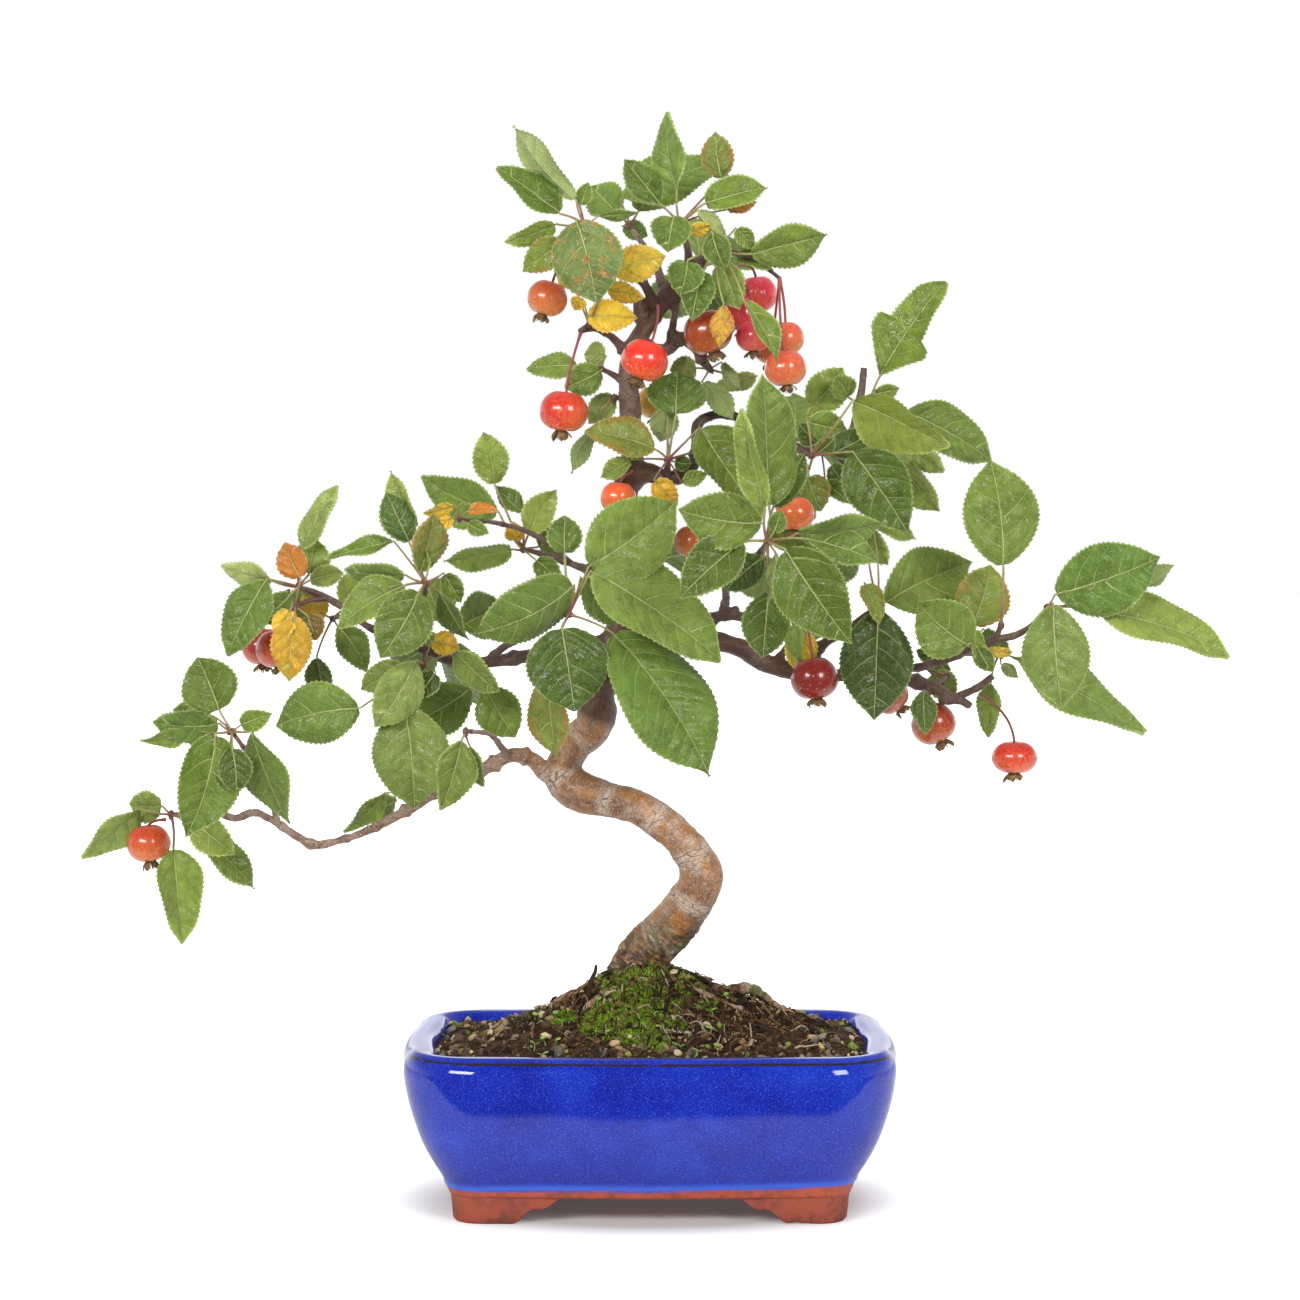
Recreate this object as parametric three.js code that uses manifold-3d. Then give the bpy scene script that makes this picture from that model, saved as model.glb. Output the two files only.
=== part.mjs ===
// Crabapple bonsai in a glazed tray: a winding trunk, its leafy sprays and fruits, the soil mound,
// and the fired pot that it stands in. Millimetres, +Z up, ground at Z = 0, the front faces -Y.
import * as THREE from "three";
import { mergeVertices } from "three/addons/utils/BufferGeometryUtils.js";
import Module from "manifold-3d";

const wasm = await Module();
wasm.setup();

// ---- Driving dimensions ----------------------------------------------------------------------
const GAP = 0.35; // clearance between pieces that meet
const POT_HALF_X = 124.6; // rim, middle of the short side
const POT_HALF_Y = 90; // rim, middle of the long side
const POT_HEIGHT = 85;
const POT_BOW = 3; // how far each side bulges past its corners
const RIM_WIDTH = 15.5;
const OUTER_CORNER = 38;
const CORNER_TAPER = 0.9; // how much tighter the corners get for each mm that the wall is drawn in
const INNER_CORNER = 15;
const CORNER_STEPS = 4;
const FLOOR_TOP = 22.5;
const APRON = 13.5; // underside of the pot between its feet
const PLINTH_INSET = 23.6; // top of the plinth, in from the rim
const FOOT_LEAN = 2.8;
const FOOT_WALL = 13;
const DRAIN_RADIUS = 10;
const DRAIN_X = 45;
const SCREEN_SIZE = 32;
const SCREEN_THICKNESS = 1;
const SCREEN_HOLE = 12;
const SCREEN_PITCH = 15;
const SOIL_LEVEL = 79.5;
const BLADE_THICKNESS = 0.8;
const PETIOLE_RADIUS = 0.75;
const BUD_RADIUS = 2.4;
const STALK_RADIUS = 0.8;
const FRUIT_SIDES = 6;
const WOOD_SMOOTHING = 0.12; // points this close to a straight line are dropped when limbs are fused
const LEAF_SMOOTHING = 0.06; // the same for leaves and fruits
const SIGHT_DISTANCE = 1800; // the front elevation below is measured from this far in front
const SIGHT_HEIGHT = 366.8;

// ---- Front elevation -------------------------------------------------------------------------
// u runs right and v up on the upright plane through the middle of the pot, seen from the sight
// point; d is the depth behind that plane. A place is where the sight line through (u, v) is d deep.
function place(u, v, d) {
  const k = (SIGHT_DISTANCE + d) / SIGHT_DISTANCE;
  return new THREE.Vector3(u * k, d, SIGHT_HEIGHT + (v - SIGHT_HEIGHT) * k);
}

// ---- Solids ----------------------------------------------------------------------------------
function solid(geometry) {
  const bare = geometry.index ? geometry.toNonIndexed() : geometry.clone();
  bare.deleteAttribute("normal");
  bare.deleteAttribute("uv");
  const merged = mergeVertices(bare, 1e-4);
  return new wasm.Manifold(
    new wasm.Mesh({
      numProp: 3,
      vertProperties: merged.attributes.position.array,
      triVerts: new Uint32Array(merged.index.array),
    }),
  );
}

function geometryOf(manifold) {
  const mesh = manifold.getMesh();
  const points = new Float32Array(mesh.numVert * 3);
  for (let i = 0; i < mesh.numVert; i++) {
    points.set(mesh.vertProperties.subarray(i * mesh.numProp, i * mesh.numProp + 3), i * 3);
  }
  const geometry = new THREE.BufferGeometry();
  geometry.setAttribute("position", new THREE.BufferAttribute(points, 3));
  geometry.setIndex(new THREE.BufferAttribute(new Uint32Array(mesh.triVerts), 1));
  return geometry;
}

// One body from solids that meet; crumbs that a near miss leaves loose are dropped.
function fuse(manifolds, tolerance) {
  const whole = wasm.Manifold.union(manifolds).simplify(tolerance);
  const bodies = whole.decompose();
  bodies.sort((a, b) => b.volume() - a.volume());
  return bodies.length > 1 && bodies[1].volume() < 5 ? bodies[0] : whole;
}

// A skin over rings that all have the same number of points, closed by a fan at each end.
function skinned(rings) {
  const count = rings[0].length;
  const points = rings.flat().map((p) => [p.x, p.y, p.z]);
  const middle = (ring) => {
    const sum = ring.reduce((a, p) => a.add(p), new THREE.Vector3());
    return sum.divideScalar(ring.length).toArray();
  };
  const faces = [];
  for (let r = 0; r + 1 < rings.length; r++) {
    for (let i = 0; i < count; i++) {
      const a = r * count + i;
      const b = r * count + ((i + 1) % count);
      faces.push([a, b, b + count], [a, b + count, a + count]);
    }
  }
  const first = points.push(middle(rings[0])) - 1;
  const last = points.push(middle(rings[rings.length - 1])) - 1;
  const top = (rings.length - 1) * count;
  for (let i = 0; i < count; i++) {
    const j = (i + 1) % count;
    faces.push([first, j, i], [last, top + i, top + j]);
  }
  const geometry = new THREE.BufferGeometry();
  geometry.setAttribute("position", new THREE.Float32BufferAttribute(points.flat(), 3));
  geometry.setIndex(faces.flat());
  return geometry;
}

// A tapering limb: one ring of `sides` points round each [u, v, d, radius] row.
function limb(rows, sides, grow = 0) {
  const centres = rows.map(([u, v, d]) => place(u, v, d));
  const tangentAt = (i) => {
    const before = centres[Math.max(i - 1, 0)];
    const after = centres[Math.min(i + 1, centres.length - 1)];
    return after.clone().sub(before).normalize();
  };
  let across = new THREE.Vector3(0.31, -0.95, 0.05);
  const rings = centres.map((centre, i) => {
    const tangent = tangentAt(i);
    across = across.clone().addScaledVector(tangent, -across.dot(tangent)).normalize();
    const other = tangent.clone().cross(across);
    const radius = rows[i][3] + grow;
    return Array.from({ length: sides }, (_, k) => {
      const angle = (2 * Math.PI * k) / sides;
      return centre
        .clone()
        .addScaledVector(across, radius * Math.cos(angle))
        .addScaledVector(other, radius * Math.sin(angle));
    });
  });
  return solid(skinned(rings));
}

// A slim tube of even thickness along a curve.
function stalk(points, radius, sides, steps) {
  const outline = Array.from({ length: sides }, (_, k) => {
    const angle = (2 * Math.PI * k) / sides;
    return new THREE.Vector2(radius * Math.cos(angle), radius * Math.sin(angle));
  });
  const curve = new THREE.QuadraticBezierCurve3(...points);
  const shape = new THREE.Shape(outline);
  return solid(new THREE.ExtrudeGeometry(shape, { extrudePath: curve, steps }));
}

// ---- Pot -------------------------------------------------------------------------------------
// A level outline of the pot: rounded corners, sides that bow out by `bow` in their middle.
function outline(halfX, halfY, corner, bow, z) {
  const x = halfX - bow - corner;
  const y = halfY - bow - corner;
  const ring = [];
  const arc = (cx, cy, from) => {
    for (let i = 0; i <= CORNER_STEPS; i++) {
      const angle = from + (i / CORNER_STEPS) * (Math.PI / 2);
      ring.push(new THREE.Vector3(cx + corner * Math.cos(angle), cy + corner * Math.sin(angle), z));
    }
  };
  ring.push(new THREE.Vector3(halfX, 0, z));
  arc(x, y, 0);
  ring.push(new THREE.Vector3(0, halfY, z));
  arc(-x, y, Math.PI / 2);
  ring.push(new THREE.Vector3(-halfX, 0, z));
  arc(-x, -y, Math.PI);
  ring.push(new THREE.Vector3(0, -halfY, z));
  arc(x, -y, 1.5 * Math.PI);
  return ring;
}

// The side's profile: [height, inset from the rim's outer edge].
const OUTER_SIDE = [
  [APRON, 22.6],
  [19, 20.4],
  [28, 14.9],
  [38, 9.4],
  [49, 5.3],
  [62, 1.7],
  [75, 0],
  [82.6, 2.2],
  [POT_HEIGHT, 5.4],
];
const INNER_SIDE = [
  [FLOOR_TOP, 36],
  [28, 28],
  [42, 19.5],
  [60, RIM_WIDTH],
  [POT_HEIGHT - 2, RIM_WIDTH],
  [POT_HEIGHT + 0.1, RIM_WIDTH - 1.5],
];

const potRing = (inset, corner, z) =>
  outline(POT_HALF_X - inset, POT_HALF_Y - inset, corner, POT_BOW, z);

function ogee(shape, x, z, toX, toZ) {
  const midX = (x + toX) / 2;
  const midZ = (z + toZ) / 2;
  shape.quadraticCurveTo(x, midZ, midX, midZ);
  shape.quadraticCurveTo(toX, midZ, toX, toZ);
}

// The gap between two bracket feet, as an upright shape: `half` is the plinth's half length and
// `foot` the length of a foot along it.
function footGap(half, foot, tail) {
  const edge = half - foot;
  const shelf = edge - tail;
  const inner = shelf - tail;
  const shape = new THREE.Shape();
  shape.moveTo(-edge, -1);
  shape.lineTo(-edge, 0);
  ogee(shape, -edge, 0, -shelf, 7);
  shape.lineTo(-shelf + tail * 0.4, 7);
  ogee(shape, -shelf + tail * 0.4, 7, -inner + tail * 0.4, APRON - 0.2);
  shape.lineTo(inner - tail * 0.4, APRON - 0.2);
  ogee(shape, inner - tail * 0.4, APRON - 0.2, shelf - tail * 0.4, 7);
  shape.lineTo(shelf, 7);
  ogee(shape, shelf, 7, edge, 0);
  shape.lineTo(edge, -1);
  return shape;
}

function makePot() {
  const outer = OUTER_SIDE.map(([z, inset]) => potRing(inset, OUTER_CORNER - CORNER_TAPER * inset, z));
  const inner = INNER_SIDE.map(([z, inset]) => potRing(inset, INNER_CORNER, z));
  const plinthTop = POT_HALF_X - PLINTH_INSET;
  const plinthTopY = POT_HALF_Y - PLINTH_INSET;
  const plinth = solid(
    skinned([
      outline(plinthTop - FOOT_LEAN, plinthTopY - FOOT_LEAN, 12, 1, 0),
      outline(plinthTop, plinthTopY, 14, 1, APRON + 2),
    ]),
  );
  const hollow = solid(
    new THREE.BoxGeometry(
      2 * (plinthTop - FOOT_WALL),
      2 * (plinthTopY - FOOT_WALL),
      2 * APRON - 0.4,
    ),
  );
  const depth = 2 * POT_HALF_X;
  const bevelEnabled = false;
  const options = { depth, bevelEnabled, curveSegments: 2 };
  const across = new THREE.ExtrudeGeometry(footGap(plinthTop, 33.5, 10), options);
  across.rotateX(Math.PI / 2).translate(0, depth / 2, 0);
  const along = new THREE.ExtrudeGeometry(footGap(plinthTopY, 24, 8), options);
  along.rotateX(Math.PI / 2).translate(0, depth / 2, 0).rotateZ(Math.PI / 2);
  const drains = [-1, 1].map((side) => {
    const hole = new THREE.CylinderGeometry(DRAIN_RADIUS, DRAIN_RADIUS, 30, 12);
    return solid(hole.rotateX(Math.PI / 2).translate(side * DRAIN_X, 0, FLOOR_TOP - 5));
  });
  const chip = new THREE.BoxGeometry(9, 12, 3);
  chip.rotateY(-0.35).rotateZ(0.3).translate(plinthTop - 33.5, -plinthTopY, 0.6);
  return solid(skinned(outer))
    .add(plinth)
    .subtract(solid(skinned(inner)))
    .subtract(hollow)
    .subtract(solid(across))
    .subtract(solid(along))
    .subtract(solid(chip))
    .subtract(drains[0])
    .subtract(drains[1])
    .simplify(0.01);
}

// A square of plastic mesh over each drain hole: a thin plate with rows of square openings.
function makeScreen(side) {
  let screen = solid(new THREE.BoxGeometry(SCREEN_SIZE, SCREEN_SIZE, SCREEN_THICKNESS));
  for (const i of [-0.5, 0.5]) {
    for (const j of [-0.5, 0.5]) {
      const opening = new THREE.BoxGeometry(SCREEN_HOLE, SCREEN_HOLE, 3 * SCREEN_THICKNESS);
      screen = screen.subtract(solid(opening.translate(i * SCREEN_PITCH, j * SCREEN_PITCH, 0)));
    }
  }
  return screen.translate([side * DRAIN_X, 0, FLOOR_TOP + GAP + SCREEN_THICKNESS / 2]);
}

// ---- Soil ------------------------------------------------------------------------------------
// Level soil with a broad mound and a steeper crown round the trunk.
function soilTop(x, y) {
  const broad = 26 * Math.exp(-Math.pow(Math.abs(x - 6) / 78, 3));
  const crown = 15 * Math.exp(-Math.pow((x + 3) / 26, 2) - Math.pow((y - 6) / 24, 2));
  const breadth = Math.exp(-Math.pow(Math.abs(y - 4) / 44, 2.4));
  const grain = 0.7 * Math.sin(x * 0.37 + 2 * Math.sin(y * 0.21)) * Math.sin(y * 0.43 + x * 0.11);
  return SOIL_LEVEL + broad * breadth + crown + grain;
}

function makeSoil(roots) {
  const sides = INNER_SIDE.filter(([z]) => z < SOIL_LEVEL - 4);
  const rings = sides.map(([z, inset]) => potRing(inset + GAP, INNER_CORNER, z + GAP));
  const edge = potRing(RIM_WIDTH + GAP, INNER_CORNER, SOIL_LEVEL);
  for (const share of [1, 0.82, 0.64, 0.48, 0.32, 0.16]) {
    rings.push(
      edge.map(({ x, y }) => {
        const z = share === 1 ? SOIL_LEVEL - 1 : soilTop(x * share, y * share);
        return new THREE.Vector3(x * share, y * share, z);
      }),
    );
  }
  let soil = solid(skinned(rings));
  const pocket = SCREEN_SIZE + 2 * GAP;
  for (const side of [-1, 1]) {
    const room = new THREE.BoxGeometry(pocket, pocket, 2 * (SCREEN_THICKNESS + 2 * GAP));
    soil = soil.subtract(solid(room.translate(side * DRAIN_X, 0, FLOOR_TOP + GAP)));
  }
  const cut = soil.subtract(roots).simplify(0.02).decompose();
  cut.sort((a, b) => b.volume() - a.volume());
  return cut[0];
}

// ---- Wood ------------------------------------------------------------------------------------
// Rows are [u, v, d, radius] on the front elevation.
const TRUNK = [
  [-10, 70, 8, 14],
  [-10, 100, 8, 15],
  [-9, 112, 8, 13.6],
  [-6, 121, 8, 12.4],
  [7.6, 136, 5, 12.3],
  [18.4, 149, 0, 11.8],
  [24.3, 159, -4, 11.3],
  [25.3, 165, -6, 11],
  [21.3, 176, -8, 10],
  [12.4, 187, -8, 9],
  [-8.4, 200, -4, 9],
  [-23.3, 204, 0, 10],
  [-35, 208, 3, 10.3],
  [-43.5, 215, 6, 9.5],
  [-41.5, 225, 8, 8.6],
  [-36, 233, 8, 8.8],
  [-28.7, 240, 4, 9.2],
  [-24.5, 248.5, 0, 10],
  [-22, 258, 4, 9],
  [-18, 275, 10, 8.6],
  [-14, 293, 12, 8.4],
  [-13, 320, 9, 7.5],
  [-15, 345, 4, 7],
  [-12, 362, 0, 6.8],
  [-9, 375, -2, 5.8],
  [-10, 400, -2, 5.4],
  [-10, 425, 0, 5.2],
  [-5, 437, 1, 5],
  [2, 447, 2, 4.6],
  [12, 462, 3, 4.4],
  [24, 473, 4, 3.8],
  [28, 477, 4, 2.8],
];

const BRANCHES = [
  // lowest branch, to the far left
  [[-42, 214, 6, 6.5], [-52, 217, 4, 4.8], [-60, 224, 2, 4.2], [-70, 226, 0, 4],
    [-80, 221, -2, 3.6], [-92, 215, -3, 3.2], [-104, 210, -4, 3], [-115, 203, -4, 2.8],
    [-125, 197, -3, 2.6], [-140, 189, -2, 2.4], [-160, 182, -2, 2.1], [-170, 180.5, -3, 2.6],
    [-178, 184.5, -4, 2.3], [-190, 192.5, -6, 2.1], [-200, 197, -8, 2], [-210, 194, -9, 1.9],
    [-217, 196, -10, 1.8], [-228, 195.5, -10, 1.7], [-238.8, 195.8, -10, 1.4]],
  [[-188, 191, -6, 1.6], [-191, 203, -12, 1.4], [-192, 209, -16, 1.3], [-199, 221, -25, 1.2],
    [-209.3, 235.6, -34, 1.1]],
  [[-71, 225.5, 0, 2.4], [-75, 230, -12, 1.7], [-78, 234, -25, 1.4], [-82, 237, -36, 1.2],
    [-90.4, 238, -48, 1.1]],
  [[-118, 201, -4, 1.8], [-122, 204, 4, 1.3], [-126.4, 207.2, 9.6, 1]],
  // second branch, to the left sprays
  [[-16, 285, 11, 5], [-30, 282, 8, 3.9], [-48, 279, 4, 3.5], [-63, 276, 0, 3.3],
    [-85, 273, -4, 3], [-100, 273.5, -6, 2.8], [-108, 277, -6, 2.6], [-115, 280, -6, 2.6],
    [-128, 285, -4, 2.3], [-142, 291, -3, 2.1], [-157, 302, -1, 1.8], [-166, 307, 0, 1.6],
    [-173.8, 309.9, 0, 1.3]],
  [[-113, 279, -6, 2], [-113.6, 275.6, -10, 1.4]],
  [[-116, 281, -6, 2], [-116, 290, -14, 1.6], [-114, 303, -23, 1.3], [-113.3, 310, -26.7, 1.1]],
  [[-163, 305, -1, 1.5], [-172, 304, -4, 1.2], [-176.3, 302.3, -6.7, 1]],
  [[-148, 295, -2, 1.7], [-155, 296, 9, 1.3], [-158.6, 295.3, 19.3, 1]],
  [[-92, 273, -5, 1.8], [-89, 268, 1, 1.3], [-87, 265.4, 4, 1]],
  [[-82, 273.5, -4, 2.4], [-76, 279, -10, 2.1], [-66, 285, -22, 1.9], [-56, 292, -35, 1.7],
    [-49, 295, -44, 1.5], [-44.4, 296.4, -48, 1.2]],
  // thin twigs from the middle of the trunk
  [[-13, 314, 10, 4], [-35, 321, 18, 2.3], [-52, 327, 25, 1.7], [-60.8, 329.3, 29, 1.2]],
  [[-40, 323, 20, 1.8], [-56, 336, 14, 1.4], [-76, 343, 3, 1.2], [-92.8, 344.8, -4, 1]],
  [[-10, 405, -2, 2.5], [-15.7, 406, -3, 1.3]],
  [[-12, 413, -2, 2.4], [-16, 416, -3, 1.8], [-21.6, 419.3, -4.2, 1.3]],
  [[-12, 429, 0, 2.9], [-20, 437, -5, 2.2], [-29, 441, -13, 1.7]],
  // right-hand branch and its forks
  [[-14, 293, 12, 6.6], [0, 292, 13, 5.6], [16, 289, 13, 5.2], [36, 283, 12, 4.9],
    [48, 279, 12, 5], [56, 273.5, 12, 4.9], [66, 270, 12, 4.9], [76, 267, 12, 4.2],
    [88, 266.5, 12, 3.6], [99, 266.5, 11, 3.3], [115, 265, 10, 3.3], [131, 264, 9, 3.6],
    [140, 261, 8, 3.5], [147, 258, 7, 3.3], [150, 254, 5, 2.8], [156, 254, 3, 2.4],
    [162, 250.5, 2, 2]],
  [[149, 255, 5, 2.4], [157, 256.5, 3, 2], [165, 260, 0, 1.9], [173, 266, -2, 1.6]],
  [[95, 266.5, 12, 3], [108, 268, 6, 2.6], [120, 269, 1, 2.5], [133, 270, -5, 2.5],
    [145, 273, -10, 2.4], [158, 278, -15, 2.2], [167, 281.5, -20, 2], [175, 284.5, -24, 1.9],
    [185, 287, -27, 1.7], [192, 291, -28.5, 1.5], [198, 297.9, -29.6, 1.2]],
  [[158, 278, -15, 1.8], [166, 277, -7, 1.3], [173, 276.8, -1, 1]],
  [[84, 266.5, 12, 3.2], [84, 278, 8, 3], [90, 284, 2, 2.7], [99, 289, -6, 2.2],
    [108, 296, -13, 1.7], [113, 300, -16.2, 1.2]],
  [[62, 271, 12, 2.6], [70, 282, 8, 1.6], [76.2, 294, 3.2, 1.1]],
  [[140, 262, 7, 1.8], [140, 259.6, 3, 1.2]],
  [[143, 261, 8, 1.8], [147, 264, 16, 1.3], [149.3, 265.5, 21, 1]],
  [[20, 289, 13, 4], [28, 293, 10, 3.3], [36, 296.5, 6, 3], [47, 296, 4, 2.6]],
  [[39, 296, 5, 2.8], [44, 300, -1, 2.6]],
  [[36, 297, 6, 2.6], [38, 304, -8, 2.1], [38.5, 312, -26, 1.9], [44, 318, -46, 1.8],
    [50, 323, -64, 1.7], [55, 328, -79, 1.6], [57.6, 331.4, -87.6, 1.3]],
  // upper right limb
  [[-12, 362, 0, 6.4], [-2, 368.5, -1, 5.4], [9, 365.5, -2, 4.6], [16, 367, -2, 3.8],
    [22, 373, 0, 3.2], [23.5, 383, 4, 2.9], [24, 393, 8, 2.6], [34, 398, 10, 2.5],
    [50, 394, 8, 2.4], [66, 386, 4, 2.3], [80, 380, 1, 2.2], [92, 382, 3, 2.1],
    [101, 389, 5, 2.1], [103.5, 399, 7, 2], [106, 408, 7, 1.9], [107.5, 421, 6, 1.7]],
  [[9, 366, -3, 2.6], [8.6, 370, -9, 1.9], [8.9, 372.4, -11.6, 1.4]],
  [[64, 387, 4, 2.2], [70, 382, -14, 1.8], [76, 379, -26, 1.5], [79, 377.6, -32, 1.2]],
  [[70, 384.3, 3, 1.8], [76, 386, 9, 1.4], [81.5, 385.3, 13.4, 1.1]],
  [[90, 381.7, 3, 1.8], [98, 374, 0, 1.5], [109, 371, -2, 1.2]],
  [[103.6, 400, 7, 1.8], [106.8, 401.8, 8.8, 1.2]],
  // crown
  [[-7, 433, 0, 4], [8, 430, 4, 3.4], [16, 436, 6, 3.2], [22, 432, 8, 3], [27, 424, 8, 2.4]],
  [[-2, 441, 1, 4], [-5, 449, 0, 3.6], [-6, 456, 0, 2.8]],
  [[14, 461, 3, 2.4], [12, 445, 5, 2], [9, 431, 4, 2]],
  [[19, 468, 4, 2.6], [19, 480, 0, 1.9], [16, 490, -3.8, 1.3]],
  [[26, 474, 4, 2.4], [29, 476.6, -3, 1.7], [31.6, 478.3, -7.6, 1.3]],
  [[4, 450, 2, 3], [-6, 468, -12, 2.2], [-18, 482, -28, 1.7], [-31, 491.5, -42.8, 1.2]],
  [[8, 457, 3, 3], [2, 474, 16, 1.9], [-8.4, 489.6, 32.4, 1.2]],
  // twigs that carry the sprays at the back
  [[-13, 318, 9, 4], [-8, 320, 34, 2.4], [-2, 322, 57, 1.3]],
  [[-100, 273, -6, 2.4], [-100, 280, 20, 1.8], [-100, 287, 47, 1.2]],
  [[48, 279, 12, 3], [62, 300, 36, 2], [72, 318, 57, 1.3]],
  [[66, 386, 4, 2.2], [68, 382, 28, 1.7], [72, 378, 52, 1.2]],
  [[16, 466, 3, 2.8], [20, 468, 26, 1.8], [24, 470, 47, 1.2]],
];

// Surface roots: [x, y, radius] along the mound, each half sunk in the soil.
const ROOTS = [
  [[-9, 4, 6], [-18, -8, 3.2], [-27, -14, 2], [-36, -20, 1.2]],
  [[-4, 2, 6], [12, -7, 3], [24, -10, 2.4], [36, -13, 1.8], [46, -20, 1]],
  [[0, 10, 6], [20, 10, 3.6], [36, 8, 3.2], [52, 6, 3.6], [64, 4, 2.4], [73, 0, 1.3]],
  [[-10, 14, 6], [-13, 30, 3], [-20, 42, 1.4]],
  [[-14, 8, 6], [-30, 10, 2.8], [-43, 8, 2], [-52, 2, 1.2]],
  [[-7, 0, 5], [-5, -14, 2.2], [-11, -26, 1.6], [-18, -37, 0.9]],
];

function rootRows(root) {
  const swell = (x) => 4 * Math.exp(-Math.pow((x - 52) / 9, 2));
  return root.map(([x, y, radius]) => {
    const z = soilTop(x, y) + 0.25 * radius + swell(x);
    const k = (SIGHT_DISTANCE + y) / SIGHT_DISTANCE;
    return [x / k, SIGHT_HEIGHT + (z - SIGHT_HEIGHT) / k, y, radius];
  });
}

// Thinner twigs need fewer sides.
function sidesFor(radius) {
  return radius > 4.5 ? 6 : radius > 2.9 ? 4 : 3;
}

function makeWood(grow = 0, underground = false) {
  const base = underground ? TRUNK.slice(0, 5) : TRUNK;
  const parts = [limb(base, 8, grow)];
  parts.push(...ROOTS.map((root) => limb(rootRows(root), 4, grow)));
  if (!underground) {
    parts.push(...BRANCHES.map((rows) => limb(rows, sidesFor(rows[0][3]))));
  }
  return fuse(parts, WOOD_SMOOTHING);
}

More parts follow.
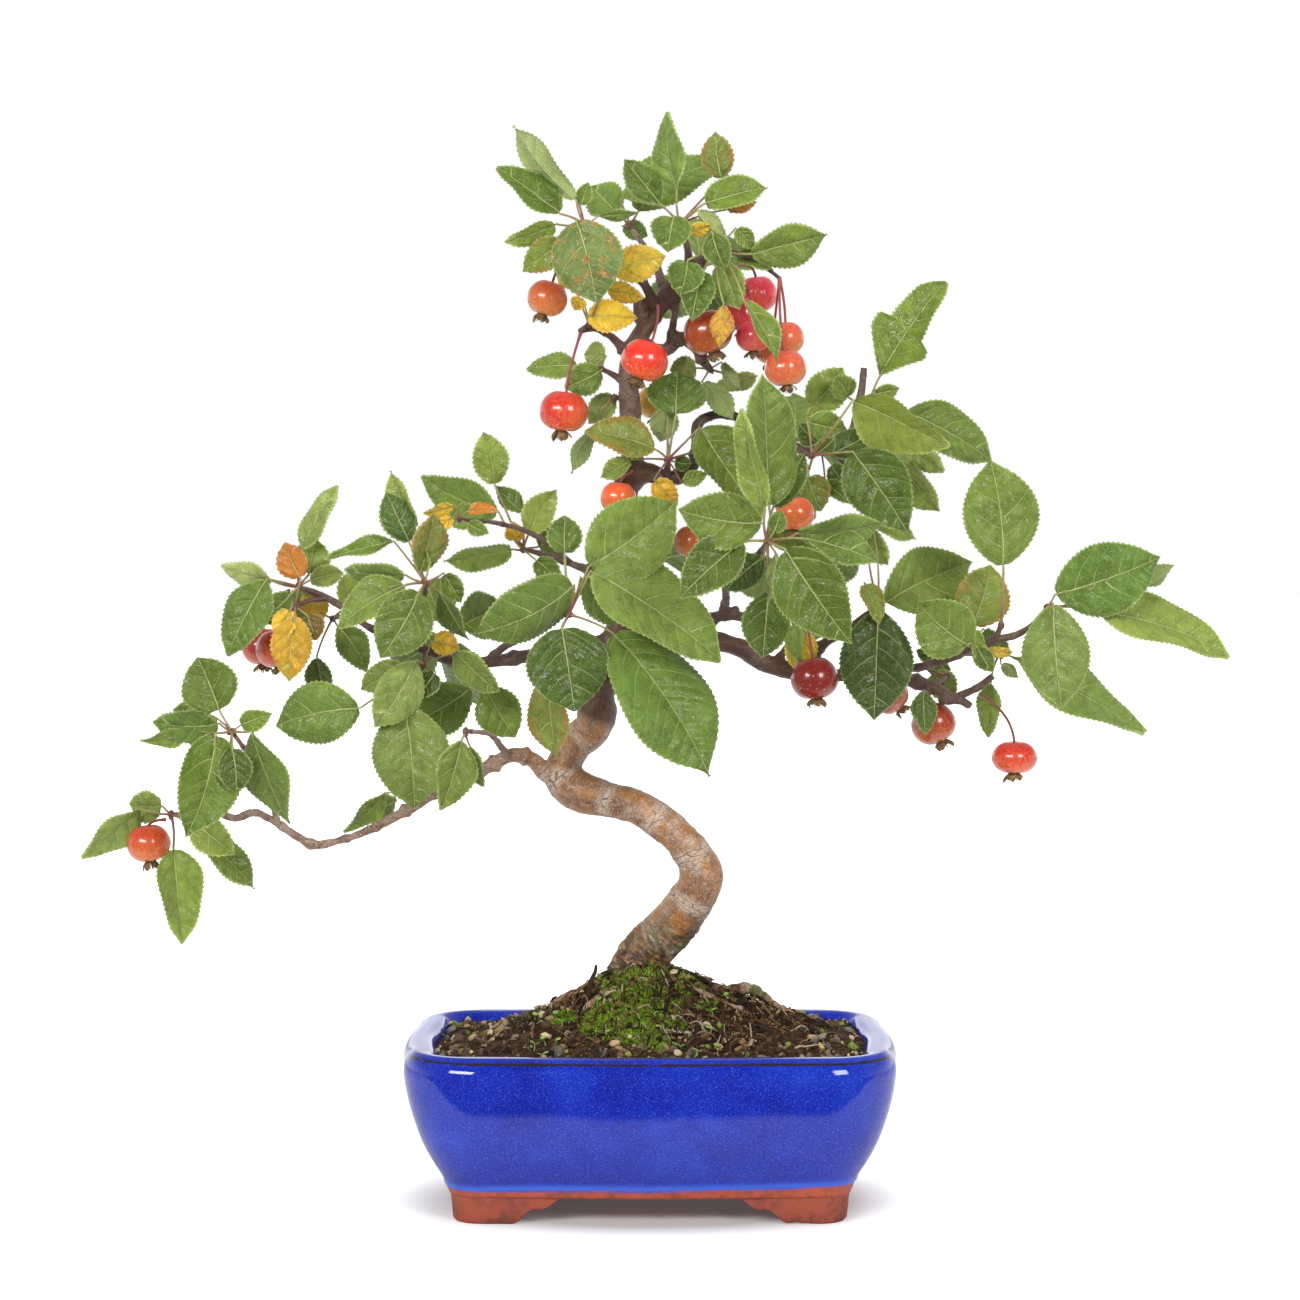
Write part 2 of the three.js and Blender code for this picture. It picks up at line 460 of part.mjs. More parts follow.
// ---- Leaves ----------------------------------------------------------------------------------
// A spray is a bud knob at spur [u, v, d] and its leaves. A leaf row is
// [base u, base v, tip u, tip v, width seen, base depth, tip depth, kind], with both depths
// measured from the spur. Kinds: g green, d dark, l light, p pale side out, y yellow, o orange,
// r red-edged, b bronze, t three-lobed.
const SPRAYS = [
  ["spray_far_left", [-242, 196, -10], "g", [
    [-258, 199, -287.5, 174, 15, 0, 8, "g"],
    [-246, 200, -263, 201, 16, 4, 12, "g"],
    [-241, 179, -237, 130, 20, -4, -10, "g"],
    [-231, 193, -209.5, 175.5, 18, -8, -15, "g"],
    [-229, 189, -200, 158, 14, 8, 14, "d"],
  ]],
  ["spray_left_high", [-211, 238, -35], "g", [
    [-217, 248, -228, 275.5, 28, 3, 8, "d"],
    [-207, 241, -190.5, 247, 11, -3, -8, "g"],
    [-217, 242, -251, 243, 18, 6, 12, "l"],
    [-221, 246, -241, 249, 10, 14, 17, "g"],
    [-219, 237, -235, 184, 30, -6, -12, "d"],
    [-211, 230, -209, 206, 17, -7, -10, "g"],
    [-214, 227, -222, 206, 11, 9, 13, "d"],
    [-201, 238, -182, 191, 22, -6, 0, "g"],
  ]],
  ["spray_left_tip", [-177, 311, 0], "g", [
    [-190, 314, -216, 322, 13, 4, 8, "p"],
    [-193, 315, -213, 276, 24, -4, -10, "g"],
    [-175, 329, -157, 362, 13, 4, 8, "g"],
    [-172, 317, -168, 335, 19, 8, 12, "g"],
    [-172, 314, -154, 318, 11, 4, 8, "g"],
    [-180, 308, -199, 292, 14, -6, -10, "g"],
    [-173, 309, -165, 294, 14, 6, 10, "l"],
  ]],
  ["spray_left_yellow", [-179, 301, -9], "y", [
    [-176, 315, -184, 333.5, 15, -2, -4, "o"],
    [-181, 300, -188, 282, 12, -4, -7, "y"],
    [-179, 297, -182, 263, 20, -6, -8, "y"],
    [-173, 297, -168, 284, 14, -2, -4, "o"],
  ]],
  ["spray_left_behind", [-160, 295, 22], "d", [
    [-158, 292, -143, 268, 15, 2, 6, "d"],
    [-168, 276, -160.5, 250, 14, 4, 8, "d"],
    [-166, 298, -186, 304, 18, 6, 20, "g"],
    [-154, 300, -142, 318, 18, 10, 28, "g"],
  ]],
  ["spray_left_middle", [-113, 313, -29], "g", [
    [-116, 309, -136, 275, 28, -6, -12, "g"],
    [-123, 312, -157, 290, 20, -2, -6, "g"],
    [-123, 317, -154, 320, 12.5, 4, 10, "g"],
    [-121, 333, -133, 359, 17, 6, 10, "d"],
    [-118, 340, -130.5, 369.5, 12, 12, 16, "g"],
    [-116, 318, -109, 349, 16, -4, -10, "r"],
    [-104, 318, -95, 303, 11, 8, 12, "d"],
    [-106, 309, -91, 284, 11, 4, 8, "d"],
  ]],
  ["spray_yellow_young", [-96, 345, -6], "y", [
    [-98, 352, -114, 348, 7, -2, -4, "y"],
    [-99, 346, -109, 339, 7, -3, -5, "y"],
    [-92, 349, -76, 349, 6, -2, -4, "o"],
    [-92, 343, -81, 338, 8, -3, -6, "l"],
  ]],
  ["spray_upper_left", [-64, 330, 31], "g", [
    [-76, 348.5, -115, 367, 24, -4, 4, "g"],
    [-78, 362, -84, 389, 18, 6, 12, "g"],
    [-61, 338, -47, 360, 16, -6, -10, "l"],
    [-68, 334, -69, 344, 10, -9, -12, "y"],
    [-69, 330, -104, 324, 13, -6, -6, "g"],
    [-57, 331, -36, 341, 15, 6, 12, "g"],
    [-58, 325, -45, 313, 12, -10, -12, "g"],
  ]],
  ["spray_middle_front", [-41, 297, -52], "g", [
    [-38, 312, -90, 287, 28, -6, -14, "p"],
    [-31, 321, 13, 354, 39, 4, 10, "g"],
    [-30, 319, 35.5, 273, 35, -2, -8, "g"],
    [-44.5, 291, -38, 248, 40, -8, -12, "d"],
    [-19, 288, 30, 215, 42, -6, -14, "g"],
    [-52, 266, -47, 224, 20, 8, 12, "r"],
    [-35, 316, -18, 290, 15, 8, 12, "d"],
    [-43, 327, -43, 347, 17, 12, 16, "d"],
  ]],
  ["spray_left_low", [-114, 272, -15], "g", [
    [-110, 284, -96, 280, 12, -4, -6, "y"],
    [-99, 279, -76, 258, 16, -3, -6, "d"],
    [-118, 274, -139, 240, 23, -8, -14, "l"],
    [-124, 272, -146, 259, 14, -2, 2, "g"],
    [-124, 252, -119, 199, 38, -5, -9, "g"],
    [-146, 250, -189, 241, 31, 0, 4, "g"],
  ]],
  ["spray_left_low_behind", [-86, 263, 6], "g", [
    [-90, 260, -127, 240, 26, 6, 14, "g"],
    [-83, 260, -68, 235, 23, 2, 0, "g"],
  ]],
  ["leaf_lowest_left", [-128, 208, 12], "g", [
    [-134, 207, -155, 187, 10, 2, 6, "d"],
    [-128, 203, -140, 196, 12, 10, 26, "g"],
  ]],
  ["spray_low_front", [-93, 238, -51], "g", [
    [-95, 234, -106, 198, 19, -2, -8, "g"],
    [-91, 231, -84, 210, 10, 4, 8, "d"],
  ]],
  ["spray_top_left", [-33, 493, -46], "g", [
    [-37, 505, -68.5, 542, 13, 2, 8, "p"],
    [-45, 498, -77, 521, 17, 0, 4, "d"],
    [-47, 493, -73, 484, 10, 6, 10, "l"],
    [-42, 484, -64, 469, 16, 2, 6, "b"],
    [-37, 495, -27, 453.5, 34, -6, -14, "d"],
  ]],
  ["spray_top_behind", [-10, 492, 35], "l", [
    [-15, 505, 39, 524, 26, 0, 8, "l"],
    [-14, 492, -1, 487, 10, 6, 8, "d"],
    [-16, 498, -30, 512, 20, 8, 26, "g"],
    [-6, 499, 4, 514, 20, 10, 34, "g"],
  ]],
  ["spray_crown_yellow", [-30.5, 443, -18], "y", [
    [-32, 447, -6, 446, 16, -4, -6, "y"],
    [-22, 461, -3, 456, 10, 2, 0, "y"],
    [-20, 469, 8, 477, 18, -18, -15, "y"],
    [-40, 476, -43, 460, 8, 2, 0, "y"],
  ]],
  ["spray_top", [15, 493, -5], "g", [
    [13.5, 510, 9, 549, 15, 0, 4, "g"],
    [5, 503, -13, 525, 17, 4, 8, "d"],
    [12, 497, 9, 479, 20, -8, -14, "d"],
    [24, 500, 39, 486, 10, -4, -8, "p"],
    [27, 503, 59, 511, 17, -2, 2, "g"],
    [36, 515, 33, 539, 16, 8, 12, "r"],
    [38, 500, 54, 504, 9, 5, 8, "b"],
  ]],
  ["spray_crown_right", [33, 480, -10], "g", [
    [31, 489, 38, 470, 14, -10, -13, "g"],
    [35, 475, 45, 450, 16, 3, -1, "g"],
    [19, 475, 15, 457, 18, -8, -12, "d"],
    [27, 470, 21, 444, 17, -6, -12, "d"],
    [43, 477, 62, 470, 10, 8, 10, "d"],
    [50, 478, 89, 488, 20, 0, 2, "g"],
    [47, 455, 64, 422, 11, -18, -22, "g"],
    [37, 453, 35, 431, 11, -16, -18, "o"],
  ]],
  ["spray_fruit_side", [30, 420.5, 11], "g", [
    [26, 414, 42, 395, 12, -4, -8, "p"],
    [36, 424, 46, 410, 7, -3, -6, "p"],
    [54, 417, 32, 412, 9, 6, 8, "g"],
    [24, 421, 10, 420, 13, 6, 10, "l"],
  ]],
  ["spray_trunk_left", [-24.5, 420.5, -4.8], "g", [
    [-24, 420, -43, 411, 16, -2, -4, "d"],
    [-36, 422, -62, 420, 13, 4, 8, "g"],
    [-22, 427, -33, 428, 13, 6, 10, "l"],
  ]],
  ["spray_trunk_low_left", [-18, 406, -3.4], "g", [
    [-18, 408, -31, 393, 13, 4, 8, "d"],
    [-27, 391, -39.5, 368, 9, 4, 6, "p"],
  ]],
  ["spray_middle", [9, 375, -15], "g", [
    [13, 397, 14, 419, 30, 2, 12, "d"],
    [3, 380, -33, 389, 19, -4, -8, "r"],
    [25, 391, 56, 344, 28, 0, -12, "g"],
    [22, 379, 48, 377, 21, 8, 12, "g"],
    [2, 365, 14, 352, 12, -5, -8, "y"],
    [-9, 375, -25, 366, 10, 0, 4, "g"],
    [9, 402, 5, 384, 14, 10, 16, "p"],
  ]],
  ["spray_right_front", [59, 334, -92], "g", [
    [57, 343, 14, 350, 27, -2, -6, "g"],
    [47, 334, 15, 305, 24, -4, -10, "d"],
    [58, 350, 46, 401, 13, -13, -17, "p"],
    [60, 351, 56, 418, 27, 1, 4, "g"],
    [62, 351, 78, 379, 16, 9, 13, "d"],
    [74, 338, 119, 344.5, 17, 7, 10, "g"],
    [79, 335, 117, 322, 15, -1, -6, "p"],
    [68, 330, 102, 282, 33, -9, -16, "g"],
    [57, 326, 38, 309, 17, 6, 10, "d"],
    [60, 309, 57, 275, 23, 6, 10, "g"],
    [64, 327, 67, 309, 10, 2, 4, "d"],
  ]],
  ["spray_right_high", [81.5, 377, -36], "g", [
    [102, 379, 130, 338, 32, -2, -8, "d"],
    [102, 405, 151, 382, 24, 0, -4, "g"],
    [90, 377, 116, 390, 14, 6, 10, "d"],
    [79, 394, 99, 390, 15, 8, 12, "g"],
    [84, 383, 75, 393, 12, 10, 12, "d"],
  ]],
  ["spray_right_top", [110, 402, 10], "g", [
    [115, 416, 149, 464, 30, 0, -2, "t"],
    [115, 392, 148, 369, 17, -8, -10, "l"],
    [128, 399, 171.5, 374, 26, 4, 10, "g"],
    [120, 381, 146, 349, 17, 0, 4, "g"],
    [100, 406, 93, 417, 13, 7, 1, "l"],
  ]],
  ["spray_right_behind", [84.5, 385, 16], "g", [
    [81, 401, 97, 421, 20, 4, 8, "g"],
    [91, 373, 101, 358, 12, -2, 0, "b"],
    [88, 364, 101, 353, 9, -6, -6, "d"],
    [79, 367, 86, 349, 18, -8, -10, "r"],
  ]],
  ["spray_right_middle", [115, 302, -19], "g", [
    [118, 303, 162, 323, 33, 6, 30, "g"],
    [115, 300, 113, 243.5, 36, -6, -13, "g"],
    [108, 313, 115.5, 292, 11, -8, -12, "b"],
    [109, 341, 120, 322, 11, 4, 4, "g"],
  ]],
  ["spray_right_low", [163, 285, -25], "g", [
    [161, 281, 135, 303, 30, -10, -14, "g"],
    [162, 291, 171, 322, 27, 4, 12, "r"],
    [165, 281, 173, 268, 10, -6, -8, "p"],
  ]],
  ["spray_right_low_behind", [176, 277, 3], "g", [
    [182, 276, 250, 237, 23, 2, 6, "g"],
    [172, 263, 171, 235, 11, 5, 8, "g"],
  ]],
  ["leaf_right_under", [140, 257, -1], "d", [
    [138, 259, 139, 236, 13, -6, -11, "d"],
  ]],
  ["spray_right_under_behind", [150, 266, 24], "g", [
    [142, 268, 153, 254, 15, 7, 9, "g"],
    [146, 274, 134, 279, 9, 6, 8, "d"],
  ]],
  ["spray_far_right", [200.5, 301, -31], "g", [
    [204, 307, 257, 326, 36, 0, 4, "g"],
    [203, 303, 208, 249, 33, -6, -12, "g"],
    [226, 298, 292, 275, 23, 6, 12, "g"],
    [248, 312, 264, 322, 9, 12, 16, "p"],
  ]],
  ["leaf_right_tall", [177, 291.5, -30], "g", [
    [178, 321, 171, 375, 37, -8, -4, "g"],
  ]],
  ["spray_middle_under", [78, 297.5, 1.5], "y", [
    [79, 289, 74, 268, 16, -3, -3, "y"],
    [74, 293, 76, 272, 9, -9, -9, "g"],
    [84, 298, 97, 288, 8, 5, 4, "d"],
  ]],
];

// Sprays at the back, each a fan of `count` leaves that lean away: [name, [u, v, d], count, seed].
const BACK_SPRAYS = [
  ["spray_back_middle", [0, 322.6, 60.5], 4, 3],
  ["spray_back_left", [-100, 288, 50.5], 4, 7],
  ["spray_back_right_low", [74, 320, 60], 4, 23],
  ["spray_back_right_high", [73, 381, 55.5], 4, 29],
  ["spray_back_crown", [25, 470.6, 50.5], 4, 37],
];

// A small repeatable draw in 0..1.
function draws(seed) {
  let state = seed * 7919 + 17;
  return () => {
    state = (state * 1103515245 + 12345) % 2147483648;
    return state / 2147483648;
  };
}

function fanRows([, [u, v], count, seed]) {
  const draw = draws(seed);
  return Array.from({ length: count }, (_, i) => {
    const turn = (2 * Math.PI * (i + 0.5 * draw())) / count;
    const out = 14 + 8 * draw();
    const length = 20 + 9 * draw();
    const baseU = u + 0.3 * out * Math.cos(turn);
    const baseV = v + 0.3 * out * Math.sin(turn);
    const tipU = baseU + length * Math.cos(turn);
    const tipV = baseV + length * Math.sin(turn) - 5;
    const lean = 30 + 20 * draw();
    return [baseU, baseV, tipU, tipV, 22 + 5 * draw(), 8, lean, i % 3 === 0 ? "d" : "g"];
  });
}

const LENGTH_SHARE = 0.6; // real width over real length, which sets how far a narrow view is rolled
const LEAST_SEEN = 0.72; // the share of its width that a rolled blade still shows
const FOLD = 0.2; // each half rises by this share of its width
const WIDE_LENGTH = 60; // blades longer than this have a midrib line of their own
const LONG_LENGTH = 50; // and longer than this, one more row of points
const BOWED_STEM = 24; // stems longer than this are bent once
const ARCH = 0.07; // the middle of the blade stands this share of its length off the chord

function sway(index) {
  return (index * 0.6180339887) % 1;
}

// Half the width of a blade, 0 at both ends, 1 at the widest.
function bladeProfile(s, kind) {
  const simple = Math.sin(Math.PI * Math.pow(s, 0.82));
  const lobes = kind === "t" ? 0.62 * Math.exp(-Math.pow((s - 0.26) / 0.1, 2)) - 0.1 : 0;
  return Math.max(0, simple + (simple > 0 ? lobes : 0));
}

// A leaf's own frame: its base, chord, the axis across it and the way its shown face looks.
function leafFrame([bu, bv, tu, tv, width, baseDepth, tipDepth, kind], depth, index) {
  const base = place(bu, bv, depth + baseDepth);
  const tip = place(tu, tv, depth + tipDepth);
  const chord = tip.clone().sub(base);
  const length = chord.length();
  const along = chord.clone().normalize();
  const toward = new THREE.Vector3(0, -1, 0);
  const facing = toward.addScaledVector(along, -toward.dot(along)).normalize();
  const seen = Math.min(1, Math.max(LEAST_SEEN, width / (LENGTH_SHARE * length)));
  const roll = Math.acos(seen) * (index % 2 === 0 ? 1 : -1);
  const side = along.clone().cross(facing);
  const across = side.clone().multiplyScalar(Math.cos(roll)).addScaledVector(facing, Math.sin(roll));
  const normal = facing.clone().multiplyScalar(Math.cos(roll)).addScaledVector(side, -Math.sin(roll));
  const half = width / 2 / Math.cos(roll);
  return { base, chord, length, across, normal, half, kind, phase: 6.28 * sway(index) };
}

// A point of the blade: s runs 0..1 from base to tip, t -1..1 from edge to edge.
function bladePoint(leaf, s, t) {
  const upper = leaf.kind === "p" ? -1 : 1;
  const reach = leaf.half * bladeProfile(s, leaf.kind) * t;
  const wave = 0.035 * leaf.length * Math.sin(9 * s + leaf.phase + 1.6 * t) * t * t;
  const rise = ARCH * leaf.length * 4 * s * (1 - s) + upper * (FOLD * Math.abs(reach) + wave);
  return leaf.base
    .clone()
    .addScaledVector(leaf.chord, s)
    .addScaledVector(leaf.across, reach)
    .addScaledVector(leaf.normal, rise);
}

// One thin closed leaf: a three-sided stem from the spur, then a blade with toothed, waved edges.
// Wide blades have a midrib line, slim ones only their two edges; both faces are split alike.
function leafSolid(spur, leaf) {
  const wide = leaf.length > WIDE_LENGTH;
  const stations = leaf.length > LONG_LENGTH ? [0.12, 0.34, 0.6, 0.84] : [0.16, 0.48, 0.8];
  const across = wide ? [1, 0, -1] : [1, -1];
  const shift = leaf.normal.clone().multiplyScalar(BLADE_THICKNESS / 2);
  const upper = (p) => p.clone().add(shift);
  const lower = (p) => p.clone().sub(shift);
  const points = stemRings(spur, leaf).flat();
  const bladeStart = points.length;
  stations.forEach((s, i) => {
    const tooth = i % 2 === 0 ? 1.04 : 0.96;
    const row = across.map((t) => bladePoint(leaf, s, tooth * t));
    points.push(...row.map(upper), ...row.map(lower).reverse());
  });
  const tip = bladePoint(leaf, 1, 0);
  points.push(upper(tip), lower(tip));
  const faces = [[0, 1, 2]];
  for (let r = 0; r + 3 < bladeStart; r += 3) {
    faces.push(...strip(r, r + 3, 3, 3));
  }
  const stem = bladeStart - 3;
  const count = across.length;
  const size = 2 * count;
  const rootFaces = wide
    ? [[0, 3, 4], [0, 4, 1], [1, 4, 5], [1, 5, 6], [1, 6, 2], [2, 6, 7], [2, 7, 8], [2, 8, 3], [2, 3, 0]]
    : [[0, 3, 4], [0, 4, 1], [1, 4, 5], [1, 5, 2], [2, 5, 6], [2, 6, 3], [2, 3, 0]];
  faces.push(...rootFaces.map((face) => face.map((i) => i + stem)));
  for (let i = 0; i + 1 < stations.length; i++) {
    faces.push(...strip(bladeStart + i * size, bladeStart + (i + 1) * size, size, count));
  }
  const end = bladeStart + (stations.length - 1) * size;
  const [tipUp, tipDown] = [end + size, end + size + 1];
  for (let i = 0; i + 1 < count; i++) {
    faces.push([end + i, tipUp, end + i + 1], [end + count + i, tipDown, end + count + i + 1]);
  }
  faces.push([end + count - 1, tipUp, tipDown], [end + count - 1, tipDown, end + count]);
  faces.push([end + size - 1, tipDown, tipUp], [end + size - 1, tipUp, end]);
  const geometry = new THREE.BufferGeometry();
  const flat = points.flatMap((p) => p.toArray());
  geometry.setAttribute("position", new THREE.Float32BufferAttribute(flat, 3));
  geometry.setIndex(faces.flat());
  return solid(geometry);
}

// The faces between two rings; past `turn` the diagonals swap, so that a blade's underside
// is split as its upper side is.
function strip(a, b, size, turn) {
  const faces = [];
  for (let k = 0; k < size; k++) {
    const next = (k + 1) % size;
    if (k < turn) {
      faces.push([a + k, b + k, b + next], [a + k, b + next, a + next]);
    } else {
      faces.push([a + k, b + k, a + next], [a + next, b + k, b + next]);
    }
  }
  return faces;
}

// Triangular rings of the leaf's stem: two at its ends, and one more where it is long or turns sharply.
function stemRings(spur, leaf) {
  const reach = leaf.base.clone().sub(spur);
  const along = leaf.chord.clone().normalize();
  const sharp = reach.angleTo(along) > 1.2;
  const shares = sharp || reach.length() > BOWED_STEM ? [0, 0.7, 1] : [0, 1];
  const stemTurn = new THREE.Quaternion().setFromUnitVectors(along, reach.clone().normalize());
  return shares.map((share) => {
    const turn = new THREE.Quaternion().slerp(stemTurn, Math.min(1, 2 * (1 - share)));
    const wide = leaf.across.clone().applyQuaternion(turn);
    const flat = leaf.normal.clone().applyQuaternion(turn);
    const centre = spur.clone().addScaledVector(reach, share);
    centre.addScaledVector(flat, 0.3 * reach.length() * share * (1 - share));
    return [[1, 0.5], [-1, 0.5], [0, -1]].map(([x, y]) =>
      centre
        .clone()
        .addScaledVector(wide, x * PETIOLE_RADIUS)
        .addScaledVector(flat, y * PETIOLE_RADIUS),
    );
  });
}

function makeSpray(spurRow, rows) {
  const spur = place(...spurRow);
  const knob = new THREE.OctahedronGeometry(BUD_RADIUS, 0);
  const parts = [solid(knob.translate(spur.x, spur.y, spur.z))];
  rows.forEach((row, index) => {
    const leaf = leafFrame(row, spurRow[2], index);
    parts.push(leafSolid(spur, leaf));
  });
  return fuse(parts, LEAF_SMOOTHING);
}

// ---- Fruits ----------------------------------------------------------------------------------
// A bunch is its stalks' root [u, v, d], its colour and its fruits. A fruit row is
// [centre u, v, d, diameter, height share, calyx u, calyx v].
const BUNCHES = [
  ["fruit_far_left", [-244.6, 193.4, -15], "#C4552A", [[-253.5, 181.5, -18, 22, 0.92, -252, 168]]],
  ["fruits_left", [-182, 309, 6], "#A8302E", [
    [-188, 280, 8, 22, 0.95, -186, 266],
    [-195, 281, 30, 22, 0.95, -195, 268],
  ]],
  ["fruit_top_left", [-39, 486, -44], "#C2673A", [[-51.5, 456, -34, 20, 0.95, -55, 445]]],
  ["fruit_left_of_trunk", [-34.6, 439, -17], "#D23C28", [[-43.3, 399.4, -20, 24.5, 0.9, -45, 386]]],
  ["fruit_middle", [4, 452, -6], "#DD3A22", [[-2.5, 425, -24, 23.5, 0.93, -7, 413]]],
  ["fruit_behind_trunk", [8, 424, 13], "#DA9A2C", [[2, 404, 21, 18, 1, 3, 394]]],
  ["fruit_crown_brown", [22, 455, -2], "#C86A2A", [[29, 439, -6, 25, 0.95, 33, 427]]],
  ["fruits_crown_red", [43, 471, 4], "#C8303C", [
    [46, 448, 8, 19, 0.95, 47, 438],
    [54, 458, 26, 20, 1, 55, 448],
    [52, 437, -9, 18, 0.95, 52, 427],
  ]],
  ["fruits_crown_right", [65, 466, 2], "#C84A3C", [
    [68, 436, 6, 19, 0.95, 68, 425],
    [61, 430, 24, 17, 0.95, 60, 421],
    [68, 421, -14, 21, 0.93, 69.5, 409],
  ]],
  ["fruit_behind_leaf", [-9, 369, -14], "#D8562A", [[-16, 356, -20, 18, 0.95, -17, 346]]],
  ["fruit_centre_right", [24, 352, -12], "#CE5A34", [[21, 334, -24, 18, 0.95, 21, 324]]],
  ["fruit_right_red", [80, 371, -41], "#D94A2C", [[73, 348, -48, 19, 0.95, 73, 338]]],
  ["fruit_dark", [79, 292, -4], "#8E1F1E", [[83, 265, -20, 24, 0.95, 84.5, 251]]],
  ["fruit_hidden_low", [118, 290, -14], "#C9585A", [[121, 256, -14, 19, 0.95, 127, 249]]],
  ["fruit_right_low", [148, 262, 18], "#CB4A44", [[143, 242, 12, 23, 0.95, 148.5, 230.5]]],
  ["fruit_far_right", [167, 256.5, -3], "#D23A2E", [[184, 225, 2, 23, 0.78, 184, 216]]],
];

// A globe that ends in the flared crown of the dried calyx, turned about its own axis.
function globeProfile(radius, height) {
  return [
    [0, 0.82 * height],
    [0.5 * radius, 0.9 * height],
    [0.96 * radius, 0.35 * height],
    [0.9 * radius, -0.45 * height],
    [0.36 * radius, -0.96 * height],
    [0.46 * radius, -1.22 * height],
    [0, -1.16 * height],
  ].map(([x, y]) => new THREE.Vector2(x, y));
}

function makeBunch(rootRow, rows) {
  const root = place(...rootRow);
  const knot = new THREE.OctahedronGeometry(2 * STALK_RADIUS, 0);
  const parts = rows.length > 1 ? [solid(knot.translate(root.x, root.y, root.z))] : [];
  for (const [u, v, d, diameter, share, calyxU, calyxV] of rows) {
    const centre = place(u, v, d);
    const up = centre.clone().sub(place(calyxU, calyxV, d)).normalize();
    const turn = new THREE.Quaternion().setFromUnitVectors(new THREE.Vector3(0, 1, 0), up);
    const radius = diameter / 2;
    const globe = new THREE.LatheGeometry(globeProfile(radius, radius * share).reverse(), FRUIT_SIDES);
    globe.applyQuaternion(turn).translate(centre.x, centre.y, centre.z);
    const foot = centre.clone().addScaledVector(up, 0.6 * radius * share);
    const bend = foot.clone().addScaledVector(up, 0.5 * root.distanceTo(foot));
    parts.push(solid(globe), stalk([foot, bend, root], STALK_RADIUS, 3, 3));
  }
  return fuse(parts, LEAF_SMOOTHING);
}

// ---- Assembly --------------------------------------------------------------------------------
const LEAF_COLOURS = {
  g: "#6F8F45",
  d: "#4E6E3A",
  l: "#93B356",
  y: "#EDB92B",
};

const bonsai = new THREE.Group();

function addPiece(name, manifold, color, roughness) {
  const material = new THREE.MeshStandardMaterial({ color, roughness, metalness: 0 });
  const mesh = new THREE.Mesh(geometryOf(manifold), material);
  mesh.name = name;
  bonsai.add(mesh);
}

addPiece("pot", makePot(), "#2440B8", 0.15);
addPiece("drain_screen_left", makeScreen(-1), "#2B2D2B", 0.6);
addPiece("drain_screen_right", makeScreen(1), "#2B2D2B", 0.6);
addPiece("soil", makeSoil(makeWood(GAP, true)), "#4A3A2A", 0.95);
addPiece("trunk", makeWood(), "#9A6B4A", 0.7);
SPRAYS.forEach(([name, spur, tone, rows]) => {
  addPiece(name, makeSpray(spur, rows), LEAF_COLOURS[tone], 0.5);
});
BACK_SPRAYS.forEach((fan) => {
  addPiece(fan[0], makeSpray(fan[1], fanRows(fan)), LEAF_COLOURS.g, 0.5);
});
BUNCHES.forEach(([name, root, colour, rows]) => {
  addPiece(name, makeBunch(root, rows), colour, 0.3);
});

export default bonsai;
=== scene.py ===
"""A fruiting crabapple bonsai in a glazed oblong pot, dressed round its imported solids.

The tree is laid out on an upright plane through the middle of the pot: u runs right, v runs up and
d is the depth behind that plane, in millimetres. The tables of leaves, fruits and limbs are on that
plane; toothed edges, veins, bark, grit, moss and colour are worked out here.
"""

import itertools
import logging
import math
from collections.abc import Sequence
from dataclasses import dataclass, field
from enum import Enum
from typing import Any, NamedTuple

import bmesh
import bpy
import numpy as np
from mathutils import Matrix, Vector


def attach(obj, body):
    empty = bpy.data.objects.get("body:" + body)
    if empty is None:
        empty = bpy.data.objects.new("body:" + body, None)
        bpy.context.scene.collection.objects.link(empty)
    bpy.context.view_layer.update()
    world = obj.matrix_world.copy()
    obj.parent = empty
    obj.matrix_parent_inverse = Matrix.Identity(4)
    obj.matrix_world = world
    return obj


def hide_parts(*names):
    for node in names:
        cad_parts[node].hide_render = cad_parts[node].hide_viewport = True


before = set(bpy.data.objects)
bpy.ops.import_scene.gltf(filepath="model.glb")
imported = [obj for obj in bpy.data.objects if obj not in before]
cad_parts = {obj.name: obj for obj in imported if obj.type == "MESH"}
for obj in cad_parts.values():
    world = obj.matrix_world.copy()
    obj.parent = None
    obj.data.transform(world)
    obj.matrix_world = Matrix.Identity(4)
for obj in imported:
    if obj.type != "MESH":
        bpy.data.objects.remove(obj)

LOG = logging.getLogger("bonsai")
MM = 0.001  # metres in a millimetre
SIGHT_DISTANCE = 1800.0  # mm from the plane to the eye that the elevation is seen from
SIGHT_HEIGHT = 366.8  # mm above the ground
SIGHT_TILT = 2.787  # degrees below level
LENS_LENGTH = 98.97  # mm, on a 36 mm square sensor

POT_HALF_X = 124.6
POT_HALF_Y = 90.0
POT_HEIGHT = 85.0
POT_BOW = 3.0
RIM_WIDTH = 15.5
OUTER_CORNER = 38.0
CORNER_TAPER = 0.9
INNER_CORNER = 15.0
APRON = 13.5
FOOT_LEAN = 2.8
FOOT_WALL = 13.0
PLINTH_INSET = 23.6
DRAIN_RADIUS = 10.0
DRAIN_X = 45.0
SOIL_LEVEL = 79.5
GAP = 0.35
BODY = "root"
RUN_OFFSET = 137.0  # mm between the bark patterns of two limbs

RGBA = {"data_type": "RGBA"}  # node settings that recur
TIMES = {"operation": "MULTIPLY"}
SMOOTH = {"interpolation_type": "SMOOTHSTEP"}


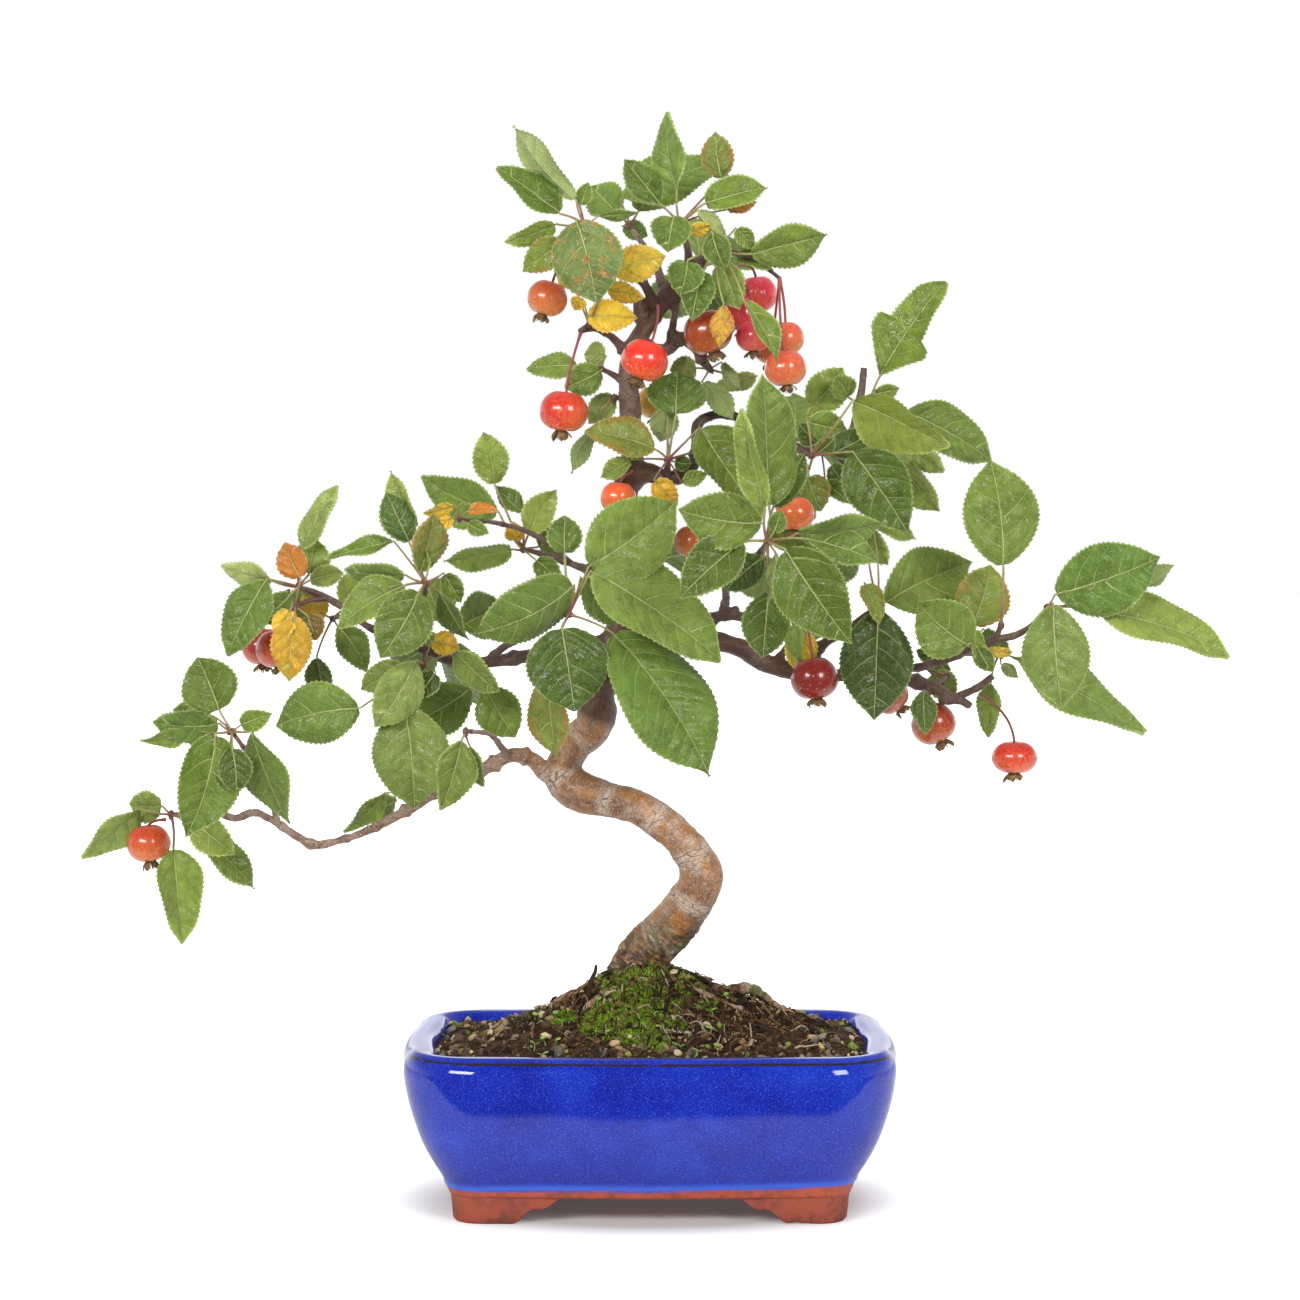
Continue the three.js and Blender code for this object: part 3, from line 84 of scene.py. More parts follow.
# ---- Numbers on grids --------------------------------------------------------------------------
def place(u: Any, v: Any, d: Any) -> np.ndarray:
    """Where the sight line through (u, v) on the upright plane is d deep.

    Args:
        u: mm to the right on the plane.
        v: mm up on the plane.
        d: mm behind the plane.

    Returns:
        Points (..., 3) in mm: both plane distances grow by 1 + d / sight distance.
    """
    u, v, d = np.broadcast_arrays(*(np.asarray(a, float) for a in (u, v, d)))
    scale = (SIGHT_DISTANCE + d) / SIGHT_DISTANCE
    return np.stack([u * scale, d, SIGHT_HEIGHT + (v - SIGHT_HEIGHT) * scale], -1)


def unit(vectors: np.ndarray) -> np.ndarray:
    """The same directions (..., 3) with length one."""
    return vectors / np.maximum(np.linalg.norm(vectors, axis=-1, keepdims=True), 1e-9)


def ease(value: np.ndarray, low: float, high: float) -> np.ndarray:
    """0 below low, 1 above high, and 3w^2 - 2w^3 between them; low may be the larger one."""
    w = np.clip((value - low) / (high - low), 0.0, 1.0)
    return w * w * (3.0 - 2.0 * w)


def hump(value: np.ndarray, middle: float, width: float) -> np.ndarray:
    """A bell of height one: e to minus the square of the distance over the width."""
    return np.exp(-(((value - middle) / width) ** 2))


def rumple(points: np.ndarray, size: float, seed: int = 0) -> np.ndarray:
    """Smooth noise whose lumps are about `size` wide.

    Each corner of the cell round a point holds a fixed number, the fraction of a large sine, and the
    eight are blended by 3w^2 - 2w^3 along each axis.

    Args:
        points: (n, 3) places.
        size: cell width in the same units.
        seed: picks another pattern.

    Returns:
        n numbers from -1 to 1.
    """
    cell = np.floor(points / size)
    w = points / size - cell
    w = w * w * (3.0 - 2.0 * w)
    total = np.zeros(len(points))
    for corner in itertools.product((0, 1), repeat=3):
        share = np.prod(np.where(np.array(corner, bool), w, 1.0 - w), axis=-1)
        mixed = np.sin((cell + corner) @ np.array([12.9898, 78.233, 37.719]) + seed * 17.17)
        total += share * np.modf(np.abs(mixed * 43758.5453))[0]
    return 2.0 * total - 1.0


def lengths(path: np.ndarray) -> np.ndarray:
    """How far along a path (n, 3) each of its points is."""
    return np.concatenate([[0.0], np.cumsum(np.linalg.norm(np.diff(path, axis=0), axis=1))])


def flowing(rows: np.ndarray, step: float) -> np.ndarray:
    """A smooth line through rows, sampled about every `step` mm.

    Each stretch is the cubic 2w^3 - 3w^2 blend of its ends and their slopes, and a slope is the mean
    of the two stretches that meet there, the shorter one counting more.

    Args:
        rows: (n, k) rows whose first three columns are a place in mm; the others ride along.
        step: spacing in mm.

    Returns:
        (m, k) samples.
    """
    spans = np.linalg.norm(np.diff(rows[:, :3], axis=0), axis=1)
    knots = lengths(rows[:, :3])
    slopes = np.diff(rows, axis=0) / spans[:, None]
    ends = np.vstack([slopes[:1], slopes, slopes[-1:]])
    weights = np.concatenate([[1.0], spans, [1.0]])[:, None]
    turns = (ends[:-1] * weights[1:] + ends[1:] * weights[:-1]) / (weights[1:] + weights[:-1])
    along = np.linspace(0.0, knots[-1], max(2, round(knots[-1] / step) + 1))
    i = np.clip(np.searchsorted(knots, along, side="right") - 1, 0, len(spans) - 1)
    w = ((along - knots[i]) / spans[i])[:, None]
    span = spans[i][:, None]
    start = (2 * w**3 - 3 * w**2 + 1) * rows[i] + (w**3 - 2 * w**2 + w) * span * turns[i]
    return start + (3 * w**2 - 2 * w**3) * rows[i + 1] + (w**3 - w**2) * span * turns[i + 1]


# ---- Meshes --------------------------------------------------------------------------------------
@dataclass
class Shell:
    """Closed surface patches.

    Attributes:
        points: (n, 3) places in mm.
        quads: (q, 4) point numbers, seen anticlockwise from outside.
        tris: (t, 3) point numbers, likewise.
        values: numbers (n,) or triples (n, 3) carried by the points, by name.
        slots: the material number of each face, quads first.
    """

    points: np.ndarray
    quads: np.ndarray = field(default_factory=lambda: np.zeros((0, 4), int))
    tris: np.ndarray = field(default_factory=lambda: np.zeros((0, 3), int))
    values: dict[str, np.ndarray] = field(default_factory=dict)
    slots: np.ndarray | None = None

    def painted(self, slot: int) -> "Shell":
        """This shell with every face given material number `slot`."""
        self.slots = np.full(len(self.quads) + len(self.tris), slot)
        return self

    def dye(self, colour: np.ndarray) -> None:
        """Gives every point this linear colour, or each its own, as its "tint"."""
        self.values["tint"] = np.ones((len(self.points), 1)) * colour

    def triangles(self) -> int:
        """How many triangles it draws as."""
        return 2 * len(self.quads) + len(self.tris)


def joined(shells: Sequence[Shell]) -> Shell:
    """All the shells as one; a value that one of them lacks is zero there."""
    starts = np.concatenate([[0], np.cumsum([len(s.points) for s in shells])])[:-1]
    shapes = {name: value.shape[1:] for s in shells for name, value in s.values.items()}
    values = {
        name: np.concatenate([s.values.get(name, np.zeros((len(s.points), *tail))) for s in shells])
        for name, tail in shapes.items()
    }
    slots = [np.zeros(len(s.quads) + len(s.tris), int) if s.slots is None else s.slots for s in shells]
    quad_slots = [part[: len(s.quads)] for part, s in zip(slots, shells)]
    tri_slots = [part[len(s.quads) :] for part, s in zip(slots, shells)]
    return Shell(
        np.concatenate([s.points for s in shells]),
        np.concatenate([s.quads + start for s, start in zip(shells, starts)]),
        np.concatenate([s.tris + start for s, start in zip(shells, starts)]),
        values,
        np.concatenate(quad_slots + tri_slots),
    )


def strips(rows: int, columns: int, wrap: bool, loop: bool = False) -> np.ndarray:
    """The quads of a grid of points numbered row by row; `wrap` joins its last column to its first and
    `loop` its last row to its first."""
    numbers = np.arange(rows * columns).reshape(rows, columns)
    if loop:
        numbers = np.vstack([numbers, numbers[:1]])
    after = np.roll(numbers, -1, axis=1) if wrap else numbers[:, 1:]
    before = numbers if wrap else numbers[:, :-1]
    return np.stack([before[:-1], after[:-1], after[1:], before[1:]], -1).reshape(-1, 4)


def ring_solid(rings: np.ndarray, values: dict[str, np.ndarray] | None = None) -> Shell:
    """A solid skinned over rings (rows, columns, 3) that run anticlockwise seen from its far end.

    Args:
        rings: the rings from the near end to the far one, each closed by a fan to its middle.
        values: arrays (rows, columns) or (rows, columns, 3) by name; a fan's middle takes the mean.

    Returns:
        The closed shell.
    """
    rows, columns = rings.shape[:2]
    ends = np.stack([rings[0].mean(0), rings[-1].mean(0)])
    ring = np.arange(columns)
    after = np.roll(ring, -1)
    last = (rows - 1) * columns
    near = np.stack([np.full(columns, rows * columns), after, ring], -1)
    far = np.stack([np.full(columns, rows * columns + 1), last + ring, last + after], -1)
    carried = {}
    for name, value in (values or {}).items():
        flat = value.reshape(rows * columns, *value.shape[2:])
        carried[name] = np.concatenate([flat, [value[0].mean(0)], [value[-1].mean(0)]])
    points = np.concatenate([rings.reshape(-1, 3), ends])
    return Shell(points, strips(rows, columns, True), np.concatenate([near, far]), carried)


def tube(path: np.ndarray, radii: Any, sides: int, flatten: float = 1.0) -> Shell:
    """A closed tube along a path.

    Each ring is the circle radius * (cos a, sin a) on two directions square to the path; the first is
    the fixed axis that the path leans along least, less its part along the path.

    Args:
        path: (n, 3) places in mm.
        radii: one radius or n of them.
        sides: points round each ring.
        flatten: how much the second direction is squeezed.

    Returns:
        The shell, with "limb" (cos a, sin a times the radius, then mm along) for patterns.
    """
    radii = np.broadcast_to(np.asarray(radii, float), (len(path),))
    tangents = unit(np.gradient(path, axis=0))
    axis = np.eye(3)[np.argmin(np.abs(tangents).mean(0))]
    first = unit(axis - (tangents @ axis)[:, None] * tangents)
    second = np.cross(tangents, first)
    angle = np.linspace(0.0, 2.0 * math.pi, sides, endpoint=False)
    cosines = np.cos(angle)[None, :, None] * radii[:, None, None]
    sines = np.sin(angle)[None, :, None] * radii[:, None, None]
    rings = path[:, None] + cosines * first[:, None] + flatten * sines * second[:, None]
    along = lengths(path)[:, None, None]
    limb = np.concatenate([cosines, sines, np.broadcast_to(along, cosines.shape)], -1)
    return ring_solid(rings, {"limb": limb})


def scattered(pattern: Shell, places: np.ndarray, sizes: np.ndarray, turns: np.ndarray) -> Shell:
    """One small shape set down many times.

    Args:
        pattern: the shape, made of triangles.
        places: (n, 3) where each goes.
        sizes: (n, 3) its stretch along its own axes.
        turns: (n, 3, 3) its rotation; columns are its own axes.

    Returns:
        All the copies as one shell: turn * (size * point) + place.
    """
    shaped = pattern.points[None] * sizes[:, None]
    points = np.einsum("nij,npj->npi", turns, shaped) + places[:, None]
    starts = np.arange(len(places))[:, None, None] * len(pattern.points)
    return Shell(points.reshape(-1, 3), tris=(pattern.tris[None] + starts).reshape(-1, 3))


def standing(directions: np.ndarray, spins: np.ndarray) -> np.ndarray:
    """Rotations (n, 3, 3) that stand each shape's own Z along a direction and spin it about that."""
    up = unit(directions)
    helper = np.where(np.abs(up[:, :1]) < 0.7, [[1.0, 0.0, 0.0]], [[0.0, 1.0, 0.0]])
    side = unit(np.cross(helper, up))
    other = np.cross(up, side)
    c = np.cos(spins)[:, None]
    s = np.sin(spins)[:, None]
    return np.stack([c * side + s * other, c * other - s * side, up], -1)


def ball(subdivisions: int) -> Shell:
    """A ball of radius one, from an icosahedron split `subdivisions` - 1 times."""
    work = bmesh.new()
    bmesh.ops.create_icosphere(work, subdivisions=subdivisions, radius=1.0)
    points = np.array([v.co for v in work.verts])
    tris = np.array([[v.index for v in f.verts] for f in work.faces])
    work.free()
    return Shell(points, tris=tris)


def spike() -> Shell:
    """A three-sided spike one high on a foot of radius one."""
    angle = np.arange(3) * 2.0 * math.pi / 3.0
    foot = np.stack([np.cos(angle), np.sin(angle), np.zeros(3)], -1)
    tris = np.array([[0, 2, 1], [0, 1, 3], [1, 2, 3], [2, 0, 3]])
    return Shell(np.vstack([foot, [[0.0, 0.0, 1.0]]]), tris=tris)


def raw_mesh(name: str, shell: Shell) -> bpy.types.Mesh:
    """A Blender mesh, in metres, with the shell's faces and nothing else."""
    mesh = bpy.data.meshes.new(name)
    mesh.vertices.add(len(shell.points))
    mesh.vertices.foreach_set("co", (shell.points * MM).astype(np.float32).ravel())
    corners = np.concatenate([shell.quads.ravel(), shell.tris.ravel()]).astype(np.int32)
    mesh.loops.add(len(corners))
    mesh.loops.foreach_set("vertex_index", corners)
    quad_starts = 4 * np.arange(len(shell.quads))
    tri_starts = 4 * len(shell.quads) + 3 * np.arange(len(shell.tris))
    mesh.polygons.add(len(quad_starts) + len(tri_starts))
    mesh.polygons.foreach_set("loop_start", np.concatenate([quad_starts, tri_starts]).astype(np.int32))
    mesh.update(calc_edges=True)
    return mesh


def finished_piece(
    name: str,
    shell: Shell,
    materials: Sequence[bpy.types.Material],
    stands_for: Sequence[str] = (),
    crease: float = 50.0,
) -> bpy.types.Object:
    """Makes an object of a shell, gives it its finishes and fixes it to the frame.

    Args:
        name: the piece's name.
        shell: its surface.
        materials: the finishes that the shell's slots number.
        stands_for: the solids that it replaces.
        crease: edges sharper than this many degrees stay sharp.

    Returns:
        The new object.
    """
    mesh = raw_mesh(name, shell)
    for key, value in shell.values.items():
        flat = value.ndim == 1
        attribute = mesh.attributes.new(key, "FLOAT" if flat else "FLOAT_VECTOR", "POINT")
        attribute.data.foreach_set("value" if flat else "vector", value.astype(np.float32).ravel())
    for material in materials:
        mesh.materials.append(material)
    if shell.slots is not None:
        mesh.polygons.foreach_set("material_index", shell.slots.astype(np.int32))
    mesh.polygons.foreach_set("use_smooth", np.ones(len(mesh.polygons), bool))
    mesh.set_sharp_from_angle(angle=math.radians(crease))
    mesh.update()
    piece = bpy.data.objects.new(name, mesh)
    bpy.context.scene.collection.objects.link(piece)
    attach(piece, BODY)
    if stands_for:
        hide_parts(*stands_for)
    LOG.info("%s: %d triangles", name, shell.triangles())
    return piece


# ---- Finishes ------------------------------------------------------------------------------------
def linear(code: str) -> tuple[float, float, float, float]:
    """An sRGB hex colour as linear red, green, blue and one."""
    parts = [int(code[i : i + 2], 16) / 255.0 for i in (1, 3, 5)]
    light = [p / 12.92 if p <= 0.04045 else ((p + 0.055) / 1.055) ** 2.4 for p in parts]
    return (*light, 1.0)


def rgb(code: str) -> np.ndarray:
    """An sRGB hex colour as linear red, green and blue."""
    return np.array(linear(code)[:3])


def add(
    tree: bpy.types.NodeTree,
    kind: str,
    settings: dict[str, Any] | None = None,
    inputs: dict[int | str, Any] | None = None,
    output: int | str = 0,
) -> bpy.types.NodeSocket:
    """Adds one node to a material, with its settings and links.

    Args:
        tree: the material's nodes.
        kind: the node's type without its ShaderNode prefix.
        settings: its properties; "stops" is a colour ramp's list of (position, hex colour).
        inputs: by input name or number, a value, a hex colour, or the socket to link from; "mm" is a
            pattern's size, which gives its scale.
        output: the output to hand back.

    Returns:
        That output socket.
    """
    node = tree.nodes.new("ShaderNode" + kind)
    for key, value in (settings or {}).items():
        if key != "stops":
            setattr(node, key, value)
            continue
        for i, (position, code) in enumerate(value):
            stop = node.color_ramp.elements[i] if i < 2 else node.color_ramp.elements.new(position)
            stop.position = position
            stop.color = linear(code)
    for key, value in (inputs or {}).items():
        if key == "mm":
            node.inputs["Scale"].default_value = 1.0 / (value * MM)
        elif isinstance(value, bpy.types.NodeSocket):
            tree.links.new(value, node.inputs[key])
        else:
            node.inputs[key].default_value = linear(value) if isinstance(value, str) else value
    return node.outputs[output]


def new_tree(name: str) -> tuple[bpy.types.Material, bpy.types.NodeTree]:
    """An empty material and its nodes."""
    material = bpy.data.materials.new(name)
    material.use_nodes = True
    material.node_tree.nodes.clear()
    return material, material.node_tree


def surfaced(tree: bpy.types.NodeTree, inputs: dict[str, Any]) -> None:
    """Ends a material in a Principled surface with these inputs."""
    shader = add(tree, "BsdfPrincipled", inputs=inputs)
    end = tree.nodes.new("ShaderNodeOutputMaterial")
    tree.links.new(shader, end.inputs["Surface"])


@dataclass(frozen=True)
class CobaltGlaze:
    """Alkaline cobalt glaze fired on red stoneware: deep glassy blue, finely speckled, lighter where it
    has run thick and dark brown where it has drawn thin over a sharp edge; bare clay shows below it.

    Reads the values "bare", "thin" and "pool" (0 to 1) of the pot's points.
    """

    deep: str = "#0E1674"
    body: str = "#122594"
    light: str = "#1F41B4"
    fleck: str = "#4463C8"
    pool: str = "#2C58C0"
    thin: str = "#241C26"
    clay: str = "#A8492C"
    clay_dark: str = "#6E3324"
    speck_mm: float = 0.8
    cloud_mm: float = 32.0

    def material(self) -> bpy.types.Material:
        """The finish as a material."""
        material, tree = new_tree("cobalt_glaze_on_stoneware")
        where = add(tree, "TexCoord", output="Object")
        names = ("bare", "thin", "pool")
        bare, thin, pool = (add(tree, "Attribute", {"attribute_name": n}, output="Fac") for n in names)
        cloud = add(
            tree,
            "TexNoise",
            inputs={"Vector": where, "mm": self.cloud_mm, "Detail": 4, "Roughness": 0.6},
        )
        base = add(
            tree,
            "ValToRGB",
            {"stops": [(0.2, self.deep), (0.88, self.light), (0.52, self.body)]},
            {"Fac": cloud},
        )
        speck = add(
            tree,
            "TexNoise",
            inputs={"Vector": where, "mm": self.speck_mm, "Detail": 2, "Roughness": 0.7},
        )
        pale = add(tree, "MapRange", inputs={"Value": speck, 1: 0.54, 2: 0.7, 4: 0.5})
        dark = add(tree, "MapRange", inputs={"Value": speck, 1: 0.47, 2: 0.33, 4: 0.75})
        ragged = add(tree, "TexNoise", inputs={"Vector": where, "mm": 6.0, "Detail": 5, "Roughness": 0.7})
        worn = add(tree, "Math", TIMES, {0: thin, 1: ragged})
        worn = add(tree, "MapRange", inputs={"Value": worn, 1: 0.2, 2: 0.36})
        fired = add(tree, "ValToRGB", {"stops": [(0.3, self.clay_dark), (0.55, self.clay)]}, {"Fac": ragged})
        layers = ((pale, self.fleck), (dark, self.deep), (pool, self.pool), (worn, self.thin), (bare, fired))
        for share, colour in layers:
            base = add(tree, "Mix", RGBA, {0: share, 6: base, 7: colour}, 2)
        rough = add(tree, "MapRange", inputs={"Value": bare, 3: 0.07, 4: 0.62})
        grain = add(tree, "MapRange", inputs={"Value": bare, 3: 0.03, 4: 0.25})
        bump = add(tree, "Bump", inputs={"Strength": grain, "Distance": 0.4 * MM, "Height": speck})
        surfaced(tree, {"Base Color": base, "Roughness": rough, "Normal": bump, "IOR": 1.52})
        return material


@dataclass(frozen=True)
class RedStoneware:
    """Unglazed fired clay of the feet: matt, orange red, fine sandy grain, sooty and rubbed in places."""

    clay: str = "#92412A"
    dark: str = "#643022"
    grain_mm: float = 0.7

    def material(self) -> bpy.types.Material:
        """The finish as a material; "broken" (0 to 1) roughens and darkens chipped clay."""
        material, tree = new_tree("fired_red_stoneware")
        where = add(tree, "TexCoord", output="Object")
        broken = add(tree, "Attribute", {"attribute_name": "broken"}, output="Fac")
        stain = add(tree, "TexNoise", inputs={"Vector": where, "mm": 11, "Detail": 5, "Roughness": 0.65})
        base = add(tree, "ValToRGB", {"stops": [(0.34, self.dark), (0.52, self.clay)]}, {"Fac": stain})
        grain = add(
            tree,
            "TexNoise",
            inputs={"Vector": where, "mm": self.grain_mm, "Detail": 3, "Roughness": 0.7},
        )
        soot = add(tree, "Math", TIMES, {0: broken, 1: 0.85})
        base = add(tree, "Mix", RGBA, {0: soot, 6: base, 7: self.dark}, 2)
        bump = add(tree, "Bump", inputs={"Strength": 0.3, "Distance": 0.3 * MM, "Height": grain})
        surfaced(tree, {"Base Color": base, "Roughness": 0.68, "Normal": bump, "IOR": 1.5})
        return material


@dataclass(frozen=True)
class AppleBark:
    """Smooth young apple bark: glossy amber windows between cracked grey bands that ring the limb every
    26 mm or so, pale corky dots, fine cross wrinkles, and furrows with green dust near the ground.

    Reads "limb" (a place in mm on the unrolled limb), "age" (0 trunk to 1 twig), "foot" (1 at ground)
    and "dusk" (1 where the bark is darker: partly its own purple brown, partly painted shade under leaves).
    """

    amber: str = "#9E6620"
    tan: str = "#8A6240"
    brown: str = "#66422E"
    skin: str = "#BCA998"
    cork: str = "#D0C2AE"
    twig: str = "#644A3B"
    twig_pale: str = "#A08674"
    # dark purple brown of the higher bark, partly its own and partly painted shade under the leaves
    dusk: str = "#402A28"
    furrow: str = "#2A2018"
    dust: str = "#5A6030"
    band_mm: float = 26.0
    patch_mm: float = 9.0

    def material(self) -> bpy.types.Material:
        """The finish as a material."""
        material, tree = new_tree("young_apple_bark")
        where = add(tree, "TexCoord", output="Object")
        limb = add(tree, "Attribute", {"attribute_name": "limb"}, output="Vector")
        names = ("age", "foot", "dusk")
        age, foot, dusk = (add(tree, "Attribute", {"attribute_name": n}, output="Fac") for n in names)
        patch = add(
            tree,
            "TexNoise",
            inputs={"Vector": where, "mm": self.patch_mm, "Detail": 6, "Roughness": 0.65},
        )
        fleck = add(tree, "TexNoise", inputs={"Vector": where, "mm": 1.1, "Detail": 5, "Roughness": 0.8})
        # windows drawn out along the limb
        drawn = add(tree, "Mapping", inputs={"Vector": limb, "Scale": (0.12, 0.12, 0.05)})
        window = add(tree, "TexNoise", inputs={"Vector": drawn, "Scale": 1, "Detail": 4, "Roughness": 0.6})
        base = add(
            tree,
            "ValToRGB",
            {"stops": [(0.36, self.brown), (0.64, self.amber), (0.5, self.tan)]},
            {"Fac": window},
        )
        # grey bands: the distance along, shaken by noise, folded to 0 .. 0.5 of a band
        along = add(tree, "SeparateXYZ", inputs={0: limb})
        shaken = add(
            tree, "Math", {"operation": "MULTIPLY_ADD"}, {0: patch, 1: 16.0, 2: along.node.outputs["Z"]}
        )
        turns = add(tree, "Math", {"operation": "DIVIDE"}, {0: shaken, 1: self.band_mm})
        folded = add(tree, "Math", {"operation": "PINGPONG"}, {0: turns, 1: 0.5})
        band = add(tree, "MapRange", inputs={"Value": folded, 1: 0.2, 2: 0.07})
        grey = add(tree, "MapRange", inputs={"Value": patch, 1: 0.5, 2: 0.66, 4: 0.8})
        band = add(tree, "Math", {"operation": "MAXIMUM"}, {0: band, 1: grey})
        broken = add(tree, "MapRange", inputs={"Value": fleck, 1: 0.36, 2: 0.56, 3: 0.15})
        band = add(tree, "Math", TIMES, {0: band, 1: broken})
        band = add(tree, "Math", TIMES, {0: band, 1: 0.92})
        young = add(tree, "ValToRGB", {"stops": [(0.4, self.twig), (0.66, self.twig_pale)]}, {"Fac": patch})
        # corky dots
        dots = add(tree, "TexVoronoi", inputs={"Vector": where, "mm": 2.3, "Randomness": 1.0})
        cork = add(tree, "MapRange", inputs={"Value": dots, 1: 0.2, 2: 0.1, 4: 0.7})
        frost = add(tree, "MapRange", inputs={"Value": fleck, 1: 0.5, 2: 0.64, 4: 0.5})
        # cracks round the limb in the grey skin
        ringed = add(tree, "Mapping", inputs={"Vector": limb, "Scale": (0.09, 0.09, 0.42)})
        crack = add(tree, "TexVoronoi", {"feature": "DISTANCE_TO_EDGE"}, {"Vector": ringed, "Scale": 1.0})
        crack = add(tree, "MapRange", inputs={"Value": crack, 1: 0.06, 2: 0.01})
        crack = add(tree, "Math", TIMES, {0: crack, 1: band})
        # wrinkles round the limb
        tight = add(tree, "Mapping", inputs={"Vector": limb, "Scale": (0.06, 0.06, 0.85)})
        wrinkle = add(tree, "TexNoise", inputs={"Vector": tight, "Scale": 1, "Detail": 6, "Roughness": 0.75})
        lines = add(tree, "MapRange", inputs={"Value": wrinkle, 1: 0.42, 2: 0.32, 4: 0.6})
        speckled = add(tree, "MapRange", inputs={"Value": fleck, 1: 0.42, 2: 0.3, 4: 0.6})
        # painted shade: bark under the leaves is darkened towards purple brown, partly its own colour too
        darker = add(tree, "Math", TIMES, {0: dusk, 1: 0.9})
        # furrows near the ground
        ridged = add(tree, "Mapping", inputs={"Vector": limb, "Scale": (0.16, 0.16, 0.42)})
        furrow = add(tree, "TexNoise", inputs={"Vector": ridged, "Scale": 1, "Detail": 6, "Roughness": 0.7})
        cracked = add(tree, "MapRange", inputs={"Value": furrow, 1: 0.56, 2: 0.44, 4: 0.95})
        cracked = add(tree, "Math", TIMES, {0: cracked, 1: foot})
        dusted = add(tree, "MapRange", inputs={"Value": patch, 1: 0.46, 2: 0.6, 4: 0.75})
        dusted = add(tree, "Math", TIMES, {0: dusted, 1: foot})
        layers = (
            (band, self.skin), (age, young), (cork, self.cork), (frost, self.skin), (crack, self.furrow),
            (lines, self.furrow), (speckled, self.brown), (darker, self.dusk), (cracked, self.furrow),
            (dusted, self.dust),
        )
        for share, colour in layers:
            base = add(tree, "Mix", RGBA, {0: share, 6: base, 7: colour}, 2)
        height = add(tree, "Math", {"operation": "ADD"}, {0: fleck, 1: wrinkle})
        height = add(tree, "Math", {"operation": "ADD"}, {0: height, 1: cork})
        height = add(tree, "Math", {"operation": "SUBTRACT"}, {0: height, 1: crack})
        bump = add(tree, "Bump", inputs={"Strength": 0.5, "Distance": 0.5 * MM, "Height": height})
        sunk = {"Strength": 0.6, "Distance": 0.8 * MM, "Height": cracked, "Normal": bump}
        deeper = add(tree, "Bump", {"invert": True}, sunk)
        gloss = add(tree, "MapRange", inputs={"Value": band, 1: 0.0, 2: 0.8, 3: 0.3, 4: 0.62})
        surfaced(tree, {"Base Color": base, "Roughness": gloss, "Normal": deeper, "IOR": 1.45})
        return material


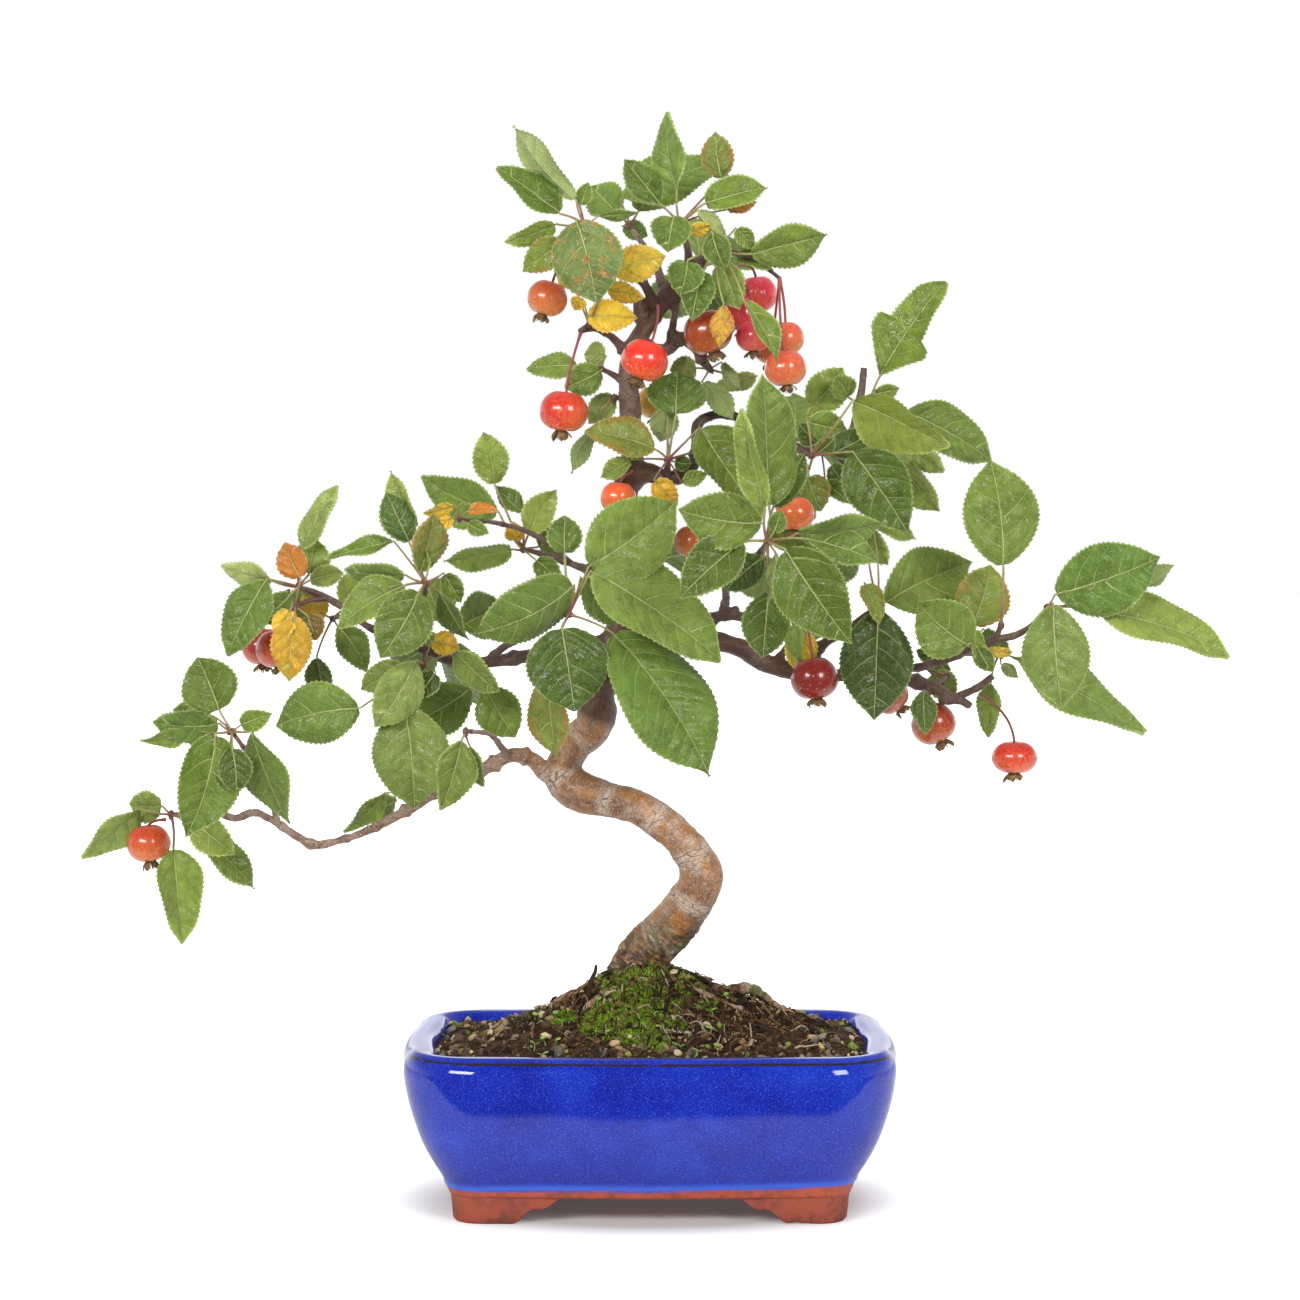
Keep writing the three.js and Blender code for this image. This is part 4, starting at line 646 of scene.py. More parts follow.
@dataclass(frozen=True)
class LeafBlade:
    """Apple leaf: a satin green upper side with sunken pale veins and a paler rim, over a duller, greyer
    underside where the veins stand proud.

    Reads "vein" (side vein count, edge to edge -1 to 1, base to tip 0 to 1), "reach" (mm from the
    midrib), "tint" (linear colour) and "mood" (1 upper side, yellowing, red edge).
    """

    vein: str = "#CAD28A"
    rust: str = "#9C6C36"
    flush: str = "#9A4826"
    under: str = "#7E8C5A"
    rib: str = "#A8B67E"
    net_mm: float = 1.5
    mottle_mm: float = 7.0
    rust_mm: float = 4.2
    puff_mm: float = 4.4

    def material(self) -> bpy.types.Material:
        """The finish as a material."""
        material, tree = new_tree("apple_leaf_blade")
        where = add(tree, "TexCoord", output="Object")
        names = ("vein", "mood")
        vein, mood = (add(tree, "Attribute", {"attribute_name": n}, output="Vector") for n in names)
        tint = add(tree, "Attribute", {"attribute_name": "tint"}, output="Color")
        reach = add(tree, "Attribute", {"attribute_name": "reach"}, output="Fac")
        upper = add(tree, "SeparateXYZ", inputs={0: mood})
        yellowing = upper.node.outputs["Y"]
        red = upper.node.outputs["Z"]
        count = add(tree, "SeparateXYZ", inputs={0: vein})
        across = add(tree, "Math", {"operation": "ABSOLUTE"}, {0: count.node.outputs["Y"]})
        # side veins: nearness to a whole count
        saw = add(tree, "Math", {"operation": "PINGPONG"}, {0: count, 1: 0.5})
        side = add(tree, "MapRange", SMOOTH, {"Value": saw, 1: 0.05, 2: 0.012})
        fading = add(tree, "MapRange", inputs={"Value": across, 1: 1.0, 2: 0.2, 3: 0.26, 4: 0.8})
        side = add(tree, "Math", TIMES, {0: side, 1: fading})
        out = count.node.outputs["Z"]
        taper = add(tree, "MapRange", inputs={"Value": out, 3: 0.8, 4: 2.0})
        off = add(tree, "Math", {"operation": "ABSOLUTE"}, {0: reach})
        off = add(tree, "Math", TIMES, {0: off, 1: taper})
        mid = add(tree, "MapRange", SMOOTH, {"Value": off, 1: 0.62, 2: 0.25})
        veins = add(tree, "Math", {"operation": "MAXIMUM"}, {0: side, 1: mid})
        net = add(tree, "TexVoronoi", {"feature": "DISTANCE_TO_EDGE"}, {"Vector": where, "mm": self.net_mm})
        mesh = add(tree, "MapRange", inputs={"Value": net, 1: 0.12, 2: 0.0})
        mottle = add(
            tree,
            "TexNoise",
            inputs={"Vector": where, "mm": self.mottle_mm, "Detail": 5, "Roughness": 0.6},
        )
        shade = add(tree, "MapRange", inputs={"Value": mottle, 1: 0.25, 2: 0.75, 3: 0.66, 4: 1.26})
        top = add(tree, "VectorMath", {"operation": "SCALE"}, {0: tint, "Scale": shade})
        pale = add(tree, "Mix", RGBA, {0: 0.5, 6: top, 7: self.vein}, 2)
        lined = add(tree, "Math", TIMES, {0: mesh, 1: 0.22})
        lined = add(tree, "Math", {"operation": "MAXIMUM"}, {0: veins, 1: lined})
        # the pale rim, half a millimetre on a real leaf, drawn twice as wide to show
        wide = add(tree, "Math", {"operation": "ABSOLUTE"}, {0: reach})
        outer = add(tree, "Math", {"operation": "DIVIDE"}, {0: wide, 1: across})
        inward = add(tree, "Math", {"operation": "SUBTRACT"}, {0: outer, 1: wide})
        margin = add(tree, "MapRange", inputs={"Value": inward, 1: 0.75, 2: 0.2, 4: 0.55})
        # rust spots and yellowing, most between the veins
        spots = {"Vector": where, "mm": self.rust_mm, "Detail": 4, "Roughness": 0.6}
        rust = add(tree, "TexNoise", inputs=spots)
        rusty = add(tree, "MapRange", inputs={"Value": rust, 1: 0.57, 2: 0.61})
        rusty = add(tree, "Math", TIMES, {0: rusty, 1: yellowing})
        flushed = add(tree, "MapRange", inputs={"Value": across, 1: 0.55, 2: 1.0})
        patchy = add(tree, "MapRange", inputs={"Value": mottle, 1: 0.38, 2: 0.56})
        flushed = add(tree, "Math", TIMES, {0: flushed, 1: patchy})
        flushed = add(tree, "Math", TIMES, {0: flushed, 1: red})
        for share, colour in ((lined, pale), (margin, pale), (rusty, self.rust), (flushed, self.flush)):
            top = add(tree, "Mix", RGBA, {0: share, 6: top, 7: colour}, 2)
        under = add(tree, "Mix", RGBA, {0: 0.35, 6: tint, 7: self.under}, 2)
        ribs = add(tree, "Math", TIMES, {0: lined, 1: 0.8})
        under = add(tree, "Mix", RGBA, {0: ribs, 6: under, 7: self.rib}, 2)
        base = add(tree, "Mix", RGBA, {0: upper, 6: under, 7: top}, 2)
        satin = add(tree, "MapRange", inputs={"Value": mottle, 1: 0.3, 2: 0.7, 3: 0.23, 4: 0.38})
        rough = add(tree, "Mix", {"data_type": "FLOAT"}, {0: upper, 2: 0.7, 3: satin})
        puff = add(
            tree,
            "TexVoronoi",
            {"feature": "SMOOTH_F1"},
            {"Vector": where, "mm": self.puff_mm, "Smoothness": 0.7},
        )
        # the blade sinks towards each side vein and puffs up in small cushions
        dip = add(tree, "MapRange", SMOOTH, {"Value": saw, 1: 0.0, 2: 0.42, 3: 1.0, 4: 0.0})
        relief = add(tree, "Math", {"operation": "MULTIPLY_ADD"}, {0: mesh, 1: 0.25, 2: veins})
        relief = add(tree, "Math", {"operation": "MULTIPLY_ADD"}, {0: dip, 1: 0.45, 2: relief})
        relief = add(tree, "Math", {"operation": "MULTIPLY_ADD"}, {0: puff, 1: 1.2, 2: relief})
        up = add(tree, "MapRange", inputs={"Value": upper, 3: 1.0, 4: -1.0})
        relief = add(tree, "Math", TIMES, {0: relief, 1: up})
        bump = add(tree, "Bump", inputs={"Strength": 0.9, "Distance": 0.75 * MM, "Height": relief})
        surfaced(
            tree,
            {
                "Base Color": base,
                "Roughness": rough,
                "Normal": bump,
                "IOR": 1.42,
                "Specular IOR Level": 0.5,
                "Subsurface Weight": 0.12,
                "Subsurface Radius": (0.6, 1.0, 0.3),
                "Subsurface Scale": 1.2 * MM,
                "Sheen Weight": 0.02,
            },
        )
        return material


@dataclass(frozen=True)
class GreenStem:
    """Leaf and fruit stems: thin green skin flushed red, faintly downy. Reads "tint"."""

    def material(self) -> bpy.types.Material:
        """The finish as a material."""
        material, tree = new_tree("green_stem_skin")
        where = add(tree, "TexCoord", output="Object")
        tint = add(tree, "Attribute", {"attribute_name": "tint"}, output="Color")
        fleck = add(tree, "TexNoise", inputs={"Vector": where, "mm": 1.5, "Detail": 3, "Roughness": 0.6})
        shade = add(tree, "MapRange", inputs={"Value": fleck, 1: 0.3, 2: 0.7, 3: 0.75, 4: 1.2})
        base = add(tree, "VectorMath", {"operation": "SCALE"}, {0: tint, "Scale": shade})
        bump = add(tree, "Bump", inputs={"Strength": 0.2, "Distance": 0.2 * MM, "Height": fleck})
        skin = {"Base Color": base, "Roughness": 0.5, "Normal": bump, "IOR": 1.45, "Sheen Weight": 0.1}
        surfaced(tree, skin)
        return material


@dataclass(frozen=True)
class WaxyFruitSkin:
    """Crabapple skin: waxy and glossy, red over a yellow ground in fine streaks from pole to pole, with
    pale dots that crowd towards the calyx.

    Reads "pole" (x, y round the fruit and height, -1 to 1), "ground" and "blush" (linear colours) and
    "cover" (how far the blush hides the ground).
    """

    dot: str = "#E8B98A"
    dot_mm: float = 1.9

    def material(self) -> bpy.types.Material:
        """The finish as a material."""
        material, tree = new_tree("waxy_crabapple_skin")
        where = add(tree, "TexCoord", output="Object")
        pole = add(tree, "Attribute", {"attribute_name": "pole"}, output="Vector")
        names = ("ground", "blush")
        ground, blush = (add(tree, "Attribute", {"attribute_name": n}, output="Color") for n in names)
        cover = add(tree, "Attribute", {"attribute_name": "cover"}, output="Fac")
        drawn = add(tree, "Mapping", inputs={"Vector": pole, "Scale": (14.0, 14.0, 0.7)})
        streak = add(tree, "TexNoise", inputs={"Vector": drawn, "Scale": 1, "Detail": 5, "Roughness": 0.65})
        streak = add(tree, "MapRange", inputs={"Value": streak, 1: 0.3, 2: 0.7, 3: -0.22, 4: 0.22})
        hidden = add(tree, "Math", {"operation": "ADD", "use_clamp": True}, {0: cover, 1: streak})
        base = add(tree, "Mix", RGBA, {0: hidden, 6: ground, 7: blush}, 2)
        dots = add(tree, "TexVoronoi", inputs={"Vector": where, "mm": self.dot_mm})
        low = add(tree, "SeparateXYZ", inputs={0: pole})
        size = add(
            tree, "MapRange", inputs={"Value": low.node.outputs["Z"], 1: 0.6, 2: -0.9, 3: 0.06, 4: 0.2}
        )
        dotted = add(tree, "Math", {"operation": "LESS_THAN"}, {0: dots, 1: size})
        dotted = add(tree, "Math", TIMES, {0: dotted, 1: 0.55})
        base = add(tree, "Mix", RGBA, {0: dotted, 6: base, 7: self.dot}, 2)
        soft = add(tree, "TexNoise", inputs={"Vector": where, "mm": 5, "Detail": 2, "Roughness": 0.5})
        bump = add(tree, "Bump", inputs={"Strength": 0.12, "Distance": 0.5 * MM, "Height": soft})
        surfaced(
            tree,
            {
                "Base Color": base,
                "Roughness": 0.32,
                "Normal": bump,
                "IOR": 1.45,
                "Coat Weight": 0.7,
                "Coat Roughness": 0.08,
                "Subsurface Weight": 0.08,
                "Subsurface Radius": (1.0, 0.3, 0.1),
                "Subsurface Scale": 2.0 * MM,
            },
        )
        return material


@dataclass(frozen=True)
class DryHusk:
    """Dried calyx and withered flower parts: papery, brown with dark tips, matt."""

    pale: str = "#8C7148"
    dark: str = "#3E2C1C"

    def material(self) -> bpy.types.Material:
        """The finish as a material."""
        material, tree = new_tree("dry_calyx")
        where = add(tree, "TexCoord", output="Object")
        grain = add(tree, "TexNoise", inputs={"Vector": where, "mm": 1.2, "Detail": 4, "Roughness": 0.7})
        base = add(tree, "ValToRGB", {"stops": [(0.35, self.dark), (0.65, self.pale)]}, {"Fac": grain})
        bump = add(tree, "Bump", inputs={"Strength": 0.4, "Distance": 0.3 * MM, "Height": grain})
        surfaced(tree, {"Base Color": base, "Roughness": 0.85, "Normal": bump, "IOR": 1.4})
        return material


@dataclass(frozen=True)
class DampGrit:
    """Damp bonsai soil: dark crumbly earth and fibre with a sandy sparkle. Reads "moss" (0 to 1)."""

    earth: str = "#33251A"
    light: str = "#6A4E34"
    black: str = "#17100B"
    moss: str = "#526A18"

    def material(self) -> bpy.types.Material:
        """The finish as a material."""
        material, tree = new_tree("damp_bonsai_soil")
        where = add(tree, "TexCoord", output="Object")
        green = add(tree, "Attribute", {"attribute_name": "moss"}, output="Fac")
        crumb = add(tree, "TexNoise", inputs={"Vector": where, "mm": 2.6, "Detail": 8, "Roughness": 0.75})
        base = add(
            tree,
            "ValToRGB",
            {"stops": [(0.36, self.black), (0.68, self.light), (0.52, self.earth)]},
            {"Fac": crumb},
        )
        base = add(tree, "Mix", RGBA, {0: green, 6: base, 7: self.moss}, 2)
        bump = add(tree, "Bump", inputs={"Strength": 0.9, "Distance": 0.9 * MM, "Height": crumb})
        surfaced(tree, {"Base Color": base, "Roughness": 0.92, "Normal": bump, "IOR": 1.3})
        return material


@dataclass(frozen=True)
class Tinted:
    """Matt things of many tints, such as gravel and moss shoots. Reads "tint"."""

    name: str
    grain_mm: float
    roughness: float
    shine: float = 0.5

    def material(self) -> bpy.types.Material:
        """The finish as a material: the tint, mottled at grain size."""
        material, tree = new_tree(self.name)
        where = add(tree, "TexCoord", output="Object")
        tint = add(tree, "Attribute", {"attribute_name": "tint"}, output="Color")
        grain = add(
            tree,
            "TexNoise",
            inputs={"Vector": where, "mm": self.grain_mm, "Detail": 4, "Roughness": 0.7},
        )
        shade = add(tree, "MapRange", inputs={"Value": grain, 1: 0.3, 2: 0.7, 3: 0.65, 4: 1.25})
        base = add(tree, "VectorMath", {"operation": "SCALE"}, {0: tint, "Scale": shade})
        bump = add(tree, "Bump", inputs={"Strength": 0.3, "Distance": 0.3 * MM, "Height": grain})
        surfaced(
            tree,
            {
                "Base Color": base,
                "Roughness": self.roughness,
                "Normal": bump,
                "IOR": 1.45,
                "Specular IOR Level": self.shine,
            },
        )
        return material


@dataclass(frozen=True)
class BlackPolythene:
    """Moulded polythene mesh over the drain holes: dull black with a faint moulded grain."""

    colour: str = "#1D1F1D"

    def material(self) -> bpy.types.Material:
        """The finish as a material."""
        material, tree = new_tree("black_polythene_mesh")
        where = add(tree, "TexCoord", output="Object")
        grain = add(tree, "TexNoise", inputs={"Vector": where, "mm": 0.8, "Detail": 2})
        bump = add(tree, "Bump", inputs={"Strength": 0.15, "Distance": 0.1 * MM, "Height": grain})
        surfaced(tree, {"Base Color": linear(self.colour), "Roughness": 0.55, "Normal": bump, "IOR": 1.5})
        return material


@dataclass(frozen=True)
class StudioPaper:
    """Opal acrylic of a light table, lit from below: white, with a painted shadow and painted reflection."""

    colour: str = "#D8D8D8"
    painted_reflection: str = "#2C2C34"
    glow: float = 0.72
    thrown: float = 0.6
    mirrored: float = 0.42
    front_mm: float = 146.0

    def material(self) -> bpy.types.Material:
        """The finish as a material."""
        material, tree = new_tree("opal_acrylic_table")
        where = add(tree, "TexCoord", output="Object")
        # painted shadow: the glow nearly stops under the pot, is full about 25 mm outside it and grows far
        # off
        near = add(tree, "VectorMath", TIMES, {0: where, 1: (8.0, 10.5, 0.0)})
        near = add(tree, "VectorMath", {"operation": "LENGTH"}, {0: near}, "Value")
        far = add(tree, "MapRange", inputs={"Value": near, 1: 3.0, 2: 22.0, 4: 0.45})
        glow = add(tree, "MapRange", inputs={"Value": near, 1: 0.72, 2: 1.2, 3: 0.05, 4: self.glow})
        glow = add(tree, "Math", {"operation": "ADD"}, {0: glow, 1: far})
        # painted reflection: past front_mm ahead of the pot, glossy rays alone see the table dark and unlit
        mirrored = add(tree, "LightPath", output="Is Glossy Ray")
        depth = add(tree, "SeparateXYZ", inputs={0: where}).node.outputs["Y"]
        ends = {1: -self.front_mm * MM, 2: -(self.front_mm + 14) * MM}
        past = add(tree, "MapRange", inputs={"Value": depth, **ends})
        dark = add(tree, "Math", TIMES, {0: mirrored, 1: past})
        lit = add(tree, "MapRange", inputs={"Value": dark, 3: 1.0, 4: 0.1})
        glow = add(tree, "Math", TIMES, {0: glow, 1: lit})
        # the opal sheet throws less light on the pot than straight at the eye
        seen = add(tree, "LightPath", output="Is Camera Ray")
        thrown = add(tree, "MapRange", inputs={"Value": seen, 3: self.thrown})
        glow = add(tree, "Math", TIMES, {0: glow, 1: thrown})
        # and glossy surfaces mirror it dimmer
        dimmed = add(tree, "MapRange", inputs={"Value": mirrored, 3: 1.0, 4: self.mirrored})
        glow = add(tree, "Math", TIMES, {0: glow, 1: dimmed})
        # the dark grey of the painted reflection, seen only by glossy rays
        paper = add(tree, "Mix", RGBA, {0: dark, 6: self.colour, 7: self.painted_reflection}, 2)
        surfaced(
            tree,
            {
                "Base Color": paper,
                "Roughness": 0.9,
                "IOR": 1.3,
                "Emission Color": linear("#FFFFFF"),
                "Emission Strength": glow,
            },
        )
        return material


# ---- The pot -------------------------------------------------------------------------------------
def outline(half_x: float, half_y: float, corner: float, bow: float, count: int = 22) -> np.ndarray:
    """A level outline: quarter circles joined by sides that bow out by bow * cos(90 deg * place)^2.

    Args:
        half_x: half its length at the middle of the short sides.
        half_y: half its width at the middle of the long sides.
        corner: radius of the corners.
        bow: how far a side's middle stands beyond its ends.
        count: points in each quarter circle; a side has as many again.

    Returns:
        Points (8 * count, 2), anticlockwise from the right-hand side's middle.
    """
    x = half_x - bow - corner
    y = half_y - bow - corner
    angle = np.linspace(0.0, math.pi / 2.0, count + 1)[:, None]
    w = np.linspace(-1.0, 1.0, count + 1)[1:-1][:, None]
    swell = bow * np.cos(w * math.pi / 2.0) ** 2
    parts = []
    for turn, (cx, cy) in enumerate([(x, y), (-x, y), (-x, -y), (x, -y)]):
        a = angle + turn * math.pi / 2.0
        parts.append(np.array([cx, cy]) + corner * np.hstack([np.cos(a), np.sin(a)]))
        if turn % 2 == 0:
            parts.append(np.hstack([-w * x, half_y - bow + swell]) * (1.0 if turn == 0 else -1.0))
        else:
            side = -1.0 if turn == 1 else 1.0
            parts.append(np.hstack([side * (half_x - bow + swell), side * w * y]))
    return np.vstack(parts)


@dataclass
class GlazedPot:
    """The oblong pot: one turned-in profile carried round a bowed outline, on a plinth cut into feet.

    Profiles are (height, inset from the rim's outer edge) in mm.
    """

    outer: Sequence[tuple[float, float]] = (
        (13.5, 22.6), (16.5, 21.3), (19.5, 20.3), (22.5, 18.6), (28, 14.9), (38, 9.4), (49, 5.3), (62, 1.7),
        (70, 0.35), (75, 0.0), (78.5, 0.55), (81.2, 1.7), (83.0, 3.1), (84.2, 4.3), (84.9, 5.8), (85, 7.6),
    )
    inner: Sequence[tuple[float, float]] = (
        (85, 11.0), (84.4, 13.8), (82.5, 15.5), (60, 15.5), (42, 19.5), (28, 28), (22.5, 36),
    )
    glaze_line: float = 17.8
    roll: float = 0.7
    long_gap: Sequence[float] = (67.5, 57.5, 53.5, 43.5)
    short_gap: Sequence[float] = (42.4, 34.4, 31.2, 23.2)
    shelf: float = 7.0
    arch: float = 13.2
    tuck: float = 1.2
    chip: tuple[float, float] = (67.5, -66.4)

    def _edge(self, around: np.ndarray) -> np.ndarray:
        """Height of the glaze's lower edge round the pot: lower to the left, with slow sags of 1 mm."""
        sag = rumple(np.column_stack([around, np.zeros(len(around))]), 30.0, 5)
        return self.glaze_line + 0.9 * sag + 0.012 * np.clip(around[:, 0], -90.0, 90.0)

    def _rings(self, profile: np.ndarray, corners: np.ndarray) -> np.ndarray:
        """Outlines drawn in by each row (inset, height) of a profile, with the corner radii given."""
        rings = []
        for (inset, z), corner in zip(profile, corners):
            ring = outline(POT_HALF_X - inset, POT_HALF_Y - inset, corner, POT_BOW)
            rings.append(np.column_stack([ring, np.full(len(ring), min(z, POT_HEIGHT))]))
        return np.array(rings)

    def body(self) -> Shell:
        """The glazed bowl.

        Each height's ring is the outline drawn in by the profile's inset; the corners tighten by
        CORNER_TAPER mm for each mm of inset outside and go over to the inner corners across the rim.
        The glaze's lower edge is a roll: a bell across the wall, `roll` high and 1.6 mm wide. The wall
        also ripples by 0.15 mm.
        """
        profile = np.array([*self.outer, *self.inner])
        rows = flowing(np.column_stack([profile[:, 1], profile[:, 0], np.zeros(len(profile)), profile]), 1.4)
        fine = np.column_stack([np.clip(rows[:, 0], 0.0, None), rows[:, 1]])
        rim = int(np.argmin(np.abs(fine[:, 1] - POT_HEIGHT) + (fine[:, 0] < 8.0) * 9.0))
        blend = ease(np.arange(len(fine), dtype=float), rim - 5.0, rim + 5.0)[:, None, None]
        outside = self._rings(fine, np.maximum(12.0, OUTER_CORNER - CORNER_TAPER * fine[:, 0]))
        inside = self._rings(fine, np.full(len(fine), INNER_CORNER))
        rings = outside * (1.0 - blend) + inside * blend
        middle = rings[:1] * [0.5, 0.5, 1.0]
        floor = [rings[-1:] * [share, share, 1.0] for share in (0.8, 0.55, 0.3)]
        rings = np.concatenate([middle, rings, *floor])
        outer = (np.arange(len(rings)) < rim + 1)[:, None]
        shape = rings.shape[:2]
        edge = self._edge(np.broadcast_to(rings[rim, :, :2], (*shape, 2)).reshape(-1, 2)).reshape(shape)
        height = rings[..., 2] - edge
        ripple = 0.15 * rumple(rings.reshape(-1, 3), 17.0, 2).reshape(shape)
        bulge = self.roll * hump(height, 1.3, 1.5) + ripple
        bulge = np.where(outer & (rings[..., 2] < 84.0), bulge, 0.0)
        level = rings[..., 2].copy()
        rings[..., :2] += unit(rings[..., :2]) * bulge[..., None]
        values = {
            "bare": np.where(outer, ease(height, 0.1, -0.5), 0.0),
            "thin": hump(level, 82.6, 0.85) * outer,
            "pool": hump(height, 1.2, 1.6) * outer,
        }
        return ring_solid(rings, values)

    def _underside(self, around: np.ndarray) -> np.ndarray:
        """Height of the plinth's lower edge: 0 at the feet, two ogee steps, then the arch between.

        Args:
            around: (n, 2) places round the plinth.

        Returns:
            n heights; each step is 3w^2 - 2w^3 along the side.
        """
        x = np.abs(around[:, 0])
        y = np.abs(around[:, 1])
        front = y / (POT_HALF_Y - PLINTH_INSET) > x / (POT_HALF_X - PLINTH_INSET)
        a, b, c, d = np.where(front[:, None], self.long_gap, self.short_gap).T
        along = np.where(front, x, y)
        first = np.clip((a - along) / (a - b), 0.0, 1.0)
        second = np.clip((c - along) / (c - d), 0.0, 1.0)
        step = [w * w * (3.0 - 2.0 * w) for w in (first, second)]
        return self.shelf * step[0] + (self.arch - self.shelf) * step[1]

    def plinth(self) -> Shell:
        """The ring of bare clay under the bowl.

        Its section runs down the outside, across the lower edge with both arrises broken, and up the
        inside; the lower edge follows the feet. One foot has a shallow chip, and the clay is uneven.
        """
        count = 150
        half_x = POT_HALF_X - PLINTH_INSET - self.tuck
        half_y = POT_HALF_Y - PLINTH_INSET - self.tuck
        top = outline(half_x, half_y, 17.0, 1.0, count)
        foot = outline(half_x - 0.6 * FOOT_LEAN, half_y - 0.6 * FOOT_LEAN, 14.0, 1.0, count)
        wall = outline(half_x - FOOT_WALL, half_y - FOOT_WALL, 3.0, 0.2, count)
        low = self._underside(foot)
        high = APRON + 2.0
        columns = []
        for share, level in [(0.0, 1.0), (0.0, 0.75), (0.0, 0.5), (0.0, 0.25), (0.0, 0.09)]:
            z = low + level * (high - low)
            down = (high - z) / high
            columns.append(np.column_stack([top + (foot - top) * down[:, None], z]))
        for share, lift in [(0.08, 0.25), (0.16, 0.0), (0.5, 0.0), (0.86, 0.0), (0.97, 0.4)]:
            ring = foot + (wall - foot) * share
            columns.append(np.column_stack([ring, low + lift]))
        for level in (0.15, 0.5, 0.95):
            columns.append(np.column_stack([wall, low + level * (high - low)]))
        section = np.stack(columns, 1)
        rows, across = section.shape[:2]
        flat = section.reshape(-1, 3)
        chipped = hump(flat[:, 0], self.chip[0] + 4.0, 6.0) * hump(flat[:, 1], self.chip[1], 9.0)
        chipped *= ease(flat[:, 2], 7.0, 1.0)
        broken = chipped * (0.6 + 0.4 * rumple(flat, 2.2, 8))
        flat[:, 2] += 2.4 * broken
        rough = 0.22 * rumple(flat, 4.0, 3) + 0.12 * rumple(flat, 1.5, 4)
        flat[:, :2] += unit(flat[:, :2]) * np.where(flat[:, 2] < APRON, rough, 0.0)[:, None]
        flat[:, 2] = np.clip(flat[:, 2], 0.0, None)
        quads = strips(rows, across, True, True)[:, ::-1]
        return Shell(flat, quads, values={"broken": np.clip(broken, 0, 1)})

    def build(self) -> None:
        """Bores the drain holes through the bowl, dresses it and sets the plinth under it."""
        bowl = self.body()
        holes = [
            tube(np.array([[x, 0.0, 5.0], [x, 0.0, 30.0]]), DRAIN_RADIUS, 40) for x in (-DRAIN_X, DRAIN_X)
        ]
        drilled = bored(bowl, joined(holes))
        both = joined([drilled.painted(0), self.plinth().painted(1)])
        finishes = [CobaltGlaze().material(), RedStoneware().material()]
        finished_piece("glazed_pot", both, finishes, ["pot"], crease=70.0)


def bored(shell: Shell, cutter: Shell) -> Shell:
    """A shell with another one cut out of it, by the exact Boolean; its values are carried over.

    Args:
        shell: what is cut.
        cutter: what is taken away.

    Returns:
        The cut shell, all triangles.
    """
    scene = bpy.context.scene
    objects = []
    for name, part in (("work_shell", shell), ("work_cutter", cutter)):
        mesh = raw_mesh(name, part)
        for key, value in part.values.items():
            if part is shell:
                carried = mesh.attributes.new(key, "FLOAT", "POINT")
                carried.data.foreach_set("value", value.astype(np.float32))
        objects.append(bpy.data.objects.new(name, mesh))
        scene.collection.objects.link(objects[-1])
    modifier = objects[0].modifiers.new("bore", "BOOLEAN")
    modifier.object = objects[1]
    modifier.operation = "DIFFERENCE"
    modifier.solver = "EXACT"
    cut = finished_mesh(objects[0])
    result = read_shell(cut, list(shell.values))
    for item in objects:
        bpy.data.objects.remove(item)
    return result


def finished_mesh(piece: bpy.types.Object) -> bpy.types.Mesh:
    """The mesh of an object with its modifiers applied."""
    graph = bpy.context.evaluated_depsgraph_get()
    return bpy.data.meshes.new_from_object(piece.evaluated_get(graph), depsgraph=graph)


def read_shell(mesh: bpy.types.Mesh, keys: Sequence[str] = ()) -> Shell:
    """A mesh's points, in mm, and its triangles, with some of its plain number attributes."""
    points = np.empty(3 * len(mesh.vertices), np.float32)
    mesh.vertices.foreach_get("co", points)
    mesh.calc_loop_triangles()
    tris = np.empty(3 * len(mesh.loop_triangles), np.int32)
    mesh.loop_triangles.foreach_get("vertices", tris)
    values = {}
    for key in keys:
        value = np.empty(len(mesh.vertices), np.float32)
        mesh.attributes[key].data.foreach_get("value", value)
        values[key] = value.astype(float)
    return Shell(points.reshape(-1, 3).astype(float) / MM, tris=tris.reshape(-1, 3), values=values)


# ---- The soil ------------------------------------------------------------------------------------
def soil_top(x: np.ndarray, y: np.ndarray) -> np.ndarray:
    """Height of the soil: level, plus a broad mound, a steeper crown round the trunk and soft grain."""
    broad = 26.0 * np.exp(-((np.abs(x - 6.0) / 78.0) ** 3)) * np.exp(-((np.abs(y - 4.0) / 44.0) ** 2.4))
    crown = 15.0 * np.exp(-(((x + 3.0) / 26.0) ** 2) - ((y - 6.0) / 24.0) ** 2)
    grain = 0.7 * np.sin(x * 0.37 + 2.0 * np.sin(y * 0.21)) * np.sin(y * 0.43 + x * 0.11)
    return SOIL_LEVEL + broad + crown + grain


